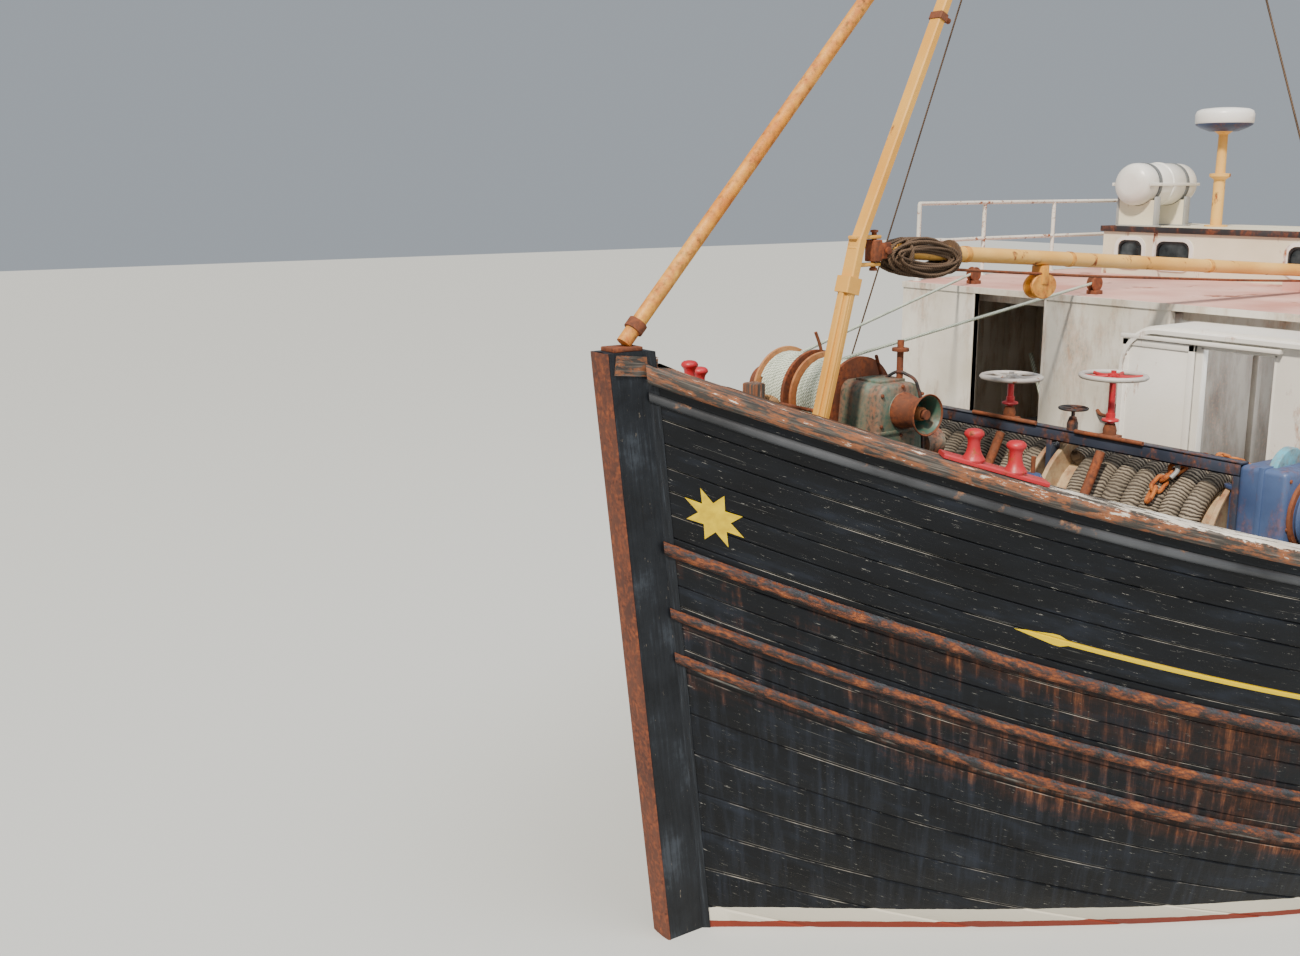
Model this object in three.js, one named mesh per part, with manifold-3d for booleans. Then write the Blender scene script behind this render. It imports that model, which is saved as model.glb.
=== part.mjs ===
// Wooden-hulled fishing trawler, afloat, about 16.5 m long.
// Units are millimetres. +X is forward, +Y is port, +Z is up.
// The origin is on the centreline at the waterline, half-way along the boat.
// Places along the boat are first given as metres aft of the stem head, in
// millimetres, and turned to X by one function.

import * as THREE from 'three';
import { mergeVertices } from 'three/addons/utils/BufferGeometryUtils.js';
import Module from 'manifold-3d';

const wasm = await Module();
wasm.setup();

// Driving dimensions of the hull
const BOW = 8250;              // X of the stem's front at its head
const HULL_END = 15800;        // planking, from the rabbet to the transom
const RABBET = 220;            // stem's front to the planking
const RAKE = 0.1185;           // how far the stem leans aft for each unit down
const RAIL_LOW = 1650;         // cap rail's lowest height
const RAIL_AT_STEM = 3135;
const STEM_RISE = 66;          // stem's top over the rail
const SHEER_LENGTH = 6900;     // rabbet to the lowest point of the rail
const STERN_RISE = 330;
const HALF_BEAM = 2834;
const ENTRANCE = 6195;         // length over which the bow fills out
const RUN_START = 10300;       // where the quarters start to close in
const QUARTER_TAPER = 560;
const TRANSOM_RAKE = 0.22;
const FOREFOOT = 1500;
const KEEL_FORE = -1700;       // lowest planking at the forefoot
const KEEL_AFT = -1850;
const TUCK_START = 9800;       // where the bottom starts to rise to the transom
const TUCK_HEIGHT = 60;
const KEEL_BOTTOM_FORE = -2000;
const KEEL_BOTTOM_AFT = -2330;
const SIDING_STEM = 75;        // half the stem's breadth
const SIDING_KEEL = 110;
const PLANK = 60;
const BULWARK = 800;           // cap rail down to the deck's edge
const CAP = 90;                // cap rail's depth
const CAP_OUT = 45;
const CAP_IN = 155;
const CAMBER = 60;
const DECK = 50;
const GAP = 0.4;               // between pieces that touch
const STATIONS = 28;

// Half-round rubbing strakes: depth below the rail, half-height and how proud
const STRAKES = [
  { drop: 997, half: 36, proud: 38 },
  { drop: 1371, half: 30, proud: 30 },
  { drop: 1630, half: 30, proud: 30 },
];
const STRAKE_PINCH = 0.059;    // the strakes close up to the rail at the stem
const MOULDING = { drop: 172, half: 26, proud: 22 };

const painted = {
  hull: [0x16181b, 0.45, 0.0],
  timber: [0x6b5a47, 0.8, 0.0],
  decking: [0x8a7a64, 0.85, 0.0],
  white: [0xe4e3dc, 0.5, 0.0],
  buff: [0xd9a75a, 0.5, 0.0],
  navy: [0x2b3550, 0.5, 0.2],
  red: [0xb8303a, 0.5, 0.1],
  rust: [0x7a4a32, 0.8, 0.2],
  green: [0x5d7a6c, 0.6, 0.2],
  rope: [0x8f8a72, 0.9, 0.0],
  bronze: [0x9a7b3c, 0.4, 0.8],
  glassfibre: [0xeeeeea, 0.4, 0.0],
  redlead: [0x8c4436, 0.7, 0.0],
};

const boat = new THREE.Group();

// Closed solids from loose triangles: vertices shared, faces outwards
function closed(geometry) {
  const plain = geometry.clone();
  for (const name of Object.keys(plain.attributes)) {
    if (name !== 'position') plain.deleteAttribute(name);
  }
  const merged = mergeVertices(plain, 1e-3);
  const index = merged.index.array;
  const at = merged.attributes.position;
  const kept = [];
  let volume = 0;
  const [a, b, c] = [new THREE.Vector3(), new THREE.Vector3(), new THREE.Vector3()];
  for (let i = 0; i < index.length; i += 3) {
    const [p, q, r] = [index[i], index[i + 1], index[i + 2]];
    if (p === q || q === r || r === p) continue;
    kept.push(p, q, r);
    volume += a.fromBufferAttribute(at, p).dot(
      b.fromBufferAttribute(at, q).cross(c.fromBufferAttribute(at, r)));
  }
  if (volume < 0) kept.reverse();
  merged.setIndex(kept);
  return merged;
}

function toSolid(geometry) {
  const mesh = closed(geometry);
  return new wasm.Manifold(new wasm.Mesh({
    numProp: 3,
    vertProperties: Float32Array.from(mesh.attributes.position.array),
    triVerts: Uint32Array.from(mesh.index.array),
  }));
}

function toGeometry(solid) {
  const mesh = solid.getMesh();
  const geometry = new THREE.BufferGeometry();
  geometry.setAttribute('position', new THREE.BufferAttribute(mesh.vertProperties, 3));
  geometry.setIndex(new THREE.BufferAttribute(mesh.triVerts, 1));
  return geometry;
}

function join(...geometries) {
  return toGeometry(geometries.map(toSolid).reduce((whole, next) => whole.add(next)));
}

function cut(geometry, ...tools) {
  return toGeometry(tools.map(toSolid).reduce((left, tool) => left.subtract(tool), toSolid(geometry)));
}

function piece(name, finish, geometry, parent = boat) {
  const [color, roughness, metalness] = painted[finish];
  const material = new THREE.MeshStandardMaterial({ color, roughness, metalness });
  const mesh = new THREE.Mesh(closed(geometry), material);
  mesh.name = name;
  parent.add(mesh);
  return mesh;
}

const vec = (x, y, z) => new THREE.Vector3(x, y, z);
const aftToX = (aft) => BOW - aft;
// A point given by its distance aft of the stem head
const at = (aft, y, z) => vec(aftToX(aft), y, z);

function block(low, high) {
  const size = high.clone().sub(low);
  const geometry = new THREE.BoxGeometry(Math.abs(size.x), Math.abs(size.y), Math.abs(size.z));
  const middle = low.clone().add(high).multiplyScalar(0.5);
  return geometry.translate(middle.x, middle.y, middle.z);
}

// Turns a shape that runs up +Z from the origin to lie from a towards b
function lay(geometry, a, b) {
  const way = b.clone().sub(a).normalize();
  const across = Math.abs(way.z) > 0.99 ? vec(0, 1, 0) : vec(0, 0, 1).cross(way).normalize();
  const rise = way.clone().cross(across);
  const turn = new THREE.Matrix4().makeBasis(across, rise, way).setPosition(a);
  return geometry.applyMatrix4(turn);
}

function rod(a, b, radius, sides = 12, endRadius = radius) {
  const length = a.distanceTo(b);
  const geometry = new THREE.CylinderGeometry(endRadius, radius, length, sides);
  return lay(geometry.rotateX(Math.PI / 2).translate(0, 0, length / 2), a, b);
}

// Box beam: width lies across, depth in the plane that holds the beam and +Z
function beam(a, b, width, depth) {
  const length = a.distanceTo(b);
  return lay(new THREE.BoxGeometry(width, depth, length).translate(0, 0, length / 2), a, b);
}

function shapeOf(points) {
  return new THREE.Shape(points.map(([x, y]) => new THREE.Vector2(x, y)));
}

// Plate across the boat: outline in (Y, Z), from one distance aft to another
function crossPlate(outline, aftFront, aftBack, holes = []) {
  const shape = outline instanceof THREE.Shape ? outline : shapeOf(outline);
  const thickness = aftBack - aftFront;
  const geometry = new THREE.ExtrudeGeometry(shape, { depth: thickness, bevelEnabled: false,
    curveSegments: 6 });
  const turn = new THREE.Matrix4().makeBasis(vec(0, 1, 0), vec(0, 0, 1), vec(1, 0, 0));
  const plate = geometry.applyMatrix4(turn).translate(aftToX(aftBack), 0, 0);
  return holes.length ? cut(plate, ...holes.map((hole) => crossPlate(hole, aftFront - 20,
    aftBack + 20))) : plate;
}

// Plate along the boat: outline in (distance aft, Z), from one Y to another
function sidePlate(outline, yLow, yHigh, holes = []) {
  const shape = shapeOf(outline.map(([aft, z]) => [aftToX(aft), z]));
  const geometry = new THREE.ExtrudeGeometry(shape, { depth: yHigh - yLow, bevelEnabled: false });
  const turn = new THREE.Matrix4().makeBasis(vec(1, 0, 0), vec(0, 0, 1), vec(0, -1, 0));
  const plate = geometry.applyMatrix4(turn).translate(0, yHigh, 0);
  return holes.length ? cut(plate, ...holes.map((hole) => sidePlate(hole, yLow - 20, yHigh + 20))) : plate;
}

// Turned shape: profile of [radius, distance along], along +Y from the given place
function turned(profile, origin, sides = 24, axis = 'y') {
  const points = profile.map(([radius, along]) => new THREE.Vector2(Math.max(radius, 0), along));
  const geometry = new THREE.LatheGeometry(points, sides);
  if (axis === 'x') geometry.rotateZ(-Math.PI / 2);
  if (axis === 'z') geometry.rotateX(Math.PI / 2);
  return geometry.translate(origin.x, origin.y, origin.z);
}

// Skin through rings of equally many points, closed at both ends
function loft(rings) {
  const count = rings[0].length;
  const positions = rings.flat().flatMap((p) => [p.x, p.y, p.z]);
  const index = [];
  for (let i = 0; i < rings.length - 1; i += 1) {
    for (let j = 0; j < count; j += 1) {
      const k = (j + 1) % count;
      const [a, b, c, d] = [i * count + j, i * count + k, (i + 1) * count + k, (i + 1) * count + j];
      index.push(a, b, c, a, c, d);
    }
  }
  const cap = (ring, offset, forward) => {
    const flat = ring.map((p) => new THREE.Vector2(p.y, p.z));
    const turnsLeft = THREE.ShapeUtils.area(flat) > 0;
    THREE.ShapeUtils.triangulateShape(flat, []).forEach(([a, b, c]) => {
      const left = THREE.ShapeUtils.area([flat[a], flat[b], flat[c]]) > 0;
      const order = (left === turnsLeft) === forward ? [a, b, c] : [c, b, a];
      index.push(...order.map((n) => n + offset));
    });
  };
  cap(rings[0], 0, false);
  cap(rings.at(-1), (rings.length - 1) * count, true);
  const geometry = new THREE.BufferGeometry();
  geometry.setAttribute('position', new THREE.Float32BufferAttribute(positions, 3));
  geometry.setIndex(index);
  return geometry;
}

const mix = (a, b, t) => a + (b - a) * t;
const clamp = (v, low, high) => Math.min(Math.max(v, low), high);

// Value from a short table of [place, value]
function follow(table, place) {
  const next = table.findIndex(([p]) => p >= place);
  if (next === 0) return table[0][1];
  if (next < 0) return table.at(-1)[1];
  const [[p0, v0], [p1, v1]] = [table[next - 1], table[next]];
  return mix(v0, v1, (place - p0) / (p1 - p0));
}

// Hull lines. s is the distance aft of the rabbet, h the depth below the cap rail.
function railHeight(s) {
  if (s < SHEER_LENGTH) {
    return RAIL_LOW + (RAIL_AT_STEM - RAIL_LOW) * ((SHEER_LENGTH - s) / SHEER_LENGTH) ** 2;
  }
  return RAIL_LOW + STERN_RISE * ((s - SHEER_LENGTH) / (HULL_END - SHEER_LENGTH)) ** 2;
}

function halfBeam(s) {
  const fill = (1 - (1 - clamp(s / ENTRANCE, 0, 1)) ** 2) ** 1.05;
  const quarter = clamp((s - RUN_START) / (HULL_END - RUN_START), 0, 1);
  return SIDING_STEM + (HALF_BEAM - SIDING_STEM) * fill - QUARTER_TAPER * quarter ** 2;
}

function keelLine(s) {
  const level = mix(KEEL_FORE, KEEL_AFT, clamp(s / TUCK_START, 0, 1));
  const rise = clamp((s - TUCK_START) / (HULL_END - TUCK_START), 0, 1);
  return level + (TUCK_HEIGHT - KEEL_AFT) * rise ** 1.7;
}

// How full a section is: columns are distance aft of the rabbet, exponent
const TOPSIDE = [[0, 3.4], [6000, 3.6], [11000, 3.2], [15800, 2.6]];
const BILGE = [[0, 1.05], [4500, 0.8], [8000, 0.55], [11000, 0.62], [14000, 0.85], [15800, 0.6]];

function hullPoint(s, h, side, proud = 0, inward = 0) {
  const z = railHeight(s) - h;
  const depth = railHeight(s) - keelLine(s);
  const siding = mix(SIDING_STEM, SIDING_KEEL, clamp(s / 1500, 0, 1));
  const full = (1 - clamp(h / depth, 0, 1) ** follow(TOPSIDE, s)) ** follow(BILGE, s);
  const slope = (halfBeam(s + 30) - halfBeam(s)) / 30;
  const lean = Math.hypot(1, slope);
  const y = Math.max(siding + (halfBeam(s) - siding) * full, siding);
  const forefoot = FOREFOOT * Math.max(0, -z / -KEEL_FORE) ** 2.4;
  const swept = (RAKE * h + forefoot) * clamp(1 - s / 6000, 0, 1);
  const stern = TRANSOM_RAKE * Math.max(z, -200) * clamp((s - 12800) / 3000, 0, 1);
  const aft = s + RABBET + swept + stern - (proud * slope) / lean;
  const out = Math.max(y + proud / lean - inward * lean, inward > 0 ? SIDING_STEM - 3 : 0);
  return at(aft, side * out, z);
}

const stations = Array.from({ length: STATIONS }, (_, i) => HULL_END * (i / (STATIONS - 1)) ** 1.5);
stations.splice(STATIONS - 1, 0, HULL_END - 70);
const strakeDrop = (s, drop) => drop * (1 - STRAKE_PINCH * Math.exp(-s / 1500));
const innerY = (s, h) => Math.abs(hullPoint(s, h, 1, 0, PLANK).y);

// A half-round band on the planking, from below upwards
function band(s, side, { drop, half, proud }) {
  const h = strakeDrop(s, drop);
  return [[half, 0], [half * 0.45, proud], [-half * 0.45, proud], [-half, 0]].map(
    ([step, out]) => hullPoint(s, h + step, side, out));
}

// Depths of the rows of planking under the lowest strake, from the keel up
function underwaterSteps(s) {
  const lowest = strakeDrop(s, STRAKES[2].drop) + 60;
  const depth = railHeight(s) - keelLine(s);
  return [1, 0.94, 0.84, 0.7, 0.54, 0.36, 0.18].map((part) => lowest + (depth - lowest) * part);
}

function hullSide(s, side) {
  return [
    ...underwaterSteps(s).map((h) => hullPoint(s, h, side)),
    ...[...STRAKES].reverse().flatMap((strake) => band(s, side, strake)),
    hullPoint(s, BULWARK, side),
    hullPoint(s, BULWARK, side, 0, PLANK),
  ];
}

const deckMiddle = (s, h) => hullPoint(s, h, 0).add(vec(0, 0, CAMBER));

function makeHull() {
  const rings = stations.map((s) => [
    ...hullSide(s, 1), deckMiddle(s, BULWARK), ...hullSide(s, -1).reverse()]);
  piece('hull', 'hull', loft(rings));
}

function makeDeck() {
  const rings = stations.slice(2, -1).map((s) => {
    const y = innerY(s, BULWARK) - 2;
    const edge = (side, h) => hullPoint(s, h, 0).setY(side * y);
    const [low, high] = [BULWARK - 2, BULWARK - DECK];
    return [edge(1, low), deckMiddle(s, low), edge(-1, low), edge(-1, high), deckMiddle(s, high),
      edge(1, high)];
  });
  piece('deck', 'decking', loft(rings));
}

// Height of the deck's faceted top at a place
const deckLines = stations.slice(2, -1).map((s) => {
  const middle = deckMiddle(s, BULWARK - DECK);
  return { aft: BOW - middle.x, middle: middle.z, half: innerY(s, BULWARK) - 2 };
});

function deckHeight(aft, y) {
  const next = deckLines.findIndex((line) => line.aft >= aft);
  const [a, b] = [deckLines[next - 1], deckLines[next]];
  const t = (aft - a.aft) / (b.aft - a.aft);
  return mix(a.middle, b.middle, t) - (CAMBER * Math.abs(y)) / mix(a.half, b.half, t) + 3;
}

// Freeing ports: distance aft of the stem head, along the deck's edge
const FREEING_PORTS = [5200, 7000, 8800, 10600, 12400, 14200];

function makeBulwark(name, side) {
  const rings = stations.map((s) => [
    hullPoint(s, BULWARK - GAP, side),
    ...band(s, side, MOULDING),
    hullPoint(s, CAP + GAP, side),
    hullPoint(s, CAP + GAP, side, 0, PLANK),
    hullPoint(s, BULWARK - GAP, side, 0, PLANK),
  ]);
  const holes = FREEING_PORTS.map((aft) => {
    const z = railHeight(aft - RABBET) - BULWARK + DECK + 60;
    return block(at(aft, side * 1800, z), at(aft + 520, side * 3100, z + 150));
  });
  piece(name, 'hull', cut(loft(rings), ...holes));
}

function makeSternBulwark() {
  const rings = [HULL_END - PLANK - 2, HULL_END].map((s) => {
    const y = innerY(s, BULWARK) - 2;
    const corner = (side, h) => hullPoint(s, h, 0).setY(side * y);
    const low = hullPoint(s, BULWARK - CAMBER - 4, 0);
    return [corner(-1, BULWARK - 4), low, corner(1, BULWARK - 4), corner(1, CAP + GAP),
      corner(-1, CAP + GAP)];
  });
  piece('bulwark_stern', 'hull', loft(rings));
}

function capPoint(s, h, side, out) {
  const point = hullPoint(s, h, side, out);
  point.y = side * Math.max(Math.abs(point.y), SIDING_STEM + 2);
  return point;
}

function makeCapRail(name, side) {
  const soft = 18;
  const rings = stations.map((s) => [
    capPoint(s, CAP, side, CAP_OUT - soft),
    capPoint(s, CAP - soft, side, CAP_OUT),
    capPoint(s, soft, side, CAP_OUT),
    capPoint(s, 0, side, CAP_OUT - soft),
    capPoint(s, 0, side, -CAP_IN),
    capPoint(s, CAP, side, -CAP_IN),
  ]);
  piece(name, 'timber', loft(rings));
}

function makeSternCap() {
  const y = Math.abs(capPoint(HULL_END, 0, 1, -CAP_IN).y) - 3;
  const rings = [HULL_END - 145, HULL_END + 40].map((s) => {
    const top = hullPoint(HULL_END, 0, 0);
    const x = top.x + HULL_END - s;
    return [vec(x, -y, top.z - CAP), vec(x, y, top.z - CAP), vec(x, y, top.z), vec(x, -y, top.z)];
  });
  piece('cap_rail_stern', 'timber', loft(rings));
}

// Centreline of the rabbet, from the head down to the forefoot
const rabbetLine = [0, BULWARK, ...underwaterSteps(0).reverse()].map((h) => {
  const point = hullPoint(0, h, 0);
  return [BOW - point.x, point.z];
});

function makeStem() {
  const front = rabbetLine.map(([aft, z], i) => {
    const [a0, z0] = rabbetLine[Math.max(i - 1, 0)];
    const [a1, z1] = rabbetLine[Math.min(i + 1, rabbetLine.length - 1)];
    const length = Math.hypot(a1 - a0, z1 - z0);
    const moulded = mix(RABBET, KEEL_FORE - KEEL_BOTTOM_FORE, clamp(-z / 1700, 0, 1));
    if (i === rabbetLine.length - 1) return [aft, z - moulded];
    return [aft - (moulded * (z0 - z1)) / length, z - (moulded * (a1 - a0)) / length];
  });
  const outline = [
    ...front,
    ...[...rabbetLine].reverse().map(([aft, z]) => [aft - 1.5, z]),
  ];
  const post = sidePlate(outline, -70, 70);
  const [headAft, headZ] = rabbetLine[0];
  const top = sidePlate([
    [front[0][0], front[0][1] - 40], [front[0][0] - STEM_RISE * RAKE, headZ + STEM_RISE],
    [headAft - 1.5, headZ + STEM_RISE], [headAft - 1.5, headZ - 40]], -70, 70);
  piece('stem', 'hull', join(post, top));
}

function makeBreasthook() {
  const rings = stations.slice(2, 5).map((s) => {
    const y = Math.abs(capPoint(s, CAP, 1, -CAP_IN).y) - 3;
    const x = capPoint(s, CAP, 1, -CAP_IN).x;
    const z = railHeight(s);
    return [vec(x, -y, z - CAP), vec(x, y, z - CAP), vec(x, y, z - 1), vec(x, -y, z - 1)];
  });
  piece('breasthook', 'timber', loft(rings));
}

// Stern gear under water
const STERNPOST = 14150;       // aft face of the sternpost
const SHAFT_HEIGHT = -1480;
const PROPELLER_RADIUS = 610;
const RUDDER_STOCK = 15060;
const RUDDER_LENGTH = 760;
const SOLE = 90;               // depth of the bar under the propeller

function makeKeel() {
  const bottom = stations.filter((s) => s + RABBET < STERNPOST - 50).map((s) => {
    const point = hullPoint(s, railHeight(s) - keelLine(s), 0);
    return [BOW - point.x, point.z - GAP];
  });
  const last = stations.find((s) => s + RABBET >= STERNPOST - 50);
  const lastPoint = hullPoint(last, railHeight(last) - keelLine(last), 0);
  const [lastAft, lastZ] = [BOW - lastPoint.x, lastPoint.z - GAP];
  const [aft0, z0] = bottom.at(-1);
  const postTop = mix(z0, lastZ, (STERNPOST - aft0) / (lastAft - aft0));
  bottom[0][0] += 2;
  const outline = [
    ...bottom, [STERNPOST, postTop], [STERNPOST, KEEL_BOTTOM_AFT + SOLE],
    [RUDDER_STOCK + 130, KEEL_BOTTOM_AFT + SOLE], [RUDDER_STOCK + 130, KEEL_BOTTOM_AFT],
    [STERNPOST - 900, KEEL_BOTTOM_AFT], [bottom[0][0], KEEL_BOTTOM_FORE],
  ];
  const boss = turned([[0, 0], [120, 0], [120, 90], [100, 110], [0, 110]],
    at(STERNPOST + 60, 0, SHAFT_HEIGHT), 20, 'x');
  piece('keel', 'hull', join(sidePlate(outline, -105, 105), boss));
}

function makePropeller() {
  const hub = turned([[0, -170], [60, -150], [92, -60], [98, 90], [0, 90]], vec(0, 0, 0), 16, 'x');
  const blades = [0, 1, 2, 3].map((turn) => {
    const rings = [60, 200, 380, 520, PROPELLER_RADIUS].map((radius, i) => {
      const chord = [90, 190, 230, 180, 60][i];
      const pitch = Math.atan2(900, 2 * Math.PI * Math.max(radius, 140));
      const thick = [26, 20, 14, 9, 6][i];
      return [[-1, 0], [-0.4, 1], [0.5, 0.8], [1, 0], [0.5, -0.8], [-0.4, -1]].map(([along, off]) => {
        const [u, v] = [along * chord, off * thick];
        const x = u * Math.sin(pitch) + v * Math.cos(pitch);
        const t = u * Math.cos(pitch) - v * Math.sin(pitch);
        return vec(radius, t, x);
      });
    });
    return bladeLoft(rings).rotateX((turn * Math.PI) / 2);
  });
  const whole = join(hub, ...blades);
  piece('propeller', 'bronze', whole.translate(aftToX(STERNPOST + 60 + 96), 0, SHAFT_HEIGHT));
}

// A blade: rings listed as (radius out, tangential, fore and aft), standing on +Z
function bladeLoft(rings) {
  return loft(rings).applyMatrix4(new THREE.Matrix4().makeBasis(vec(0, 0, 1), vec(0, -1, 0), vec(1, 0, 0)));
}

function makeRudder() {
  const low = KEEL_BOTTOM_AFT + SOLE + 12;
  const high = -520;
  const [front, back] = [RUDDER_STOCK - 20, RUDDER_STOCK + RUDDER_LENGTH];
  const blade = sidePlate([[front, low], [back - 90, low], [back, low + 260], [back, high + 40],
    [front, high - 60]], -32, 32);
  const stock = rod(at(RUDDER_STOCK, 0, low), at(RUDDER_STOCK, 0, high + 60), 48, 12);
  piece('rudder', 'redlead', join(blade, stock));
}

// Foremast: a bent box post stepped on deck, with a brace from the stem head
const MAST_FOOT = 1235;
const MAST_BEND = [1670, 3665];
const MAST_TOP = [3560, 7750];
const BRACE_TOP = 6250;
const mastAft = (z) => mix(MAST_BEND[0], MAST_TOP[0], (z - MAST_BEND[1]) / (MAST_TOP[1] - MAST_BEND[1]));

function makeMast() {
  const [front, back] = [MAST_FOOT - 120, MAST_FOOT + 120];
  const chockTop = deckHeight(front, 0) + 30;
  const chock = sidePlate([
    [front, deckHeight(front, 0)], [front, chockTop], [back, chockTop], [back, deckHeight(back, 0)]],
    -120, 120);
  const foot = at(MAST_FOOT, 0, chockTop - 10);
  const bend = at(MAST_BEND[0], 0, MAST_BEND[1]);
  const top = at(MAST_TOP[0], 0, MAST_TOP[1]);
  const lower = beam(foot, bend.clone().lerp(foot, -0.02), 92, 56);
  const upper = beam(bend.clone().lerp(top, -0.01), top, 78, 50);
  const doubler = beam(foot.clone().lerp(bend, 0.02), foot.clone().lerp(bend, 0.86), 40, 92);
  const truck = rod(top.clone().lerp(bend, 0.005), top.clone().lerp(bend, -0.02), 52, 8);
  const stemTop = rabbetLine[0][1] + STEM_RISE + GAP;
  const plate = block(at(48, -62, stemTop), at(212, 62, stemTop + 20));
  const [hinge, level] = [GOOSENECK[0], GOOSENECK[1]];
  const lugs = [level - 85, level + 65].map((z) => block(at(hinge - 230, -30, z),
    at(hinge - 30, 30, z + 20)));
  const brace = rod(at(140, 0, stemTop + 34), at(mastAft(BRACE_TOP), 0, BRACE_TOP), 38, 12);
  piece('foremast', 'buff', join(chock, lower, upper, doubler, truck, brace, plate, ...lugs));
}

// Derrick boom: a gooseneck swivels on the mast, and the boom luffs on it
const GOOSENECK = [1860, 3630];
const BOOM_TIP = [6950, 3306];
const BOOM_RADIUS = 45;

function makeBoom() {
  const [aft, z] = GOOSENECK;
  const neck = join(
    block(at(aft - 92, -40, z - 60), at(aft - 30, 40, z + 60)),
    block(at(aft - 40, -40, z - 45), at(aft + 35, -26, z + 45)),
    block(at(aft - 40, 26, z - 45), at(aft + 35, 40, z + 45)));
  piece('gooseneck', 'rust', neck);
  const start = at(aft, 0, z);
  const tip = at(BOOM_TIP[0], 0, BOOM_TIP[1]);
  const eye = beam(start.clone().lerp(tip, -0.002), start.clone().lerp(tip, 0.03), 38, 44);
  const tube = rod(start.clone().lerp(tip, 0.02), tip, BOOM_RADIUS, 14);
  const band = rod(start.clone().lerp(tip, 0.975), start.clone().lerp(tip, 0.99), BOOM_RADIUS + 14, 14);
  piece('boom', 'buff', join(eye, tube, band));
}

// Mooring bollards on the rail, a pair on each bow
function makeBollards(name, side, s0, s1) {
  const middle = (s, lift) => {
    const point = hullPoint(s, -lift, side, -(CAP_IN - CAP_OUT) / 2);
    return point;
  };
  const base = beam(middle(s0, 16), middle(s1, 16), 120, 22);
  const post = [[0, -14], [54, -14], [44, 14], [31, 52], [30, 92], [42, 110], [49, 122], [47, 136],
    [32, 148], [0, 152]];
  const posts = [0.3, 0.7].map((t) => turned(post, middle(mix(s0, s1, t), 34), 12, 'z'));
  piece(name, 'red', join(base, ...posts));
}

// Winch: athwartships shaft over a raised bed
const WINCH_AFT = 1990;
const WINCH_HEIGHT = 2730;
const BED_TOP = 2318;
const winchY = (y) => vec(aftToX(WINCH_AFT), y, WINCH_HEIGHT);

function makeWinch() {
  const [front, back] = [WINCH_AFT - 240, WINCH_AFT + 264];
  const [low, high] = [-1038, 178];
  const top = block(at(front, low, BED_TOP - 48), at(back, high, BED_TOP));
  const legs = [front, back - 72].flatMap((aft) => [low, high - 72].map((y) => {
    const ground = Math.max(deckHeight(aft, y), deckHeight(aft, y + 72));
    return block(at(aft, y, ground), at(aft + 72, y + 72, BED_TOP - 24));
  }));

  const cheek = (y) => sidePlate([
    [WINCH_AFT - 184, BED_TOP + 16], [WINCH_AFT - 72, WINCH_HEIGHT + 72],
    [WINCH_AFT + 72, WINCH_HEIGHT + 72], [WINCH_AFT + 184, BED_TOP + 16]], y, y + 32);
  const plate = block(at(front + 16, low + 16, BED_TOP - 16), at(back - 16, high - 16, BED_TOP + 24));
  const box = sidePlate([
    [WINCH_AFT - 200, BED_TOP + 16], [WINCH_AFT - 160, WINCH_HEIGHT + 152],
    [WINCH_AFT + 128, WINCH_HEIGHT + 152], [WINCH_AFT + 200, WINCH_HEIGHT + 48],
    [WINCH_AFT + 200, BED_TOP + 16]], -262, 74);
  const motor = turned([[0, 0], [84, 0], [84, 136], [56, 160], [0, 160]],
    at(WINCH_AFT + 336, -94, BED_TOP + 152), 14, 'x');
  const pipe = rod(at(WINCH_AFT + 80, -30, WINCH_HEIGHT + 144),
    at(WINCH_AFT + 80, -30, WINCH_HEIGHT + 384), 20, 10);
  const collar = rod(at(WINCH_AFT + 80, -30, WINCH_HEIGHT + 320),
    at(WINCH_AFT + 80, -30, WINCH_HEIGHT + 340), 48, 10);
  piece('winch_frame', 'green', join(top, ...legs, plate, cheek(-974), cheek(-638), box, motor, pipe,
    collar));

  const drum = (width) => [[0, 0], [264, 0], [264, 19], [188, 21], [188, width - 21], [264, width - 19],
    [264, width], [0, width]];
  piece('winch_drum_starboard', 'rust', turned(drum(293), winchY(-936), 24));
  piece('winch_drum_port', 'rust', turned(drum(333), winchY(-600), 24));
  const head = [[0, 0], [104, 0], [94, 40], [84, 80], [91, 120], [120, 156], [120, 164], [0, 164]];
  piece('warping_head_port', 'rust', turned(head.map(([r, y]) => [r, y * 1.2]), winchY(80), 20));
  piece('warping_head_starboard', 'rust', turned(head.map(([r, y]) => [r, -y]), winchY(-980), 20));
}

// Rope reels in a blue frame across the boat
const REEL_AFT = 3720;
const REEL_HEIGHT = 1925;
const FRAME_AFT = 3460;
const FRAME_HEIGHT = 2420;
const REEL_RADIUS = 470;

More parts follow.
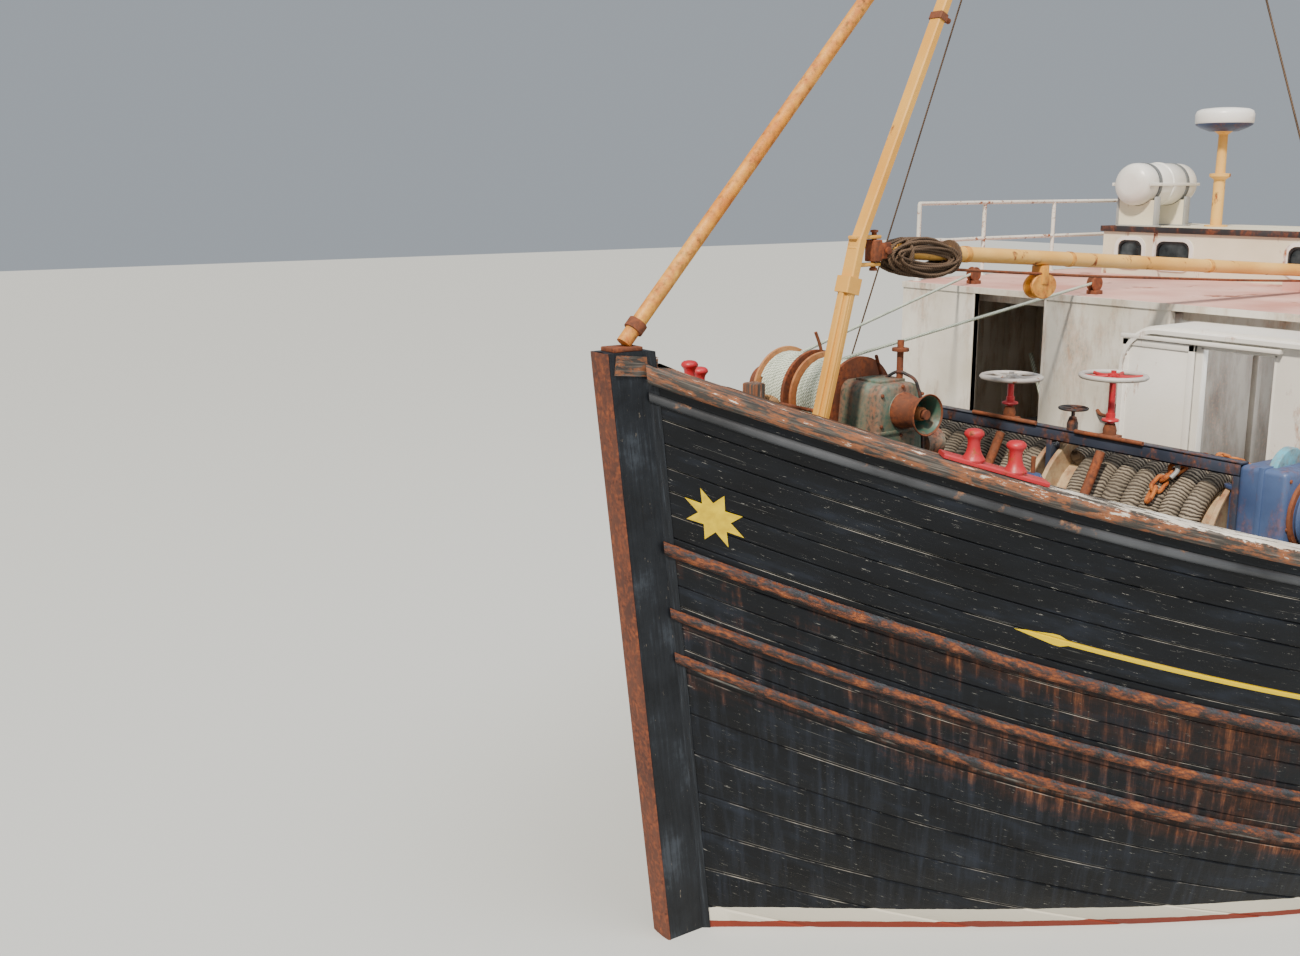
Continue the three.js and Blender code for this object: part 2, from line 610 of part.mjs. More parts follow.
function makeReels() {
  const stand = (y, thick) => sidePlate([
    [FRAME_AFT - 45, deckHeight(FRAME_AFT - 45, 0)], [FRAME_AFT - 45, FRAME_HEIGHT],
      [FRAME_AFT + 45, FRAME_HEIGHT],
    [FRAME_AFT + 60, REEL_HEIGHT + 110], [REEL_AFT + 90, REEL_HEIGHT + 100],
      [REEL_AFT + 90, REEL_HEIGHT - 100],
    [REEL_AFT + 240, deckHeight(FRAME_AFT - 45, 0)]], y, y + thick);
  const bar = block(at(FRAME_AFT - 45, -1250, FRAME_HEIGHT - 40),
    at(FRAME_AFT + 45, 1290, FRAME_HEIGHT + 40));
  const frame = [bar, stand(-1240, 40), stand(-20, 40), stand(1250, 40)];
  const reel = (width) => [[0, 0], [70, 0], [70, 14], [REEL_RADIUS, 14], [REEL_RADIUS, 40], [430, 44],
    [440, width / 2],
    [430, width - 44], [REEL_RADIUS, width - 40], [REEL_RADIUS, width - 14], [70, width - 14],
      [70, width], [0, width]];
  piece('rope_reel_starboard', 'rope', turned(reel(1168), vec(aftToX(REEL_AFT), -1194, REEL_HEIGHT), 28));
  piece('rope_reel_port', 'rope', turned(reel(1218), vec(aftToX(REEL_AFT), 26, REEL_HEIGHT), 28));
  const box = block(at(REEL_AFT - 300, 1280, REEL_HEIGHT - 100),
    at(REEL_AFT + 200, 1560, REEL_HEIGHT + 525));
  const foot = block(at(REEL_AFT - 200, 1330, deckHeight(REEL_AFT - 200, 1330)),
    at(REEL_AFT + 100, 1520, REEL_HEIGHT - 90));
  const bell = turned([[0, 0], [185, 0], [185, 60], [150, 110], [150, 170], [110, 200], [0, 200]],
    vec(aftToX(REEL_AFT - 60), 1550, REEL_HEIGHT + 270), 20);
  const guard = turned([[0, 0], [170, 0], [170, 50], [0, 50]],
    vec(aftToX(REEL_AFT - 60), 1400, REEL_HEIGHT + 450), 20);
  piece('reel_frame', 'navy', join(...frame, box, foot, bell, guard));
}

function makeHandwheel(name, y, height) {
  const rim = new THREE.TorusGeometry(190, 17, 6, 24).translate(aftToX(FRAME_AFT), y, height);
  const spokes = [0, 1, 2].map((n) => {
    const reach = vec(Math.cos((n * Math.PI) / 3), Math.sin((n * Math.PI) / 3), 0).multiplyScalar(188);
    const centre = vec(aftToX(FRAME_AFT), y, height);
    return rod(centre.clone().sub(reach), centre.clone().add(reach), 11, 6);
  });
  const stem = rod(at(FRAME_AFT, y, FRAME_HEIGHT + 40 + GAP), at(FRAME_AFT, y, height + 12), 22, 10);
  const valve = block(at(FRAME_AFT - 44, y - 50, FRAME_HEIGHT + 40 + GAP),
    at(FRAME_AFT + 44, y + 50, FRAME_HEIGHT + 130));
  piece(name, 'red', join(rim, ...spokes, stem, valve));
}

// Companion casing: a white box with rounded shoulders in front of the shelter
const WALL = 50;
const CASING_FRONT = 4300;
const SHELTER_FRONT = 4750;
const SHELTER_BACK = 9000;
const SHELTER_TOP = 3170;
const CASING_TOP = 3070;
const CASING_SIDES = [-130, 2420];
const SHOULDER = 280;

// Upright arch in (Y, Z): both feet, then the rounded shoulders
function archOutline([y0, y1], feet, top, shoulder) {
  const shape = new THREE.Shape();
  shape.moveTo(...feet[0]);
  feet.slice(1).forEach((point) => shape.lineTo(...point));
  shape.lineTo(y1, top - shoulder);
  shape.absarc(y1 - shoulder, top - shoulder, shoulder, 0, Math.PI / 2, false);
  shape.absarc(y0 + shoulder, top - shoulder, shoulder, Math.PI / 2, Math.PI, false);
  shape.closePath();
  return shape;
}

function makeCasing() {
  const [y0, y1] = CASING_SIDES;
  const rail = railHeight(CASING_FRONT - RABBET) + 13;
  const inboard = 2290;
  const ground = (y) => deckHeight(CASING_FRONT, y);
  const outline = archOutline(CASING_SIDES, [
    [y0, ground(0)], [inboard, ground(0)], [inboard, rail], [y1, rail]], CASING_TOP, SHOULDER);
  const face = crossPlate(outline, CASING_FRONT, CASING_FRONT + WALL);
  const doorway = block(at(CASING_FRONT - 20, 460, 1450), at(CASING_FRONT + WALL + 20, 960, 2960));
  piece('casing_front', 'white', cut(face, doorway));

  const deep = [CASING_FRONT + WALL + GAP, SHELTER_FRONT - GAP];
  const whole = crossPlate(archOutline(CASING_SIDES, [[y0, ground(0)], [y1, ground(0)]], CASING_TOP,
    SHOULDER), ...deep);
  const hollow = crossPlate(archOutline([y0 + WALL, y1 - WALL], [[y0 + WALL, 900], [y1 - WALL, 900]],
    CASING_TOP - WALL, SHOULDER - WALL), deep[0] - 50, deep[1] + 50);
  const overRail = block(at(deep[0] - 50, y1 - 200, 900), at(deep[1] + 50, y1 + 200, rail));
  piece('casing', 'white', cut(whole, hollow, overRail));

  // Sliding door, open, flat against the wall beside its doorway
  piece('casing_door', 'white', block(at(CASING_FRONT - 34, -100, 1440), at(CASING_FRONT - 6, 430, 2970)));
}

// Liferaft canister: radius and distance along it, lying on two chocks
const RAFT = [[0, 0], [100, 0], [165, 30], [190, 90], [190, 395], [202, 402], [202, 438], [190, 445],
  [190, 750], [165, 810], [100, 840], [0, 840]];
const RAFT_PLACE = at(7930, -2100, 3980);
const TRUNK_TOP = SHELTER_TOP + 430;

// Shelter over the foredeck
function shelterY(aft) {
  return halfBeam(aft - RABBET) - 30;
}

function makeShelter() {
  const aft = SHELTER_FRONT;
  const y = shelterY(aft);
  const inboard = halfBeam(aft - RABBET) - 210;
  const rail = railHeight(aft - RABBET) + 13;
  const ground = deckHeight(aft, 0);
  const roof = SHELTER_TOP - 40 - GAP;
  const sill = 1330;
  const [doorway, passage] = [[-1810, -1130], [-70, 2230]];
  const notch = ([low, high]) => [[high, roof], [high, sill], [low, sill], [low, roof]];
  const outline = [[-inboard, ground], [inboard, ground], [inboard, rail], [y, rail], [y, roof],
    ...notch(passage), ...notch(doorway), [-y, roof], [-y, rail], [-inboard, rail]];
  piece('shelter_front', 'white', crossPlate(outline, aft, aft + WALL));

  const places = Array.from({ length: 9 }, (_, i) => mix(aft + WALL + GAP, SHELTER_BACK, i / 8));
  [['shelter_side_port', 1], ['shelter_side_starboard', -1]].forEach(([name, side]) => {
    const rings = places.map((place) => {
      const outer = side * shelterY(place);
      const inner = outer - side * WALL;
      const low = railHeight(place - RABBET) + 8;
      return [at(place, outer, low), at(place, outer, roof), at(place, inner, roof), at(place, inner, low)];
    });
    piece(name, 'white', loft(rings));
  });
  const top = [aft, ...places.slice(1)].map((place) => {
    const half = shelterY(place);
    return [at(place, -half, SHELTER_TOP - 40), at(place, half, SHELTER_TOP - 40),
      at(place, half, SHELTER_TOP), at(place, -half, SHELTER_TOP)];
  });
  const saddle = block(at(6500, -260, SHELTER_TOP - 10), at(6580, 260, SHELTER_TOP + 84));
  piece('shelter_top', 'white', join(loft(top), saddle));
}

// Trunk with small windows on the shelter's top, and the raft's chocks on its roof
function makeTrunk() {
  const [front, back] = [7050, 8450];
  const [y0, y1] = [-2300, 300];
  const shell = block(at(front, y0, SHELTER_TOP + GAP), at(back, y1, TRUNK_TOP));
  const inside = block(at(front + 40, y0 + 40, SHELTER_TOP - 10),
    at(back - 40, y1 - 40, TRUNK_TOP - 40));
  const panes = [[-2010, 130], [-1580, 170], [-370, 170]].map(([y, half]) => block(
    at(front - 20, y - half, SHELTER_TOP + 80), at(front + 60, y + half, SHELTER_TOP + 320)));
  const chocks = [7230, 7690].map((place) => block(at(place, -2280, TRUNK_TOP - 10),
    at(place + 60, -1920, TRUNK_TOP + 240)));
  const bed = turned(RAFT.map(([r, x]) => [r + (r ? 6 : 0), x]), RAFT_PLACE, 20, 'x');
  piece('shelter_trunk', 'white', join(cut(shell, inside, ...panes), cut(join(...chocks), bed)));
}

// Deckhouse and the wheelhouse over it
const HOUSE = { front: 9020, back: 12400, half: 1450 };
const WHEELHOUSE = { front: 9400, back: 11800, half: 1300, low: SHELTER_TOP + GAP, high: 5150 };
const SILL = 4180;
const HEAD = 4760;

function makeDeckhouse() {
  const { front, back, half } = HOUSE;
  const roof = SHELTER_TOP - 40 - GAP;
  const rectangle = (y0, z0, y1, z1) => [[y0, z0], [y1, z0], [y1, z1], [y0, z1]];
  const foot = (a, b) => Math.max(deckHeight(a, 0), deckHeight(b, 0)) + 2;
  piece('deckhouse_front', 'white', crossPlate(rectangle(-half, foot(front, front + WALL), half, roof),
    front, front + WALL));
  const doorway = rectangle(-1150, 1300, -500, 2980);
  piece('deckhouse_back', 'white', crossPlate(rectangle(-half, foot(back - WALL, back), half, roof),
    back - WALL, back, [doorway]));
  [['deckhouse_port', half - WALL], ['deckhouse_starboard', -half]].forEach(([name, y]) => {
    const [a, b] = [front + WALL + GAP, back - WALL - GAP];
    const outline = [[a, deckHeight(a, half - WALL) + 6], [b, deckHeight(b, half - WALL) + 6],
      [b, roof], [a, roof]];
    piece(name, 'white', sidePlate(outline, y, y + WALL));
  });
  piece('deckhouse_top', 'white', block(at(SHELTER_BACK + GAP, -half - 120, SHELTER_TOP - 40),
    at(back + 150, half + 120, SHELTER_TOP)));
  piece('deckhouse_door', 'timber', block(at(back + 6, -1160, 1290), at(back + 40, -490, 2990)));
}

function makeWheelhouse() {
  const { front, back, half, low, high } = WHEELHOUSE;
  const pane = (a, b) => [[a, SILL], [b, SILL], [b, HEAD], [a, HEAD]];
  const wall = (a, b) => [[a, low], [b, low], [b, high], [a, high]];
  const frontPanes = [-1, -0.5, 0, 0.5, 1].map((n) => pane(n * 990 - 200, n * 990 + 200));
  piece('wheelhouse_front', 'white', crossPlate(wall(-half, half), front, front + WALL, frontPanes));
  const backPanes = [pane(-950, -350), pane(350, 950)];
  piece('wheelhouse_back', 'white', crossPlate(wall(-half, half), back - WALL, back, backPanes));
  const [a, b] = [front + WALL + GAP, back - WALL - GAP];
  const sidePanes = [pane(9560, 9960), pane(10060, 10460)];
  const doorway = [[10760, 3330], [11420, 3330], [11420, 5010], [10760, 5010]];
  piece('wheelhouse_starboard', 'white', sidePlate(wall(a, b), -half, WALL - half,
    [...sidePanes, pane(10760, 11420)]));
  piece('wheelhouse_port', 'white', sidePlate(wall(a, b), half - WALL, half, [...sidePanes, doorway]));
  piece('wheelhouse_roof', 'white', block(at(front - 160, -half - 110, high + GAP),
    at(back + 160, half + 110, high + 60)));
  piece('wheelhouse_door', 'timber', sidePlate([[10750, 3320], [11430, 3320], [11430, 5020], [10750, 5020]],
    half + 6, half + 40, [pane(10880, 11300)]));
}

// Main stays: wire ropes from a cap on the foremast, two to the rails and two over the
// goalpost's bar to the gantry
const STAY_RADIUS = 6;

function makeStays() {
  const bend = at(MAST_BEND[0], 0, MAST_BEND[1]);
  const top = at(MAST_TOP[0], 0, MAST_TOP[1]);
  const low = top.clone().lerp(bend, -0.02);
  const high = top.clone().lerp(bend, -0.028);
  const eye = low.clone().lerp(high, 0.5);
  const wires = [-1, 1].flatMap((side) => {
    const over = at(8700, side * 780, 7103);
    const clamp = rod(at(8670, side * 780, 7103), at(8730, side * 780, 7103), 10, 8);
    return [
      rod(eye.clone().add(vec(0, side * 30, 0)), over, STAY_RADIUS, 8),
      rod(over, at(15650, side * 1360, 4722), STAY_RADIUS, 8),
      rod(eye.clone().add(vec(0, side * 70, 0)), capPoint(3300, -9, side, -40), STAY_RADIUS, 8),
      clamp,
    ];
  });
  piece('main_stays', 'rust', join(rod(low, high, 78, 12), ...wires));
}

// Gear on the shelter and the house
function makeTopGear() {
  const goal = { aft: 8700, half: 1050, top: 7100 };
  const legs = [-1, 1].map((side) => rod(at(goal.aft, side * goal.half, SHELTER_TOP + GAP),
    at(goal.aft, side * goal.half * 0.86, goal.top), 70, 12, 60));
  const bars = [goal.top - 60, 5900].map((z) => rod(at(goal.aft, -goal.half, z),
    at(goal.aft, goal.half, z), 50, 10));
  piece('goalpost_mast', 'buff', join(...legs, ...bars));

  const post = rod(at(7800, -1650, TRUNK_TOP + GAP), at(7800, -1650, 4470), 45, 10);
  const dome = turned([[0, 0], [200, 0], [250, 50], [250, 130], [210, 185], [100, 202], [0, 204]],
    at(7800, -1650, 4460), 20, 'z');
  piece('radar', 'buff', join(post, dome));

  piece('liferaft_canister', 'glassfibre', turned(RAFT, RAFT_PLACE, 20, 'x'));

  const stack = join(
    rod(at(12050, 700, SHELTER_TOP + GAP), at(12050, 700, 4700), 130, 14),
    rod(at(12050, 700, 4690), at(12120, 700, 5500), 70, 12));
  piece('exhaust', 'rust', stack);
}

// White handrails round the shelter's top
function makeHandrail(name, side) {
  const places = [4900, 5900, 6900, 7900, 8880];
  const spots = places.map((aft) => at(aft, side * (shelterY(aft) - 45), SHELTER_TOP + GAP));
  const lift = (point, z) => point.clone().add(vec(0, 0, z));
  const posts = spots.map((spot) => rod(spot, lift(spot, 660), 18, 8));
  const rails = [330, 650].flatMap((z) => spots.slice(1).map((spot, i) => rod(lift(spots[i], z),
    lift(spot, z), 17, 8)));
  piece(name, 'white', join(...posts, ...rails));
}

// Working deck aft
const DRUM_AFT = 14450;
const DRUM_HEIGHT = 1950;

function makeAftDeck() {
  const stand = (y0, y1) => sidePlate([
    [DRUM_AFT - 330, deckHeight(DRUM_AFT + 330, 0) + 2], [DRUM_AFT - 110, DRUM_HEIGHT + 110],
      [DRUM_AFT + 110, DRUM_HEIGHT + 110],
    [DRUM_AFT + 330, deckHeight(DRUM_AFT + 330, 0) + 2]], y0, y1);
  const level = deckHeight(DRUM_AFT + 330, 0) + 2;
  const sill = block(at(DRUM_AFT - 330, -1130, level), at(DRUM_AFT - 230, 1130, level + 70));
  piece('net_drum_stand', 'navy', join(stand(1060, 1130), stand(-1130, -1060), sill));
  const width = 2106;
  const profile = [[0, 0], [90, 0], [90, 16], [560, 16], [560, 46], [400, 50], [430, 500], [410, 1050],
    [435, 1600],
    [400, width - 50], [560, width - 46], [560, width - 16], [90, width - 16], [90, width], [0, width]];
  piece('net_drum', 'green', turned(profile, vec(aftToX(DRUM_AFT), -width / 2, DRUM_HEIGHT), 28));

  const [f, b, w] = [12750, 13550, 450];
  const base = deckHeight(b, 0) + 2;
  const ring = cut(block(at(f, -w, base), at(b, w, 1500)),
    block(at(f + 60, 60 - w, base - 50), at(b - 60, w - 60, 1600)));
  piece('hatch_coaming', 'white', ring);
  piece('hatch_lid', 'timber', block(at(f - 20, -w - 20, 1506), at(b + 20, w + 20, 1560)));

  const gantry = { aft: 15650, half: 1720, top: 4700 };
  const feet = deckHeight(gantry.aft, gantry.half) + 14;
  const legs = [-1, 1].map((side) => rod(at(gantry.aft, side * gantry.half, feet),
    at(gantry.aft, side * (gantry.half - 350), gantry.top), 85, 12));
  const bars = [gantry.top - 60].map((z) => rod(at(gantry.aft, -gantry.half + 250, z),
    at(gantry.aft, gantry.half - 250, z), 75, 12));
  const braces = [-1, 1].map((side) => rod(at(gantry.aft, side * 1300, 3300),
    at(gantry.aft, side * 700, gantry.top - 60), 45, 10));
  const pads = [-1, 1].map((side) => block(at(gantry.aft - 110, side * gantry.half - 110, feet),
    at(gantry.aft + 110, side * gantry.half + 110, feet + 24)));
  piece('stern_gantry', 'buff', join(...legs, ...bars, ...braces, ...pads));
}

makeHull();
makeDeck();
makeBulwark('bulwark_port', 1);
makeBulwark('bulwark_starboard', -1);
makeSternBulwark();
makeCapRail('cap_rail_port', 1);
makeCapRail('cap_rail_starboard', -1);
makeSternCap();
makeStem();
makeBreasthook();
makeKeel();
makePropeller();
makeRudder();
makeMast();
makeBoom();
makeBollards('bollards_port', 1, 1150, 1580);
makeBollards('bollards_starboard', -1, 620, 1050);
makeWinch();
makeReels();
makeHandwheel('handwheel_starboard', -360, 2740);
makeHandwheel('handwheel_port', 410, 2840);
makeCasing();
makeShelter();
makeTrunk();
makeDeckhouse();
makeWheelhouse();
makeTopGear();
makeStays();
makeHandrail('handrail_port', 1);
makeHandrail('handrail_starboard', -1);
makeAftDeck();

export default boat;
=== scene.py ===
# %% [markdown]
# # A wooden-hulled fishing trawler
# The solids of the boat come first, as a fixed frame. This lesson dresses them: it
# lays smooth planking over the hull, winds the reels with rope, and gives each
# surface the paint, timber or rust that the real one shows.

# %% Load the frame
import math
import random

import bpy
import numpy as np
from mathutils import Matrix, Vector


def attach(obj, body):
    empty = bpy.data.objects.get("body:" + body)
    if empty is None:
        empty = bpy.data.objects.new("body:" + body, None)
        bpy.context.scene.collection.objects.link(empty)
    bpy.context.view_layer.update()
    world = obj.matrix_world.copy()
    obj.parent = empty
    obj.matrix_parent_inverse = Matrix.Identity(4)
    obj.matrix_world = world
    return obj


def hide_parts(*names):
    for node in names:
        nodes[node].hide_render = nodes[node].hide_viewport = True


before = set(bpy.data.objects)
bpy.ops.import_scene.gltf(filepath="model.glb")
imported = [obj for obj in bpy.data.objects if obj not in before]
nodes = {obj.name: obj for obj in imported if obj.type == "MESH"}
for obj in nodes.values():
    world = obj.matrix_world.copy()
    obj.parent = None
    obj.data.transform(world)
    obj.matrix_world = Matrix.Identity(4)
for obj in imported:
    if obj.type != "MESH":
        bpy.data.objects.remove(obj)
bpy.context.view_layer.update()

chance = random.Random(7)

# %% [markdown]
# ## Camera, light and floor
# The photograph was taken from a quay, just off the port bow, about four metres over
# the water. The camera's place and angle come from the sheer line, the rubbing
# strakes and the level edges. The floor is the water's level, because the boat floats.

# %% Camera
STEM_HEAD = 8.25  # metres forward of the boat's middle, where the stem's front is
EYE = Vector((11.5375, 5.1097, 4.0))
HEADING = math.radians(35.047)
PITCH = math.radians(11.113)
PHOTO_WIDTH = 1300  # pixels
FOCAL_PIXELS, SHIFT_PIXELS = 1280, -44.5  # the lens, as it fits the photograph
SENSOR = 36  # millimetres

lens = bpy.data.cameras.new("quay_camera")
lens.lens = FOCAL_PIXELS / PHOTO_WIDTH * SENSOR
lens.shift_y = SHIFT_PIXELS / PHOTO_WIDTH
lens.clip_end = 300
camera = bpy.data.objects.new("quay_camera", lens)
bpy.context.scene.collection.objects.link(camera)
camera.location = EYE
gaze = Vector((-math.sin(HEADING) * math.cos(PITCH), -math.cos(HEADING) * math.cos(PITCH),
               -math.sin(PITCH)))
camera.rotation_mode = "QUATERNION"
camera.rotation_quaternion = gaze.to_track_quat("-Z", "Y")
bpy.context.scene.camera = camera
print("camera looks along", [round(v, 3) for v in gaze])

# %% [markdown]
# ## Colours and nodes
# Paint colours are written as they look on a screen, so one function turns them to
# the linear values that a shader needs. One more function adds any node with its
# settings and links, which keeps each finish short enough to read.

# %% Helpers for finishes
def linear(colour):
    """Screen colour such as "#b8303a" as linear red, green, blue and alpha."""
    parts = [int(colour[i : i + 2], 16) / 255 for i in (1, 3, 5)]
    return (*[c / 12.92 if c <= 0.04045 else ((c + 0.055) / 1.055) ** 2.4 for c in parts], 1.0)


def put(tree, kind, sockets=None, stops=None, **settings):
    """Adds a node. sockets maps an input to a value, an output, or a node for its first output."""
    made = tree.nodes.new("ShaderNode" + kind)
    for name, value in settings.items():
        setattr(made, name, value)
    for key, value in (sockets or {}).items():
        if isinstance(value, bpy.types.Node):
            value = value.outputs[0]
        if isinstance(value, bpy.types.NodeSocket):
            tree.links.new(value, made.inputs[key])
        else:
            made.inputs[key].default_value = value
    for n, (place, colour) in enumerate(stops or []):
        ramp = made.color_ramp.elements
        stop = ramp[n] if n < 2 else ramp.new(place)
        stop.position = place
        stop.color = linear(colour) if isinstance(colour, str) else (colour, colour, colour, 1.0)
    return made


def new_finish(name, **sockets):
    """An empty material with one main shader: returns material, tree and shader."""
    made = bpy.data.materials.new(name)
    made.use_nodes = True
    tree = made.node_tree
    tree.nodes.clear()
    shader = put(tree, "BsdfPrincipled", {k.replace("_", " "): v for k, v in sockets.items()})
    put(tree, "OutputMaterial", {"Surface": shader})
    return made, tree, shader


# %% Floor and light
def light(name, place, target, size, power, colour):
    """A square soft light aimed at a point."""
    lamp = bpy.data.lights.new(name, "AREA")
    lamp.size = size
    lamp.energy = power
    lamp.color = linear(colour)[:3]
    held = bpy.data.objects.new(name, lamp)
    bpy.context.scene.collection.objects.link(held)
    held.location = place
    held.rotation_mode = "QUATERNION"
    held.rotation_quaternion = (Vector(target) - Vector(place)).to_track_quat("-Z", "Y")


light("sky_light", (4, 6, 16), (3, 0, 1), 12, 1500, "#f4f8ff")
light("fill_light", (18, 14, 7), (5, 0, 2), 8, 350, "#fff6ea")
light("shelter_light", (2.6, 1.2, 2.9), (3.2, -0.9, 1.9), 0.7, 30, "#eef2f6")
light("casing_light", (3.75, 1.6, 2.9), (3.7, 0.0, 2.0), 0.25, 3, "#eef2f6")

sun = bpy.data.lights.new("sun", "SUN")
sun.energy = 5.4
sun.angle = math.radians(5)
sun.color = linear("#fff4e4")[:3]
sunny = bpy.data.objects.new("sun", sun)
bpy.context.scene.collection.objects.link(sunny)
sunny.rotation_mode = "QUATERNION"
sunny.rotation_quaternion = Vector((-0.75, -0.35, -0.9)).to_track_quat("-Z", "Y")

world = bpy.data.worlds.new("overcast")
bpy.context.scene.world = world
world.use_nodes = True
world.node_tree.nodes["Background"].inputs[0].default_value = linear("#dfe8f2")
world.node_tree.nodes["Background"].inputs[1].default_value = 0.5

for lamp_name in ("shelter_light", "casing_light"):
    bpy.data.objects[lamp_name].visible_camera = False
floor_finish, tree, shader = new_finish("pale_floor", Roughness=0.9)
shader.inputs["Base Color"].default_value = linear("#c9ccca")
bpy.ops.object.select_all(action="DESELECT")
bpy.ops.mesh.primitive_plane_add(size=120, location=(0, 0, 0))
floor = bpy.context.object
floor.name = "floor"
floor.data.materials.append(floor_finish)
print("floor at the waterline, lights set")

# %% [markdown]
# ## Rusty paint
# Most of the deck gear is mild steel under brushed paint. Salt gets under the paint,
# so rust breaks out in spots and runs downwards. The finish mixes faded paint with
# rust where a noise is high, and squeezes the noise along Z so that spots turn into
# streaks.

# %% Painted steel, rusting
def painted_steel(name, paint, faded, share, spot=0.05, run=0.4, gloss=0.42,
                  bare="#8a4420", soft=0.05):
    """share is how much has rusted, spot a rust spot's size in metres, run under 1 draws it downwards."""
    made, tree, shader = new_finish(name)
    here = put(tree, "TexCoord").outputs["Object"]
    drawn = put(tree, "Mapping", {"Vector": here, "Scale": (1, 1, run)}).outputs[0]
    spots = put(tree, "TexNoise", {"Vector": drawn, "Scale": 0.5 / spot, "Detail": 9.0,
                                   "Roughness": 0.68})
    edge = 0.68 - 0.34 * share
    rusted = put(tree, "MapRange", {"Value": spots, "From Min": edge - soft / 2,
                                    "From Max": edge + soft})
    fade = put(tree, "TexNoise", {"Vector": here, "Scale": 1.7, "Detail": 5.0})
    tone = put(tree, "ValToRGB", {"Fac": fade}, [(0.35, paint), (0.68, faded)])
    grain = put(tree, "TexNoise", {"Vector": here, "Scale": 45.0, "Detail": 6.0})
    oxide = put(tree, "ValToRGB", {"Fac": grain}, [(0.32, "#3a1d13"), (0.52, bare),
                                                   (0.75, "#a0582b")])
    mixed = put(tree, "Mix", {0: rusted, 6: tone, 7: oxide}, data_type="RGBA")
    rough = put(tree, "MapRange", {"Value": rusted, "To Min": gloss, "To Max": 0.88})
    lift = put(tree, "Math", {0: spots, 1: 0.15, 2: grain}, operation="MULTIPLY_ADD")
    lump = put(tree, "Bump", {"Height": lift, "Strength": 0.35, "Distance": 0.003})
    for socket, output in (("Base Color", mixed.outputs[2]), ("Roughness", rough.outputs[0]),
                           ("Normal", lump.outputs[0])):
        tree.links.new(output, shader.inputs[socket])
    return made


ochre_post = painted_steel("ochre_gloss_paint_on_box_section", "#cf8f32", "#dca850", 0.12, 0.05, 0.4)
buff_spar = painted_steel("buff_gloss_paint_on_tube", "#d99f45", "#e6ba68", 0.2, 0.05, 0.5)
rusty_spar = painted_steel("buff_paint_heavily_rusted", "#d98d20", "#e6b456", 0.6, 0.03, 0.8,
                           bare="#b0602a", soft=0.22)
white_wall = painted_steel("white_paint_on_plate", "#e9e7e1", "#dcd8ce", 0.12, 0.12, 0.3,
                           bare="#a5622f")
stained_wall = painted_steel("old_white_paint_stained", "#dedad0", "#c3bcac", 0.3, 0.1, 0.3,
                             bare="#9a7048", soft=0.2)
pink_top = painted_steel("red_lead_walked_pale", "#c08678", "#d9b0a2", 0.22, 0.2, 1.0, 0.7,
                         bare="#8f5540")
# Grey that stands in for the shade inside the shelter: painted shade, with real rust stains
lining_painted_shade = painted_steel("stained_lining_grey_as_painted_shade", "#a29c92", "#b4aea3", 0.35, 0.12, 0.35,
                           0.85, bare="#4b3a2c", soft=0.3)
blue_frame = painted_steel("dark_blue_paint_on_channel", "#232937", "#3b4252", 0.4, 0.04, 0.6,
                           bare="#5b3624", soft=0.1)
blue_box = painted_steel("navy_enamel_on_casting", "#26365a", "#4c6088", 0.3, 0.06, 0.4,
                         bare="#6d4a3a", soft=0.15)
red_iron = painted_steel("red_enamel_on_cast_iron", "#a3141f", "#bf3038", 0.2, 0.03, 0.8)
rusty_iron = painted_steel("rusted_mild_steel", "#57301f", "#76482f", 0.55, 0.05, 0.8,
                           0.85, soft=0.25)
black_iron = painted_steel("black_paint_on_iron_band", "#1b1c1f", "#303033", 0.4, 0.05, 0.6, 0.6,
                           bare="#6d3a22", soft=0.15)
green_box = painted_steel("green_enamel_rust_streaked", "#3d6a5c", "#7c9d8e", 0.78, 0.1, 0.13,
                          bare="#7d4c3c", soft=0.22)
green_cup = painted_steel("green_enamel_in_warping_head", "#2f5145", "#5a7a68", 0.35, 0.05, 1.0,
                          bare="#6d4a38", soft=0.2)
teal_iron = painted_steel("teal_enamel_on_valve", "#2b86a6", "#6cb3c4", 0.45, 0.05, 0.8,
                          bare="#8c6c52", soft=0.2)
pale_disc = painted_steel("scuffed_pale_disc", "#a58a68", "#c6b08c", 0.4, 0.07, 1.0, 0.75, soft=0.2)
tan_flange = painted_steel("scuffed_tan_disc", "#a8683a", "#c08d5e", 0.45, 0.06, 1.0, 0.75, soft=0.25)
cream_paint = painted_steel("cream_paint_on_wheelhouse", "#e3dcc6", "#d3caaf", 0.14, 0.08, 0.3)
white_rail = painted_steel("white_paint_on_rail", "#e2dfd6", "#cfc8ba", 0.25, 0.03, 1.0,
                           bare="#8f512c")
grey_rim = painted_steel("worn_white_handwheel_rim", "#c4c0ba", "#a29d99", 0.2, 0.03, 1.0)
galvanised = painted_steel("galvanised_steel", "#8b8e8e", "#a5a7a5", 0.12, 0.04, 0.6, 0.45)
orange_chain = painted_steel("orange_rusted_chain", "#a85a22", "#c07a38", 0.5, 0.02, 1.0, 0.85)
print("painted finishes:", len(bpy.data.materials))

# %% [markdown]
# ## Hull lines
# The planking follows a sheer line that sweeps up to the bow, a plan curve that is
# full amidships, and sections that round into the bilge. The same few numbers drew
# the solids, so the smooth planking fits them everywhere.

# %% Hull lines, in metres
# Places along the hull are measured aft from the rabbet, where the planks start.
RABBET = 0.22  # from the stem head aft to the rabbet
RAKE = 0.1185  # how far the stem falls aft for each metre down
# The rail's lowest height, its height at the stem, where it is lowest, and its rise to the stern
RAIL_LOW, RAIL_AT_STEM, SHEER_LENGTH, STERN_RISE = 1.65, 3.135, 6.9, 0.33
# Where the planking ends, where the beam starts to shrink, by how much, and the transom's rake
HULL_END, RUN_START, QUARTER_TAPER, TRANSOM_RAKE = 15.8, 10.3, 0.56, 0.22
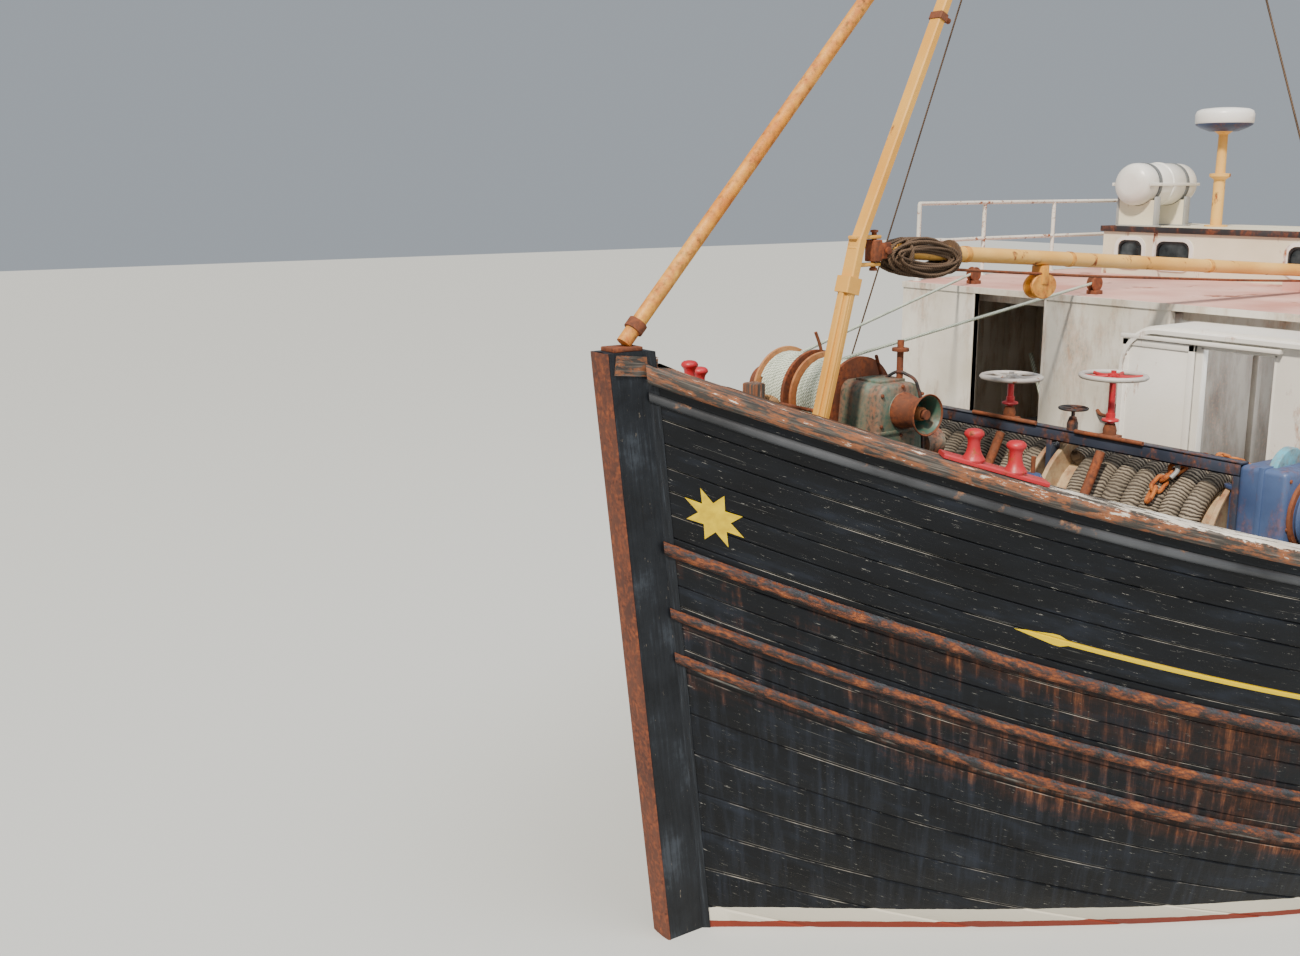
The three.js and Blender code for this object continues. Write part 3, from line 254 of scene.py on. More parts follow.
# Half of the planking's full beam, where it is reached, and how far the forefoot is cut back
HALF_BEAM, ENTRANCE, FOREFOOT = 2.834, 6.195, 1.5
# The keel line's height forward and at its lowest, where it turns up, and its height at the stern
KEEL_FORE, KEEL_AFT, TUCK_START, TUCK_HEIGHT = -1.7, -1.85, 9.8, 0.06
SIDING_STEM, SIDING_KEEL = 0.075, 0.11  # half thickness of the stem and of the keel
CAP, BULWARK, PLANK = 0.09, 0.8, 0.06  # rail's top to the first plank, bulwark, plank's thickness
# Rubbing strakes: metres under the rail, half height, and how far each one stands out
STRAKES = ((0.997, 0.036, 0.038), (1.371, 0.03, 0.03), (1.63, 0.03, 0.03))
# Powers that fill out the sections at each place, first near the rail and then in the bilge
TOPSIDE = ((0, 3.4), (6, 3.6), (11, 3.2), (15.8, 2.6))
BILGE = ((0, 1.05), (4.5, 0.8), (8, 0.55), (11, 0.62), (14, 0.85), (15.8, 0.6))


def mix(a, b, t):
    return a + (b - a) * t


def clamp(value, low=0.0, high=1.0):
    return min(max(value, low), high)


def follow(pairs, place):
    return float(np.interp(place, [p for p, _ in pairs], [v for _, v in pairs]))


def spot(aft, y, z):
    """A point given by its distance aft of the stem head."""
    return Vector((STEM_HEAD - aft, y, z))


def rail_height(s):
    """Cap rail's height, s metres aft of the rabbet."""
    if s < SHEER_LENGTH:
        return RAIL_LOW + (RAIL_AT_STEM - RAIL_LOW) * ((SHEER_LENGTH - s) / SHEER_LENGTH) ** 2
    return RAIL_LOW + STERN_RISE * ((s - SHEER_LENGTH) / (HULL_END - SHEER_LENGTH)) ** 2


def half_beam(s):
    fill = (1 - (1 - clamp(s / ENTRANCE)) ** 2) ** 1.05
    quarter = clamp((s - RUN_START) / (HULL_END - RUN_START))
    return SIDING_STEM + (HALF_BEAM - SIDING_STEM) * fill - QUARTER_TAPER * quarter**2


def keel_line(s):
    rise = clamp((s - TUCK_START) / (HULL_END - TUCK_START))
    return mix(KEEL_FORE, KEEL_AFT, clamp(s / TUCK_START)) + (TUCK_HEIGHT - KEEL_AFT) * rise**1.7


def hull_point(s, h, side, proud=0.0):
    """On the planking, h metres under the rail's top, standing proud by so much."""
    z = rail_height(s) - h
    depth = rail_height(s) - keel_line(s)
    siding = mix(SIDING_STEM, SIDING_KEEL, clamp(s / 1.5))
    full = (1 - clamp(h / depth) ** follow(TOPSIDE, s)) ** follow(BILGE, s)
    slope = (half_beam(s + 0.03) - half_beam(s)) / 0.03
    lean = math.hypot(1, slope)
    y = max(siding + (half_beam(s) - siding) * full, siding)
    forefoot = FOREFOOT * max(0.0, -z / 1.7) ** 2.4
    swept = (RAKE * h + forefoot) * clamp(1 - s / 6)
    stern = TRANSOM_RAKE * max(z, -0.2) * clamp((s - 12.8) / 3)
    return spot(s + RABBET + swept + stern - proud * slope / lean, side * (y + proud / lean), z)


def pinched(s, drop):
    """The strakes close up to the rail near the stem."""
    return drop * (1 - 0.059 * math.exp(-s / 1.5))


print("rail at the stem", rail_height(0), "and amidships", round(rail_height(8), 3))

# %% [markdown]
# ## Sheets laid by a rule
# Planking, rails and strakes are long skins. A grid primitive gives the faces and
# their map, and each of its points is then moved to where the hull's lines put it.
# The map holds metres, so a finish can count planks along it.

# %% Sheet helpers
def unpick():
    bpy.ops.object.select_all(action="DESELECT")


def pick(piece):
    """Makes one piece the only selected and the active one."""
    unpick()
    piece.select_set(True)
    bpy.context.view_layer.objects.active = piece


def outward(piece, weld=0.0):
    """Turns a piece's faces outward, and first joins the points that are closer than weld."""
    pick(piece)
    bpy.ops.object.mode_set(mode="EDIT")
    bpy.ops.mesh.select_all(action="SELECT")
    if weld:
        bpy.ops.mesh.remove_doubles(threshold=weld)
    bpy.ops.mesh.normals_make_consistent(inside=False)
    bpy.ops.object.mode_set(mode="OBJECT")


def flat_face(corners):
    """One face through the corners, in their order."""
    unpick()
    bpy.ops.mesh.primitive_circle_add(vertices=len(corners), radius=1, fill_type="NGON")
    piece = bpy.context.object
    for vertex, corner in zip(piece.data.vertices, corners):
        vertex.co = corner
    return piece


def sheet(name, columns, rows, where, map_at, close=False, marks=None):
    """A grid whose point (u, v) goes to where(u, v); close joins its two long edges."""
    unpick()
    bpy.ops.mesh.primitive_grid_add(x_subdivisions=columns, y_subdivisions=rows, size=2)
    piece = bpy.context.object
    piece.name = name
    flat = [((v.co.x + 1) / 2, (v.co.y + 1) / 2) for v in piece.data.vertices]
    charted = [map_at(u, v) for u, v in flat]
    for vertex, (u, v) in zip(piece.data.vertices, flat):
        vertex.co = where(u, v)
    chart = piece.data.uv_layers.active.data
    for loop in piece.data.loops:
        chart[loop.index].uv = charted[loop.vertex_index]
    for label, rule in (marks or {}).items():
        layer = piece.data.attributes.new(label, "FLOAT", "POINT")
        layer.data.foreach_set("value", [rule(u, v) for u, v in flat])
    if close:
        bpy.ops.object.mode_set(mode="EDIT")
        bpy.ops.mesh.select_all(action="SELECT")
        bpy.ops.mesh.remove_doubles(threshold=1e-5)
        bpy.ops.mesh.select_all(action="DESELECT")
        bpy.ops.mesh.select_non_manifold()
        bpy.ops.mesh.edge_face_add()
        bpy.ops.mesh.select_all(action="SELECT")
        bpy.ops.mesh.normals_make_consistent(inside=False)
        bpy.ops.object.mode_set(mode="OBJECT")
    return piece


def modify(piece, kind, **settings):
    """Adds one modifier and applies it."""
    pick(piece)
    extra = piece.modifiers.new(kind.lower(), kind)
    for name, value in settings.items():
        setattr(extra, name, value)
    bpy.ops.object.modifier_apply(modifier=extra.name)
    return piece


def one_piece(parts, name):
    """Joins several meshes into one."""
    unpick()
    for part in parts:
        part.select_set(True)
    bpy.context.view_layer.objects.active = parts[0]
    bpy.ops.object.join()
    parts[0].name = name
    return parts[0]


def dress(piece, body, finish, smooth=35, name=None, stands_for=()):
    """Puts a finished piece's place in its mesh, gives it its finish, and hangs it on its body."""
    pick(piece)
    bpy.ops.object.transform_apply(location=True, rotation=True, scale=True)
    if smooth:
        bpy.ops.object.shade_smooth_by_angle(angle=math.radians(smooth))
    if name:
        piece.name = name
    if finish:
        piece.data.materials.clear()
        piece.data.materials.append(finish)
    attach(piece, body)
    if stands_for:
        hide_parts(*stands_for)
    return piece


def triangles(piece):
    piece.data.calc_loop_triangles()
    return len(piece.data.loop_triangles)


# %% [markdown]
# ## Tubes, turned pieces and boxes
# Most deck gear is tube, casting or plate. A tube is a ring swept along a path, a
# turned piece is a profile spun about an axis, and a box is a cube whose edges are
# rounded, because real edges catch the light.

# %% Shapes for the deck gear
def sweep(name, path, ring):
    """Sweeps a closed ring of (across, up) offsets along a path without twisting it."""
    ways = [(path[min(n + 1, len(path) - 1)] - path[max(n - 1, 0)]).normalized()
            for n in range(len(path))]
    up = Vector((0, 0, 1)) if abs(ways[0].z) < 0.9 else Vector((1, 0, 0))
    frames, gone, run = [], 0.0, [0.0]
    for n, way in enumerate(ways):
        up = (up - way * up.dot(way)).normalized()
        frames.append((way.cross(up), up))
        if n:
            gone += (path[n] - path[n - 1]).length
            run.append(gone)
    girth = [0.0]
    for (a0, b0), (a1, b1) in zip(ring, ring[1:] + ring[:1]):
        girth.append(girth[-1] + math.hypot(a1 - a0, b1 - b0))

    def where(u, v):
        n = round(u * (len(path) - 1))
        a, b = ring[round(v * len(ring)) % len(ring)]
        across, rise = frames[n]
        return path[n] + across * a + rise * b

    def chart(u, v):
        return run[round(u * (len(path) - 1))], girth[round(v * len(ring))]

    return sheet(name, len(path) - 1, len(ring), where, chart, close=True)


def disc(radius, sides=12):
    """Ring of offsets for a round tube."""
    return [(radius * math.cos(2 * math.pi * n / sides), radius * math.sin(2 * math.pi * n / sides))
            for n in range(sides)]


def tube(name, points, radius, sides=12, bend=0.0):
    """Round tube through points; bend rounds the corners off by so many metres."""
    points = [Vector(point) for point in points]
    path = [points[0]]
    for before, here, after in zip(points, points[1:], points[2:]):
        if not bend:
            path.append(here)
            continue
        back = here + (before - here).normalized() * bend
        ahead = here + (after - here).normalized() * bend
        path += [back.lerp(here, t).lerp(here.lerp(ahead, t), t) for t in (0, 0.2, 0.4, 0.6, 0.8, 1)]
    path.append(points[-1])
    return sweep(name, path, disc(radius, sides))


AXES = {"x": Matrix(((0, 0, 1), (1, 0, 0), (0, 1, 0))),
        "y": Matrix(((0, 1, 0), (0, 0, 1), (1, 0, 0))), "z": Matrix.Identity(3)}


def turned(name, profile, origin, axis="z", sides=32):
    """Spins a profile of (radius, distance along) about an axis through origin."""
    if isinstance(axis, str):
        turn = AXES[axis]
    else:
        turn = Vector((0, 0, 1)).rotation_difference(axis).to_matrix()
    last = len(profile) - 1
    length = [0.0]
    for (r0, d0), (r1, d1) in zip(profile, profile[1:]):
        length.append(length[-1] + math.hypot(r1 - r0, d1 - d0))
    widest = max(r for r, _ in profile)

    def where(u, v):
        r, d = profile[round(v * last)]
        angle = 2 * math.pi * u
        return Vector(origin) + turn @ Vector((r * math.cos(angle), r * math.sin(angle), d))

    def chart(u, v):
        return u * 2 * math.pi * widest, length[round(v * last)]

    return sheet(name, sides, last, where, chart, close=True)


def box(name, low, high, round_off=0.005, segments=2, turn=0.0):
    """A cube set between two corners with its edges rounded; turn leans it about Y."""
    low, high = Vector(low), Vector(high)
    unpick()
    bpy.ops.mesh.primitive_cube_add(size=1, location=(low + high) / 2, rotation=(0, turn, 0))
    piece = bpy.context.object
    piece.name = name
    piece.scale = [abs(d) for d in high - low]
    bpy.ops.object.transform_apply(location=True, rotation=True, scale=True)
    if round_off:
        modify(piece, "BEVEL", width=round_off, segments=segments)
    return piece


def bolt_heads(name, places, way, radius=0.012, depth=0.01):
    """Small rounded heads standing on places along a direction."""
    heads = []
    profile = [(radius, -0.004), (radius, depth * 0.6), (radius * 0.6, depth), (0.0, depth)]
    for place in places:
        heads.append(turned(name, profile, place, Vector(way).normalized(), 6))
    return one_piece(heads, name)


def helix(centre, radius, pitch, turns, steps=36, wander=0.0, start=0.0):
    """Path wound about an axis along Y, each turn a little off its place."""
    path = []
    shifts = [chance.uniform(-wander, wander) for _ in range(int(turns * 5) + 3)]
    for n in range(int(turns * steps) + 1):
        angle = start + 2 * math.pi * n / steps
        at = n / steps * 5
        drift = mix(shifts[int(at)], shifts[int(at) + 1], at % 1)
        r = radius + 0.6 * drift
        path.append(Vector(centre) + Vector((r * math.cos(angle), pitch * n / steps + drift,
                                             r * math.sin(angle))))
    return path


# %% [markdown]
# ## Planking paint
# The hull is larch planks with caulked seams under many coats of gloss black. The
# seams show as fine dark lines, filler shows pale where the paint has cracked, ropes
# have left long scratches, and rust runs down from the iron on the rubbing strakes. A
# yellow cove line with a leaf-shaped point is painted below the moulding. Near the
# water come a narrow off-white boot-top and red-brown underwater paint.

# %% Black planking finish
COVE = 0.8  # metres from the rail's top down to the middle of the yellow line
COVE_START = 1.43  # metres aft of the rabbet

black_planking, tree, shader = new_finish("gloss_black_paint_on_larch_planks")
chart = put(tree, "UVMap").outputs[0]
here = put(tree, "TexCoord").outputs["Object"]
along = put(tree, "SeparateXYZ", {0: chart})
high = put(tree, "SeparateXYZ", {0: here}).outputs[2]
seam = put(tree, "Attribute", attribute_name="seam").outputs["Fac"]
weep = put(tree, "Attribute", attribute_name="weep").outputs["Fac"]

# Paint: blue-black, a little bluer where it has chalked, with faint streaks down it
patch_map = put(tree, "Mapping", {"Vector": chart, "Scale": (1.2, 4.0, 1)}).outputs[0]
patches = put(tree, "TexNoise", {"Vector": patch_map, "Scale": 1.6, "Detail": 8.0, "Roughness": 0.62})
paint = put(tree, "ValToRGB", {"Fac": patches}, [(0.33, "#08090c"), (0.55, "#0f1217"),
                                                 (0.78, "#232934")])
run_map = put(tree, "Mapping", {"Vector": chart, "Scale": (15.0, 1.3, 1)}).outputs[0]
runs = put(tree, "TexNoise", {"Vector": run_map, "Scale": 1.6, "Detail": 7.0, "Roughness": 0.66})
low_down = put(tree, "MapRange", {"Value": along.outputs[1], "From Min": 1.0, "From Max": 1.6})
streak = put(tree, "MapRange", {"Value": runs, "From Min": 0.48, "From Max": 0.75, "To Max": 0.6})
washed = put(tree, "Math", {0: low_down, 1: streak}, operation="MULTIPLY")
streaked = put(tree, "Mix", {0: washed, 6: paint, 7: linear("#2b313d")}, data_type="RGBA")

# Rope scratches: long thin pale lines, in some places only
line_map = put(tree, "Mapping", {"Vector": chart, "Rotation": (0, 0, 0.035),
                                 "Scale": (0.9, 60.0, 1)}).outputs[0]
lines = put(tree, "TexNoise", {"Vector": line_map, "Scale": 1.5, "Detail": 10.0, "Roughness": 0.74})
scratched = put(tree, "MapRange", {"Value": lines, "From Min": 0.63, "From Max": 0.72,
                                   "To Max": 0.75})
scuffed = put(tree, "Mix", {0: scratched, 6: streaked.outputs[2], 7: linear("#94948f")},
              data_type="RGBA")
fleck_map = put(tree, "Mapping", {"Vector": chart, "Scale": (8.0, 46.0, 1)}).outputs[0]
flecks = put(tree, "TexNoise", {"Vector": fleck_map, "Scale": 1.6, "Detail": 6.0, "Roughness": 0.8})
flecked = put(tree, "MapRange", {"Value": flecks, "From Min": 0.62, "From Max": 0.67, "To Max": 0.75})
specked = put(tree, "Mix", {0: flecked, 6: scuffed.outputs[2], 7: linear("#a3a29b")},
              data_type="RGBA")

# Rust that runs down from the strakes, in fine streaks and cloudy patches
blot_map = put(tree, "Mapping", {"Vector": chart, "Scale": (1.3, 2.6, 1)}).outputs[0]
blots = put(tree, "TexNoise", {"Vector": blot_map, "Scale": 1.7, "Detail": 10.0, "Roughness": 0.7})
either = put(tree, "Math", {0: runs, 1: 0.34, 2: blots}, operation="MULTIPLY_ADD")
need = put(tree, "Math", {0: weep, 1: -0.48, 2: 0.92}, operation="MULTIPLY_ADD")
excess = put(tree, "Math", {0: either, 1: need}, operation="SUBTRACT")
rusted = put(tree, "MapRange", {"Value": excess, "From Max": 0.34, "To Max": 0.9})
mottle = put(tree, "TexNoise", {"Vector": chart, "Scale": 16.0, "Detail": 10.0, "Roughness": 0.75})
shade = put(tree, "Math", {0: mottle, 1: 0.7, 2: streak}, operation="MULTIPLY_ADD")
oxide = put(tree, "ValToRGB", {"Fac": shade}, [(0.25, "#1a1411"), (0.45, "#43291d"),
                                               (0.65, "#6d4129"), (0.95, "#a56b42")])
weathered = put(tree, "Mix", {0: rusted, 6: specked.outputs[2], 7: oxide}, data_type="RGBA")

# Seams: black in the groove, with pale edges where the paint has cracked beside it
filler_map = put(tree, "Mapping", {"Vector": chart, "Scale": (0.8, 3.0, 1)}).outputs[0]
filler = put(tree, "TexNoise", {"Vector": filler_map, "Scale": 2.0, "Detail": 9.0, "Roughness": 0.7})
bared = put(tree, "MapRange", {"Value": filler, "From Min": 0.5, "From Max": 0.62, "To Max": 0.95})
seam_edge = put(tree, "ValToRGB", {"Fac": seam}, [(0.2, 0.0), (0.34, 1.0), (0.46, 1.0), (0.62, 0.0)])
pale = put(tree, "Math", {0: seam_edge, 1: bared}, operation="MULTIPLY")
edged = put(tree, "Mix", {0: pale, 6: weathered.outputs[2], 7: linear("#a39f96")}, data_type="RGBA")
pit = put(tree, "MapRange", {"Value": seam, "From Min": 0.6, "From Max": 0.95})
seamed = put(tree, "Mix", {0: pit, 6: edged.outputs[2], 7: linear("#050506")}, data_type="RGBA")

# Yellow cove line: its half-width grows from nothing and shrinks again over the leaf
past = put(tree, "Math", {0: along, 1: COVE_START}, operation="SUBTRACT")
leaf = put(tree, "ValToRGB", {"Fac": past}, [(0.0, 0.0), (0.17, 0.19), (0.2, 0.19), (0.235, 0.09)])
half = put(tree, "Math", {0: leaf, 1: 0.16}, operation="MULTIPLY")
away = put(tree, "Math", {0: along.outputs[1], 1: COVE}, operation="SUBTRACT")
apart = put(tree, "Math", {0: away}, operation="ABSOLUTE")
inside = put(tree, "Math", {0: apart, 1: half}, operation="LESS_THAN")
worn = put(tree, "Math", {0: scratched, 1: 0.5}, operation="LESS_THAN")
drawn = put(tree, "Math", {0: inside, 1: worn}, operation="MULTIPLY")
striped = put(tree, "Mix", {0: drawn, 6: seamed.outputs[2], 7: linear("#d6b900")}, data_type="RGBA")

# Boot-top and underwater paint, by height
ripple = put(tree, "Math", {0: patches, 1: 0.03, 2: high}, operation="MULTIPLY_ADD")
boot = put(tree, "Math", {0: ripple, 1: 0.14}, operation="LESS_THAN")
booted = put(tree, "Mix", {0: boot, 6: striped.outputs[2], 7: linear("#cfcabb")}, data_type="RGBA")
under = put(tree, "Math", {0: ripple, 1: 0.055}, operation="LESS_THAN")
coated = put(tree, "Mix", {0: under, 6: booted.outputs[2], 7: linear("#7d3426")}, data_type="RGBA")

rough = put(tree, "MapRange", {"Value": patches, "From Min": 0.35, "From Max": 0.7, "To Min": 0.3,
                               "To Max": 0.55})
rougher = put(tree, "Math", {0: rusted, 1: 0.45, 2: rough}, operation="MULTIPLY_ADD")
swell = put(tree, "Math", {0: lines, 1: 0.6, 2: mottle}, operation="MULTIPLY_ADD")
relief = put(tree, "Bump", {"Height": swell, "Strength": 0.35, "Distance": 0.006})
for socket, output in (("Base Color", coated.outputs[2]), ("Roughness", rougher.outputs[0]),
                       ("Normal", relief.outputs[0])):
    tree.links.new(output, shader.inputs[socket])
shader.inputs["Specular IOR Level"].default_value = 0.22
print("planking paint has", len(tree.nodes), "nodes")

# %% [markdown]
# ## Planking
# Each plank is four rows of the grid: its two edges, and a shallow groove where the
# seam is. Above the lowest strake the planks run parallel to the rail; below it they
# share out the height down to the keel. A solidify modifier then gives the shell the
# thickness of a plank, which also makes the inside of the bulwarks.

# %% Rows of planks
TOP_EDGES = (0.09, 0.15, 0.27, 0.40, 0.53, 0.66, 0.79, 0.92, 1.06, 1.19, 1.31, 1.44, 1.56, 1.70)
UNDER_PLANKS = 14
GROOVE = 0.007  # half the seam's width; a real one is 3 mm, too fine to show
GROOVE_DEPTH = 0.006
STATIONS = 150

rows = []  # (depth as a metre figure above, or share of the lower part, groove)
for edge in TOP_EDGES[:-1]:
    rows += [(edge - GROOVE, 0), (edge, 1), (edge + GROOVE, 0)]
rows[0] = (TOP_EDGES[0], 0)
del rows[1:3]
for n in range(UNDER_PLANKS):
    rows += [(TOP_EDGES[-1] + n - 0.05, 0), (TOP_EDGES[-1] + n, 1), (TOP_EDGES[-1] + n + 0.05, 0)]
rows.append((TOP_EDGES[-1] + UNDER_PLANKS, 0))
LAST = TOP_EDGES[-1]


def row_depth(s, mark):
    """Depth under the rail of a row: metres as far as LAST, then shares of the rest."""
    if mark <= LAST:
        return pinched(s, mark)
    depth = rail_height(s) - keel_line(s)
    return mix(pinched(s, LAST), depth, (mark - LAST) / UNDER_PLANKS)


def station(u):
    """Distance aft for a share of the way; the stations stand closer at the bow."""
    return HULL_END * u**1.35


def row_of(v):
    """Row and side for a place round the section, from the port rail to the starboard one."""
    step = round(v * (2 * len(rows) - 1))
    return (rows[step], 1) if step < len(rows) else (rows[2 * len(rows) - 1 - step], -1)


def plank_spot(u, v):
    (mark, groove), side = row_of(v)
    s = station(u)
    return hull_point(s, row_depth(s, mark), side, -GROOVE_DEPTH * groove)


def plank_map(u, v):
    (mark, _), _ = row_of(v)
    s = station(u)
    return (s, mark if mark <= LAST else row_depth(s, mark) / (1 - 0.059 * math.exp(-s / 1.5)))


def weeping(u, v):
    """How much rust comes down here: most just under each strake, and further aft."""
    s = station(u)
    h = plank_map(u, v)[1]
    total = 0.0
    for drop, _, _ in STRAKES:
        below = h - drop
        if -0.02 < below:
            total += math.exp(-max(below, 0) / 0.16)
    between = 0.45 if 0.95 < h < 1.75 else 0.0
    return clamp((total * 0.75 + between) * mix(0.55, 1.2, clamp(s / 3.5)))


planking = sheet("hull_planking", STATIONS, 2 * len(rows) - 1, plank_spot, plank_map,
                 marks={"seam": lambda u, v: row_of(v)[0][1], "weep": weeping})
inner_paint = painted_steel("grey_paint_on_bulwark_inside", "#8f918c", "#b3b2a8", 0.16, 0.08, 0.5,
                            0.6, bare="#5b4a3a")
for finish in (black_planking, inner_paint):
    planking.data.materials.append(finish)
bpy.ops.object.mode_set(mode="EDIT")
bpy.ops.mesh.select_all(action="SELECT")
if planking.data.polygons[0].normal.y < 0:
    bpy.ops.mesh.flip_normals()
bpy.ops.object.mode_set(mode="OBJECT")
modify(planking, "SOLIDIFY", thickness=PLANK, offset=-1.0, material_offset=1)
print("planks a side:", len(TOP_EDGES) - 1 + UNDER_PLANKS, "triangles:", triangles(planking))

# %% [markdown]
# ## Freeing ports
# Water that comes over the rail has to run off again, so the bulwarks have slots at
# deck level. They are cut through the planking with one set of boxes and a boolean.

# %% Cut the freeing ports
FREEING_PORTS = (5.2, 7.0, 8.8, 10.6, 12.4, 14.2)  # metres aft of the stem head

cutters = []
for aft in FREEING_PORTS:
    z = rail_height(aft - RABBET) - BULWARK + 0.05 + 0.06
    bpy.ops.mesh.primitive_cube_add(size=1, location=spot(aft + 0.26, 0, z + 0.075))
    bpy.context.object.scale = (0.52, 6.4, 0.15)
    cutters.append(bpy.context.object)
slots_cutter = one_piece(cutters, "slots_cutter")
bpy.ops.object.transform_apply(location=True, rotation=True, scale=True)
modify(planking, "BOOLEAN", object=slots_cutter, operation="DIFFERENCE", solver="EXACT")
bpy.data.objects.remove(slots_cutter)
dress(planking, "boat", None, 30,
      stands_for=("hull", "bulwark_port", "bulwark_starboard"))
print("planking with ports:", triangles(planking), "triangles")

# %% [markdown]
# ## Bands along the sheer
# Rubbing strakes, the half-round moulding and the cap rail are all long sections that
# follow the sheer. One function sweeps a section, listed as depth and how proud, from
# the stem to the stern.

# %% Sweep a section along the sheer
def along_sheer(name, side, section, pinch=True, least=0.0):
    """section: closed list of (depth under the rail, proud of the planking)."""
    lengths = [0.0]
    ring = section + [section[0]]
    for (h0, o0), (h1, o1) in zip(ring, ring[1:]):
        lengths.append(lengths[-1] + math.hypot(h1 - h0, o1 - o0))

    def where(u, v):
        s = station(u)
        h, out = ring[round(v * len(section))]
        if pinch:
            middle = sum(h for h, _ in section) / len(section)
            h = pinched(s, middle) + h - middle
        point = hull_point(s, h, side, out)
        if least and abs(point.y) < least:
            point.y = side * least
        return point

    def chart(u, v):
        return station(u), lengths[round(v * len(section))]

    return sheet(name, STATIONS, len(section), where, chart, close=True)


def half_round(drop, half, proud, parts=8):
    """A half-round bar's section, flat side let 8 mm into the planking."""
    arc = [(drop - half * math.cos(math.pi * n / parts), proud * math.sin(math.pi * n / parts))
           for n in range(parts + 1)]
    return arc + [(drop + half, -0.008), (drop - half, -0.008)]


# %% Strakes and moulding
strake_iron, tree, shader = new_finish("black_paint_flaking_off_iron_band_painted_top_highlight")
chart = put(tree, "UVMap").outputs[0]
long_map = put(tree, "Mapping", {"Vector": chart, "Scale": (6.5, 13.0, 1)}).outputs[0]
flakes = put(tree, "TexNoise", {"Vector": long_map, "Scale": 1.5, "Detail": 12.0, "Roughness": 0.78})
fine = put(tree, "TexNoise", {"Vector": chart, "Scale": 70.0, "Detail": 8.0, "Roughness": 0.7})
tone = put(tree, "ValToRGB", {"Fac": flakes}, [(0.32, "#b97743"), (0.42, "#98542b"),
                                               (0.49, "#5c3220"), (0.54, "#211d1c"),
                                               (0.63, "#121317"), (0.72, "#3e444d")])
pitted = put(tree, "Math", {0: flakes, 1: 2.2, 2: fine}, operation="MULTIPLY_ADD")
lump = put(tree, "Bump", {"Height": pitted, "Strength": 0.9, "Distance": 0.012})
# Upward faces where the black paint is kept get a pale blue-grey painted highlight, broken up by fine
# noise
up = put(tree, "SeparateXYZ", {0: put(tree, "NewGeometry").outputs["Normal"]}).outputs[2]
lifted = put(tree, "MapRange", {"Value": up, "From Min": 0.1, "From Max": 0.75})
highlight_speckle = put(tree, "MapRange", {"Value": fine, "From Min": 0.35, "From Max": 0.6, "To Max": 0.75})
kept = put(tree, "MapRange", {"Value": flakes, "From Min": 0.46, "From Max": 0.54})
highlight_where = put(tree, "Math", {0: lifted, 1: kept}, operation="MULTIPLY")
painted_highlight = put(tree, "Math", {0: highlight_where, 1: highlight_speckle}, operation="MULTIPLY")
highlighted = put(tree, "Mix", {0: painted_highlight, 6: tone, 7: linear("#59616b")}, data_type="RGBA")
tree.links.new(highlighted.outputs[2], shader.inputs["Base Color"])
tree.links.new(lump.outputs[0], shader.inputs["Normal"])
shader.inputs["Roughness"].default_value = 0.5

for number, (drop, half, proud) in enumerate(STRAKES, 1):
    sides = [along_sheer("strake", side, half_round(drop, half, proud)) for side in (1, -1)]
    dress(one_piece(sides, f"rubbing_strake_{number}"), "boat", strake_iron, 50)

moulding_paint = painted_steel("black_paint_on_oak_moulding", "#202226", "#4c4f54", 0.2, 0.08, 1.0,
                               0.5, bare="#8c6a50")
sides = [along_sheer("moulding", side, half_round(0.172, 0.026, 0.022)) for side in (1, -1)]
dress(one_piece(sides, "sheer_moulding"), "boat", moulding_paint, 50)
print("strakes and moulding swept")

# %% [markdown]
# ## Cap rail
# The cap rail is a broad plank along the top of the bulwarks. Forward it is bare and
# grey, with tar and scraps of old paint. Further aft its top still has thick white
# paint, which flakes off over orange primer at the edges.

# %% Cap rail's finish
rail_timber, tree, shader = new_finish("weathered_timber_under_flaking_paint")
chart = put(tree, "UVMap").outputs[0]
along = put(tree, "SeparateXYZ", {0: chart})
up = put(tree, "SeparateXYZ", {0: put(tree, "NewGeometry").outputs["Normal"]}).outputs[2]
grain_map = put(tree, "Mapping", {"Vector": chart, "Scale": (1.6, 38.0, 1)}).outputs[0]
grain = put(tree, "TexNoise", {"Vector": grain_map, "Scale": 2.0, "Detail": 9.0, "Roughness": 0.7})
wood = put(tree, "ValToRGB", {"Fac": grain}, [(0.3, "#16161a"), (0.5, "#3b3732"), (0.62, "#69615a"),
                                              (0.75, "#8b8279")])
flake_map = put(tree, "Mapping", {"Vector": chart, "Scale": (4.0, 13.0, 1)}).outputs[0]
flakes = put(tree, "TexNoise", {"Vector": flake_map, "Scale": 1.7, "Detail": 12.0, "Roughness": 0.72})
primer_at = put(tree, "MapRange", {"Value": flakes, "From Min": 0.48, "From Max": 0.56})
primed = put(tree, "Mix", {0: primer_at, 6: wood, 7: linear("#8a5433")}, data_type="RGBA")
further = put(tree, "MapRange", {"Value": along, "From Min": 0.9, "From Max": 2.3, "To Max": 0.17})
facing = put(tree, "MapRange", {"Value": up, "From Min": 0.2, "From Max": 0.85})
kept = put(tree, "Math", {0: further, 1: facing}, operation="MULTIPLY")
reach = put(tree, "Math", {0: flakes, 1: kept}, operation="ADD")
white_at = put(tree, "MapRange", {"Value": reach, "From Min": 0.6, "From Max": 0.625})
patch = put(tree, "TexNoise", {"Vector": chart, "Scale": 5.0, "Detail": 4.0})
white = put(tree, "ValToRGB", {"Fac": patch}, [(0.35, "#bfb3a2"), (0.6, "#e6e0d3")])
painted = put(tree, "Mix", {0: white_at, 6: primed.outputs[2], 7: white}, data_type="RGBA")
height = put(tree, "Math", {0: white_at, 1: 0.5, 2: grain}, operation="MULTIPLY_ADD")
relief = put(tree, "Bump", {"Height": height, "Strength": 0.5, "Distance": 0.004})
tree.links.new(painted.outputs[2], shader.inputs["Base Color"])
tree.links.new(relief.outputs[0], shader.inputs["Normal"])
shader.inputs["Roughness"].default_value = 0.72

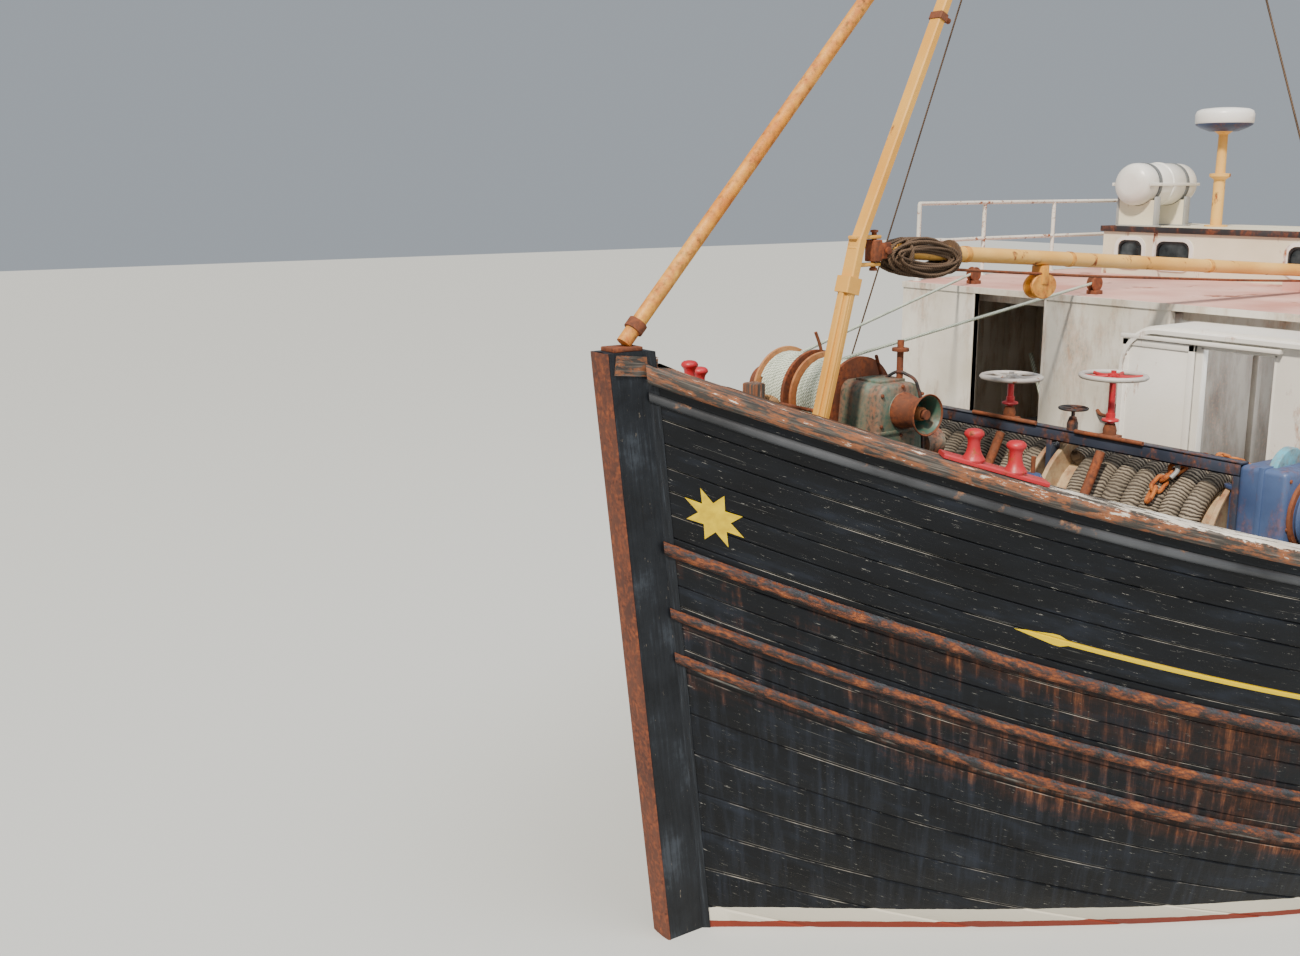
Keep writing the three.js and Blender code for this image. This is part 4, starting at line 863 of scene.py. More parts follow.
# %% Cap rail and breasthook
CAP_OUT, CAP_IN = 0.045, 0.155
rail_section = [(0.09, 0.028), (0.078, 0.041), (0.06, CAP_OUT), (0.03, CAP_OUT), (0.01, 0.039),
                (0.0, 0.025), (0.0, -0.05), (0.0, -0.135), (0.006, -0.15), (0.02, -CAP_IN),
                (0.09, -CAP_IN)]
for name, side in (("cap_rail_port", 1), ("cap_rail_starboard", -1)):
    rail = along_sheer(name + "_planks", side, rail_section, pinch=False, least=SIDING_STEM + 0.002)
    dress(rail, "boat", rail_timber, 40, stands_for=(name,))
for name in ("cap_rail_stern", "breasthook"):
    bare = nodes[name]
    bare.data.materials.clear()
    bare.data.materials.append(rail_timber)

# %% [markdown]
# ## Stem
# The stem is a thick oak post. A flat iron band, red with rust, takes the knocks on
# its front. Both are swept down the curve that the planks' ends follow.

# %% Stem post and its iron band
STEM_STEPS = 60
STEM_LENGTH = 5.1  # metres along its curve, for the map only


def stem_line(t):
    """Rabbet and front of the stem, from its head (t 0) to the forefoot (t 1)."""
    def rabbet(t):
        h = mix(-0.066, rail_height(0) - keel_line(0), t)
        point = hull_point(0, max(h, 0), 0)
        return Vector((point.x + (0 if h > 0 else 0.066 * RAKE), 0, rail_height(0) - h))
    here = rabbet(t)
    way = (rabbet(min(t + 0.01, 1)) - rabbet(max(t - 0.01, 0))).normalized()
    ahead = Vector((-way.z, 0, way.x))
    moulded = mix(RABBET, 0.3, clamp(-here.z / 1.7))
    return here, here + ahead * moulded, ahead


def stem_sheet(name, section, until=1.0):
    """section: closed list of (share of the way from rabbet to front, y, proud).

    A share under 0 lies on the planks.
    """
    ring = section + [section[0]]
    girth = [0.0]
    for (a0, y0, _), (a1, y1, _) in zip(ring, ring[1:]):
        girth.append(girth[-1] + math.hypot((a1 - a0) * RABBET, y1 - y0))

    def where(u, v):
        share, y, proud = ring[round(v * len(section))]
        t = u * until
        back, front, ahead = stem_line(t)
        if share < 0:
            h = max(mix(-0.066, rail_height(0) - keel_line(0), t), CAP)
            plank = hull_point(-share * RABBET, h, math.copysign(1, y), proud)
            return Vector((plank.x + (back.z - plank.z) * RAKE, plank.y, back.z))
        return back.lerp(front, share) + ahead * proud + Vector((0, y, 0))

    def chart(u, v):
        return u * until * STEM_LENGTH, girth[round(v * len(section))]

    return sheet(name, STEM_STEPS, len(section), where, chart, close=True)


side_face = [(-0.2, 1, 0.006), (0.0, 0.078, 0), (0.5, 0.074, 0), (0.93, 0.072, 0), (0.985, 0.062, 0),
             (0.985, 0.0, 0)]
far_face = [(share, -y, proud) for share, y, proud in reversed(side_face[:-1])]
post = stem_sheet("stem_post", side_face + far_face)
stem_paint, tree, shader = new_finish("black_paint_on_oak_stem", Roughness=0.5)
chart = put(tree, "UVMap").outputs[0]
grain_map = put(tree, "Mapping", {"Vector": chart, "Scale": (1.2, 30.0, 1)}).outputs[0]
grain = put(tree, "TexNoise", {"Vector": grain_map, "Scale": 2.0, "Detail": 10.0, "Roughness": 0.72})
cloud = put(tree, "TexNoise", {"Vector": chart, "Scale": 3.0, "Detail": 9.0, "Roughness": 0.65})
both = put(tree, "Math", {0: grain, 1: 0.6, 2: cloud}, operation="MULTIPLY_ADD")
coat = put(tree, "ValToRGB", {"Fac": both}, [(0.62, "#0e1116"), (0.86, "#1e2228"), (1.0, "#3a4048")])
worn_map = put(tree, "Mapping", {"Vector": chart, "Scale": (4.0, 16.0, 1)}).outputs[0]
worn = put(tree, "TexNoise", {"Vector": worn_map, "Scale": 2.0, "Detail": 12.0, "Roughness": 0.75})
chips = put(tree, "MapRange", {"Value": worn, "From Min": 0.63, "From Max": 0.67})
chipped = put(tree, "Mix", {0: chips, 6: coat, 7: linear("#8d8272")}, data_type="RGBA")
relief = put(tree, "Bump", {"Height": both, "Strength": 0.6, "Distance": 0.008})
tree.links.new(chipped.outputs[2], shader.inputs["Base Color"])
tree.links.new(relief.outputs[0], shader.inputs["Normal"])
shader.inputs["Specular IOR Level"].default_value = 0.3
dress(post, "boat", stem_paint, 30, stands_for=("stem",))
stem_rust = painted_steel("stem_band_rusted", "#42271f", "#5e3728", 0.5, 0.02, 0.6, 0.85,
                          bare="#7d4126", soft=0.2)
iron = stem_sheet("stem_band", [(0.95, 0.0745, 0.0), (1.0, 0.066, 0.0), (1.0, 0.03, 0.004),
                                (1.0, -0.03, 0.004), (1.0, -0.066, 0.0), (0.95, -0.0745, 0.0),
                                (0.94, 0.0, -0.01)], 0.97)
dress(iron, "boat", stem_rust, 30)
caps = []
for side in (1, -1):
    a, b = 0.04, RABBET + 0.06
    ring = [(-0.004, -0.01), (0.014, -0.01), (0.02, 0.0), (0.02, 0.075), (0.012, 0.086),
            (-0.004, 0.086)]
    path = [spot(mix(a, b, t), side * 0.078, rail_height(0) - mix(0.03, 0.055, t))
            for t in (0, 0.25, 0.5, 0.75, 1)]
    caps.append(sweep("cap", path, [(-side * x, z) for x, z in ring]))
dress(one_piece(caps, "stem_side_caps"), "boat", rail_timber, 30)
print("stem swept")

# %% [markdown]
# ## Ground rope and net rope finishes
# The ground rope on the big reels is a steel wire served with strips of old net and
# rubber, so it shows slanting bands of cream, black and grey. Each band is darkest at its
# edges, partly from dark rubber and partly as painted shade in the grooves. Thin net rope is
# laid up from three strands, and a bump in the map gives it its twist; it is darker in the
# grooves between strands as painted shade.

# %% Rope finishes
served_rope, tree, shader = new_finish("wire_served_with_net_strips_21mm_bands")
chart = put(tree, "UVMap").outputs[0]
both = put(tree, "SeparateXYZ", {0: chart})
shake = put(tree, "TexNoise", {"Vector": chart, "Scale": 9.0, "Detail": 6.0})
slant = put(tree, "Math", {0: both.outputs[1], 1: 5.3}, operation="MULTIPLY")
count = put(tree, "Math", {0: both, 1: 48.0, 2: slant}, operation="MULTIPLY_ADD")
wobble = put(tree, "Math", {0: shake, 1: 2.6, 2: count}, operation="MULTIPLY_ADD")
phase = put(tree, "Math", {0: wobble}, operation="FRACT")
# Each band darkens towards its edges, where the bump is lowest: partly dark rubber strips, partly painted
# shade in the grooves between wraps
band_and_groove_shade = put(tree, "ValToRGB", {"Fac": phase}, [(0.0, "#25201c"), (0.2, "#4a423a"),
                                                   (0.42, "#85796a"), (0.64, "#a39885"),
                                                   (0.88, "#6b6154"), (1.0, "#25201c")])
grime = put(tree, "TexNoise", {"Vector": chart, "Scale": 3.5, "Detail": 5.0})
grimed = put(tree, "MapRange", {"Value": grime, "From Min": 0.42, "From Max": 0.7, "To Max": 0.8})
dirty = put(tree, "Mix", {0: grimed, 6: band_and_groove_shade, 7: linear("#4b443b")}, data_type="RGBA")
ridge = put(tree, "Math", {0: phase, 1: 0.5}, operation="PINGPONG")
relief = put(tree, "Bump", {"Height": ridge, "Strength": 0.9, "Distance": 0.008})
tree.links.new(dirty.outputs[2], shader.inputs["Base Color"])
tree.links.new(relief.outputs[0], shader.inputs["Normal"])
shader.inputs["Roughness"].default_value = 0.95


def laid_rope(name, light_tone, dark_tone, radius):
    """Three-strand rope: slanting strands by the map, as wide as the rope is thick."""
    made, tree, shader = new_finish(name, Roughness=0.9)
    chart = put(tree, "UVMap").outputs[0]
    both = put(tree, "SeparateXYZ", {0: chart})
    around = put(tree, "Math", {0: both.outputs[1], 1: 3 / (2 * math.pi * radius)},
                 operation="MULTIPLY")
    lay = put(tree, "Math", {0: both, 1: 1 / (2.3 * radius), 2: around}, operation="MULTIPLY_ADD")
    strand = put(tree, "Math", {0: lay, 1: 0.5}, operation="PINGPONG")
    # Each strand darkens towards the groove beside it: painted shade
    tone = put(tree, "ValToRGB", {"Fac": strand}, [(0.02, dark_tone), (0.25, light_tone)])
    dirt = put(tree, "TexNoise", {"Vector": chart, "Scale": 6.0, "Detail": 5.0})
    soiled = put(tree, "MapRange", {"Value": dirt, "From Min": 0.45, "From Max": 0.75, "To Max": 0.6})
    worn = put(tree, "Mix", {0: soiled, 6: tone, 7: linear(dark_tone)}, data_type="RGBA")
    relief = put(tree, "Bump", {"Height": strand, "Strength": 0.8, "Distance": radius * 0.4})
    tree.links.new(worn.outputs[2], shader.inputs["Base Color"])
    tree.links.new(relief.outputs[0], shader.inputs["Normal"])
    return made


pale_rope = laid_rope("pale_green_polysteel_rope", "#d5dccb", "#6f7c6a", 0.012)
tan_rope = laid_rope("tan_manila_rope", "#9c7448", "#4f3620", 0.012)
dark_wire = laid_rope("dark_greased_wire_rope", "#66503c", "#231a14", 0.008)
print("rope finishes made")

# %% [markdown]
# ## Rope reels
# Two flanged reels lie across the boat inside a frame. Each has two plate discs on a
# barrel, with one layer of ground rope wound round it. A rusty chain hangs over the
# port reel, where the ropes are joined.

# %% Rope reels with their rope
REEL_X, REEL_Z, REEL_R = STEM_HEAD - 3.72, 1.925, 0.47

for side_name, y0, width, start in (("starboard", -1.194, 1.168, 0.3), ("port", 0.026, 1.218, 1.1)):
    body = f"reel_{side_name}_body"
    centre = (REEL_X, y0, REEL_Z)
    flange = [(0.06, 0.014), (0.44, 0.014), (0.452, 0.008), (REEL_R - 0.004, 0.008), (REEL_R, 0.012),
              (REEL_R, 0.036), (REEL_R - 0.004, 0.04), (0.06, 0.04)]
    discs = [turned("flange", flange, centre, "y", 56),
             turned("flange", [(r, width - d) for r, d in flange], centre, "y", 56)]
    barrel = turned("barrel", [(0.0, 0.002), (0.07, 0.002), (0.07, 0.03), (0.33, 0.03),
                               (0.33, width - 0.03), (0.07, width - 0.03), (0.07, width - 0.002),
                               (0.0, width - 0.002)], centre, "y", 32)
    whole = one_piece(discs + [barrel], f"reel_{side_name}_discs")
    dress(whole, body, pale_disc, 35, stands_for=(f"rope_reel_{side_name}",))
    turns = (width - 0.218) / 0.13
    path = helix((REEL_X, y0 + 0.109, REEL_Z), 0.385, 0.13, turns, 36, 0.008, start)
    wound = sweep(f"ground_rope_{side_name}", path, disc(0.06, 14))
    dress(wound, body, served_rope, 60)
    print(side_name, "reel:", round(turns, 1), "turns,", triangles(wound), "triangles")

# %% Chain over the port reel
def chain(name, path, link_length=0.105, wire=0.013):
    """Oval links along a path, each turned a quarter from the one before."""
    unpick()
    bpy.ops.mesh.primitive_torus_add(major_radius=link_length * 0.3, minor_radius=wire,
                                     major_segments=16, minor_segments=8)
    pattern = bpy.context.object
    for vertex in pattern.data.vertices:
        vertex.co.x += math.copysign(link_length * 0.2, vertex.co.x)
    links, gone = [], 0.0
    pitch = link_length - 2 * wire
    for a, b in zip(path, path[1:]):
        reach = (b - a).length
        while gone < reach:
            link = pattern.copy()
            link.data = pattern.data.copy()
            bpy.context.scene.collection.objects.link(link)
            way = (b - a).normalized()
            turn = Vector((1, 0, 0)).rotation_difference(way).to_matrix()
            roll = Matrix.Rotation(math.radians(35 + 90 * (len(links) % 2)), 3, "X")
            link.data.transform((turn @ roll).to_4x4())
            link.location = a + way * gone
            links.append(link)
            gone += pitch
        gone -= reach
    bpy.data.objects.remove(pattern)
    return one_piece(links, name)


def on_reel(y, degrees, lift):
    angle = math.radians(degrees)
    return Vector((REEL_X + lift * math.cos(angle), y, REEL_Z + lift * math.sin(angle)))


draped = [on_reel(y, degrees, 0.46) for y, degrees in ((1.06, 128), (1.0, 112), (0.96, 98),
                                                       (0.92, 86), (0.87, 74), (0.84, 62), (0.82, 50),
                                                       (0.8, 38), (0.79, 26))]
links = chain("ground_chain", draped)
dress(links, "reel_port_body", orange_chain, 40)
shackle = tube("shackle", [on_reel(0.83, 66, 0.5), on_reel(0.87, 62, 0.52), on_reel(0.9, 56, 0.5),
                           on_reel(0.88, 50, 0.49)], 0.014, 10, 0.02)
dress(shackle, "reel_port_body", galvanised, 40)

# %% [markdown]
# ## Reel frame
# A channel bar runs over the reels from a stand at each end and one in the middle.
# The drive sits at the port end: a gearbox casting with a ribbed bell on its outer
# face and a round guard over the chain wheel. Valves and their pipes fill the middle
# bay.

# %% Frame, stands and drive
FRAME_X, FRAME_Z = STEM_HEAD - 3.46, 2.42

web = box("bar", (FRAME_X - 0.045, -1.25, FRAME_Z - 0.04),
          (FRAME_X - 0.033, 1.29, FRAME_Z + 0.04), 0.003)
top = box("bar", (FRAME_X - 0.045, -1.25, FRAME_Z + 0.028),
          (FRAME_X + 0.045, 1.29, FRAME_Z + 0.04), 0.003)
foot_edge = box("bar", (FRAME_X - 0.045, -1.25, FRAME_Z - 0.04),
                (FRAME_X + 0.045, 1.29, FRAME_Z - 0.028), 0.003)
front = box("bar", (FRAME_X + 0.033, -1.25, FRAME_Z - 0.04),
            (FRAME_X + 0.045, 1.29, FRAME_Z + 0.04), 0.003)
stands = []
for y in (-1.24, -0.02, 1.25):
    outline = [(0.045, 1.5), (0.045, 2.39), (-0.045, 2.39), (-0.06, 2.035), (-0.35, 2.025),
               (-0.35, 1.825), (-0.5, 1.27), (0.045, 1.27)]
    plate = flat_face([(FRAME_X + dx, y, z) for dx, z in outline])
    modify(plate, "SOLIDIFY", thickness=0.04, offset=1.0)
    low = min(v.co.y for v in plate.data.vertices)
    for vertex in plate.data.vertices:
        vertex.co.y += y - low
    modify(plate, "BEVEL", width=0.004, segments=2)
    stands.append(plate)
frame_bars = one_piece([web, top, foot_edge, front] + stands, "reel_frame_bars")
dress(frame_bars, "boat", blue_frame, 35, stands_for=("reel_frame",))

GEAR_X0, GEAR_X1 = STEM_HEAD - 3.92, STEM_HEAD - 3.42
case = box("reel_gearbox", (GEAR_X0, 1.28, 1.825), (GEAR_X1, 1.56, 2.45), 0.03, 4)
cover = box("cover", (GEAR_X0 - 0.008, 1.40, 1.86), (GEAR_X1 + 0.008, 1.432, 2.457), 0.004)
low_foot = box("foot", spot(3.82, 1.33, 1.18), spot(3.52, 1.52, 1.84), 0.01)
ribs = [(0.0, 0.0), (0.185, 0.0), (0.185, 0.018), (0.176, 0.024)]
for n in range(5):
    d = 0.034 + n * 0.026
    r = mix(0.182, 0.15, n / 4)
    ribs += [(r, d), (r + 0.006, d + 0.009), (r, d + 0.018), (r - 0.004, d + 0.021)]
ribs += [(0.13, 0.17), (0.105, 0.192), (0.0, 0.196)]
bell = turned("bell", ribs, spot(3.66, 1.558, REEL_Z + 0.27), "y", 48)
hub = turned("hub", [(0.0, 0.0), (0.045, 0.0), (0.045, 0.22), (0.03, 0.236), (0.0, 0.24)],
             spot(3.66, 1.53, REEL_Z + 0.27), "y", 20)
drive = one_piece([case, cover, low_foot, bell, hub], "reel_drive")
dress(drive, "boat", blue_box, 35)
ring = turned("bell_ring", [(0.186, 0.0), (0.21, 0.0), (0.212, 0.01), (0.206, 0.022), (0.186, 0.024)],
              spot(3.66, 1.556, REEL_Z + 0.27), "y", 48)
dress(ring, "boat", rusty_iron, 35)
guard = turned("chain_guard", [(0.0, 0.002), (0.165, 0.002), (0.172, 0.008), (0.172, 0.044),
                               (0.165, 0.05), (0.0, 0.05)], spot(3.66, 1.4, REEL_Z + 0.45), "y", 48)
dress(guard, "boat", teal_iron, 35)
bolts = [(STEM_HEAD - 3.66 + 0.2 * math.cos(a), 1.558, REEL_Z + 0.27 + 0.2 * math.sin(a))
         for a in (0.3, 1.35, 2.4, 3.45, 4.5, 5.55)]
bolts += [(x, 1.558, z) for x in (GEAR_X0 + 0.04, GEAR_X1 - 0.04) for z in (1.87, 2.13, 2.4)]
dress(bolt_heads("drive_bolts", bolts, (0, 1, 0)), "boat", rusty_iron, 35)
post = tube("frame_post", [(FRAME_X - 0.02, 1.245, 1.3), (FRAME_X - 0.02, 1.245, 2.3)], 0.045, 20)
lid = turned("post_lid", [(0.0, 0.0), (0.062, 0.0), (0.066, 0.006), (0.066, 0.02), (0.0, 0.024)],
             (FRAME_X - 0.02, 1.245, 2.3), "z", 20)
dress(one_piece([post, lid], "drive_post"), "boat", blue_box, 35)

# %% Valves in the middle bay
VALVE_X = FRAME_X + 0.34
block = box("valve_block", (VALVE_X - 0.075, -0.14, 1.98), (VALVE_X + 0.075, 0.2, 2.14), 0.012, 3)
caps = [turned("cap", [(0.0, 0.0), (0.07, 0.0), (0.07, 0.05), (0.05, 0.085), (0.0, 0.095)],
               (VALVE_X, y, 2.135), "z", 20) for y in (-0.06, 0.12)]
legs = [box("leg", (VALVE_X - 0.04, y, 1.4), (VALVE_X + 0.04, y + 0.04, 1.99), 0.004)
        for y in (-0.12, 0.14)]
dress(one_piece([block] + caps + legs, "valve_block"), "boat", blue_box, 35)
spindles = [tube("spindle", [(VALVE_X, y, 2.2), (VALVE_X, y, 2.33)], 0.014, 10)
            for y in (-0.06, 0.12)]
pipes = [tube("pipe", [(VALVE_X, -0.1, 2.0), (VALVE_X, -0.3, 1.9), (VALVE_X, -0.75, 1.85),
                       (VALVE_X - 0.02, -1.1, 1.7)], 0.02, 10, 0.05),
         tube("pipe", [(VALVE_X, 0.15, 2.0), (VALVE_X + 0.02, 0.5, 1.86), (VALVE_X, 0.95, 1.86),
                       (VALVE_X - 0.02, 1.2, 1.8)], 0.018, 10, 0.05),
         tube("pipe", [(FRAME_X + 0.055, -0.62, 2.475), (FRAME_X + 0.055, -0.1, 2.475)], 0.014, 10),
         tube("pipe", [(FRAME_X + 0.055, 0.2, 2.47), (FRAME_X + 0.055, 0.68, 2.47)], 0.014, 10)]
dress(one_piece(spindles + pipes, "valve_pipes"), "boat", rusty_iron, 40)
unpick()
small_at = Vector((FRAME_X - 0.01, 0.13, 2.6))
bpy.ops.mesh.primitive_torus_add(major_radius=0.085, minor_radius=0.009, major_segments=36,
                                 minor_segments=8, location=small_at)
small = bpy.context.object
small_stem = tube("stem", [small_at - Vector((0, 0, 0.16)), small_at + Vector((0, 0, 0.01))], 0.012,
                  10)
arms = [0.085 * Vector((math.cos(a), math.sin(a), 0)) for a in (0.4, 1.97)]
bars = [tube("bar", [small_at - arm, small_at + arm], 0.006, 8) for arm in arms]
body = turned("body", [(0.0, 0.0), (0.035, 0.0), (0.035, 0.05), (0.022, 0.09), (0.0, 0.1)],
              small_at - Vector((0, 0, 0.145)), "z", 16)
dress(one_piece([small, small_stem, body] + bars, "small_handwheel"), "boat", black_iron,
      40)

# %% [markdown]
# ## Handwheels
# Two tall valves stand on the bar. The rims are worn to white and grey, as are the
# starboard wheel's spokes; the port spokes and both stems keep their red paint, and rust
# has settled on the collars.

# %% Handwheels
for side_name, y, height, spokes_finish in (("starboard", -0.36, 2.74, grey_rim),
                                            ("port", 0.41, 2.84, red_iron)):
    centre = Vector((FRAME_X, y, height))
    unpick()
    bpy.ops.mesh.primitive_torus_add(major_radius=0.187, minor_radius=0.019, major_segments=56,
                                     minor_segments=12, location=centre)
    rim = bpy.context.object
    rim.scale = (1, 1, 0.85)
    dress(rim, "boat", grey_rim, 60, name=f"handwheel_rim_{side_name}")
    arms = []
    for n in range(6):
        a = n * math.pi / 3 + 0.3
        out = Vector((math.cos(a), math.sin(a), 0))
        arms.append(tube("arm", [centre + out * 0.03, centre + out * 0.1 + Vector((0, 0, -0.008)),
                                 centre + out * 0.18], 0.0115, 8, 0.03))
    hub = turned("hub", [(0.0, -0.03), (0.034, -0.03), (0.038, 0.0), (0.034, 0.016), (0.016, 0.02),
                         (0.016, 0.034), (0.0, 0.036)], centre, "z", 20)
    dress(one_piece(arms + [hub], f"handwheel_spokes_{side_name}"), "boat", spokes_finish,
          40)
    low = FRAME_Z + 0.0404
    stem = tube("stem", [(FRAME_X, y, low + 0.06), (FRAME_X, y, height - 0.02)], 0.021, 16)
    collar = turned("collar", [(0.0, 0.0), (0.05, 0.0), (0.054, 0.006), (0.05, 0.014), (0.028, 0.02),
                               (0.028, 0.05), (0.0, 0.05)], (FRAME_X, y, low + 0.1), "z", 20)
    dress(one_piece([stem, collar], f"handwheel_stem_{side_name}"), "boat", red_iron, 40,
          stands_for=(f"handwheel_{side_name}",))
    pad = box("pad", (FRAME_X - 0.044, y - 0.06, low),
              (FRAME_X + 0.044, y + 0.06, low + 0.018), 0.003)
    yoke = turned("yoke", [(0.0, 0.0), (0.038, 0.0), (0.042, 0.03), (0.03, 0.07), (0.0, 0.075)],
                  (FRAME_X, y, low + 0.015), "z", 20)
    under = tube("under", [(FRAME_X + 0.28, y, FRAME_Z - 0.42),
                           (FRAME_X + 0.075, y, FRAME_Z - 0.045)], 0.03, 16)
    dress(one_piece([pad, yoke, under], f"handwheel_valve_{side_name}"), "boat", rusty_iron,
          40)

# %% Bollards on the rail
for name, side, s0, s1 in (("bollards_port", 1, 1.15, 1.58), ("bollards_starboard", -1, 0.62, 1.05)):
    def on_rail(s, lift):
        return hull_point(s, -lift, side, -0.055)

    a, b = on_rail(s0, 0.016), on_rail(s1, 0.016)
    plate = sweep("plate", [a, a.lerp(b, 0.5), b], [(-0.06, -0.011), (0.06, -0.011), (0.06, 0.004),
                                                    (0.052, 0.011), (-0.052, 0.011), (-0.06, 0.004)])
    profile = [(0.0, -0.01), (0.056, -0.01), (0.058, 0.0), (0.05, 0.012), (0.039, 0.03),
               (0.032, 0.055), (0.03, 0.082), (0.033, 0.1), (0.041, 0.112), (0.048, 0.12),
               (0.049, 0.128), (0.045, 0.138), (0.034, 0.147), (0.018, 0.151), (0.0, 0.152)]
    posts = [turned("post", profile, on_rail(mix(s0, s1, t), 0.034), "z", 32) for t in (0.3, 0.7)]
    dress(one_piece([plate] + posts, name + "_cast"), "boat", red_iron, 40,
          stands_for=(name,))
print("reels, frame, wheels and bollards are on")

# %% [markdown]
# ## Winch
# The trawl winch stands on a raised bed right forward. Two drums hold pale green rope
# between big flanges, and a gearbox drives them and a warping head on each side. The
# gearbox was green once, and rust runs down it from every bolt.

# %% Winch drums
# The winch is drawn about its own axis at this size, then set in its place a fifth smaller
SEAT = (Matrix.Translation(spot(1.99, -0.27, 2.73)) @ Matrix.Scale(0.8, 4)
        @ Matrix.Translation((1.96 - STEM_HEAD, 0, -2.665)))


def seat(piece):
    piece.data.transform(SEAT)
    return piece


WINCH_X, WINCH_Z, BED_TOP = STEM_HEAD - 1.96, 2.665, 2.15
for side_name, y0, width, start in (("starboard", -0.833, 0.366, 0.4), ("port", -0.413, 0.416, 2.0)):
    body = f"drum_{side_name}_body"
    centre = (WINCH_X, y0, WINCH_Z)
    outer = [(0.0, 0.0), (0.305, 0.0), (0.312, 0.004), (0.328, 0.004), (0.33, 0.008), (0.33, 0.02),
             (0.326, 0.024), (0.2, 0.024), (0.2, 0.01)]
    core = [(0.2, width * t) for t in (0.2, 0.5, 0.8)]
    inner = [(r, width - d) for r, d in reversed(outer)]
    spool = turned(f"winch_{side_name}_spool", outer[:-1] + core + inner[1:], centre, "y", 56)
    dress(seat(spool), body, tan_flange, 35, stands_for=(f"winch_drum_{side_name}",))
    band = turned(f"brake_band_{side_name}", [(0.318, width + 0.002), (0.336, width + 0.002),
                                              (0.336, width - 0.03), (0.318, width - 0.03)],
                  centre, "y", 56)
    dress(seat(band), body, rusty_iron, 35)
    rope = 0.0125
    turns = (width - 0.075) / (2.1 * rope)
    path = helix((WINCH_X, y0 + 0.037, WINCH_Z), 0.284, 2.1 * rope, turns, 26, 0.004, start)
    dress(seat(sweep(f"net_rope_{side_name}", path, disc(rope, 7))), body, pale_rope,
          60)
    under = turned(f"rope_bed_{side_name}", [(0.0, 0.034), (0.276, 0.034), (0.276, width - 0.034),
                                             (0.0, width - 0.034)], centre, "y", 40)
    dress(seat(under), body, pale_rope, 35)

# %% Winch gearbox and bed
hips = [(-0.25, BED_TOP + 0.02), (-0.245, 2.44), (-0.215, 2.8), (-0.17, 2.855), (0.13, 2.855),
        (0.215, 2.79), (0.25, 2.66), (0.25, BED_TOP + 0.02)]
shell = flat_face([(WINCH_X - aft, 0.22, z) for aft, z in hips])
modify(shell, "SOLIDIFY", thickness=0.42, offset=0.0)
modify(shell, "BEVEL", width=0.035, segments=4, limit_method="ANGLE")
flange = box("flange", (WINCH_X - 0.27, 0.0, 2.5), (WINCH_X + 0.27, 0.44, 2.525), 0.006)
hatch = box("hatch", (WINCH_X - 0.12, 0.1, 2.85), (WINCH_X + 0.14, 0.34, 2.872), 0.006)
motor = turned("motor", [(0.0, 0.0), (0.105, 0.0), (0.105, 0.17), (0.09, 0.185), (0.07, 0.2),
                         (0.0, 0.2)], (WINCH_X - 0.42, 0.22, BED_TOP + 0.19), Vector((-1, 0, 0)), 28)
boss = turned("boss", [(0.0, 0.0), (0.13, 0.0), (0.12, 0.012), (0.0, 0.014)],
              (WINCH_X, 0.428, WINCH_Z), "y", 32)
gear = one_piece([shell, flange, hatch, motor, boss], "winch_gearbox")
dress(seat(gear), "boat", green_box, 40, stands_for=("winch_frame",))
bed = box("bed", (WINCH_X - 0.33, -0.96, BED_TOP - 0.06), (WINCH_X + 0.3, 0.56, BED_TOP), 0.006)
parts = [bed]
for y in (-0.88, -0.46):
    cheek = box("cheek", (WINCH_X - 0.1, y, BED_TOP),
                (WINCH_X + 0.1, y + 0.04, WINCH_Z + 0.09), 0.006)
    for vertex in cheek.data.vertices:
        if vertex.co.z < 2.3:
            vertex.co.x = WINCH_X + (vertex.co.x - WINCH_X) * 2.2
    parts.append(cheek)
for x in (WINCH_X + 0.255, WINCH_X - 0.285):
    for y in (-0.96, 0.47):
        parts.append(box("leg", (x - 0.045, y, 1.43), (x + 0.045, y + 0.09, BED_TOP - 0.03), 0.006))
shaft = turned("shaft", [(0.0, 0.0), (0.035, 0.0), (0.035, 1.8), (0.0, 1.8)],
               (WINCH_X, -1.13, WINCH_Z), "y", 20)
dress(seat(one_piece(parts + [shaft], "winch_bed")), "boat", rusty_iron, 35)
studs = [(WINCH_X + dx, 0.433, WINCH_Z + dz) for dx, dz in ((0.2, 0.12), (0.2, -0.1), (-0.2, 0.1),
                                                            (-0.2, -0.12), (0.0, 0.17), (0.0, -0.18))]
dress(seat(bolt_heads("winch_bolts", studs, (0, 1, 0), 0.014)), "boat", rusty_iron, 35)

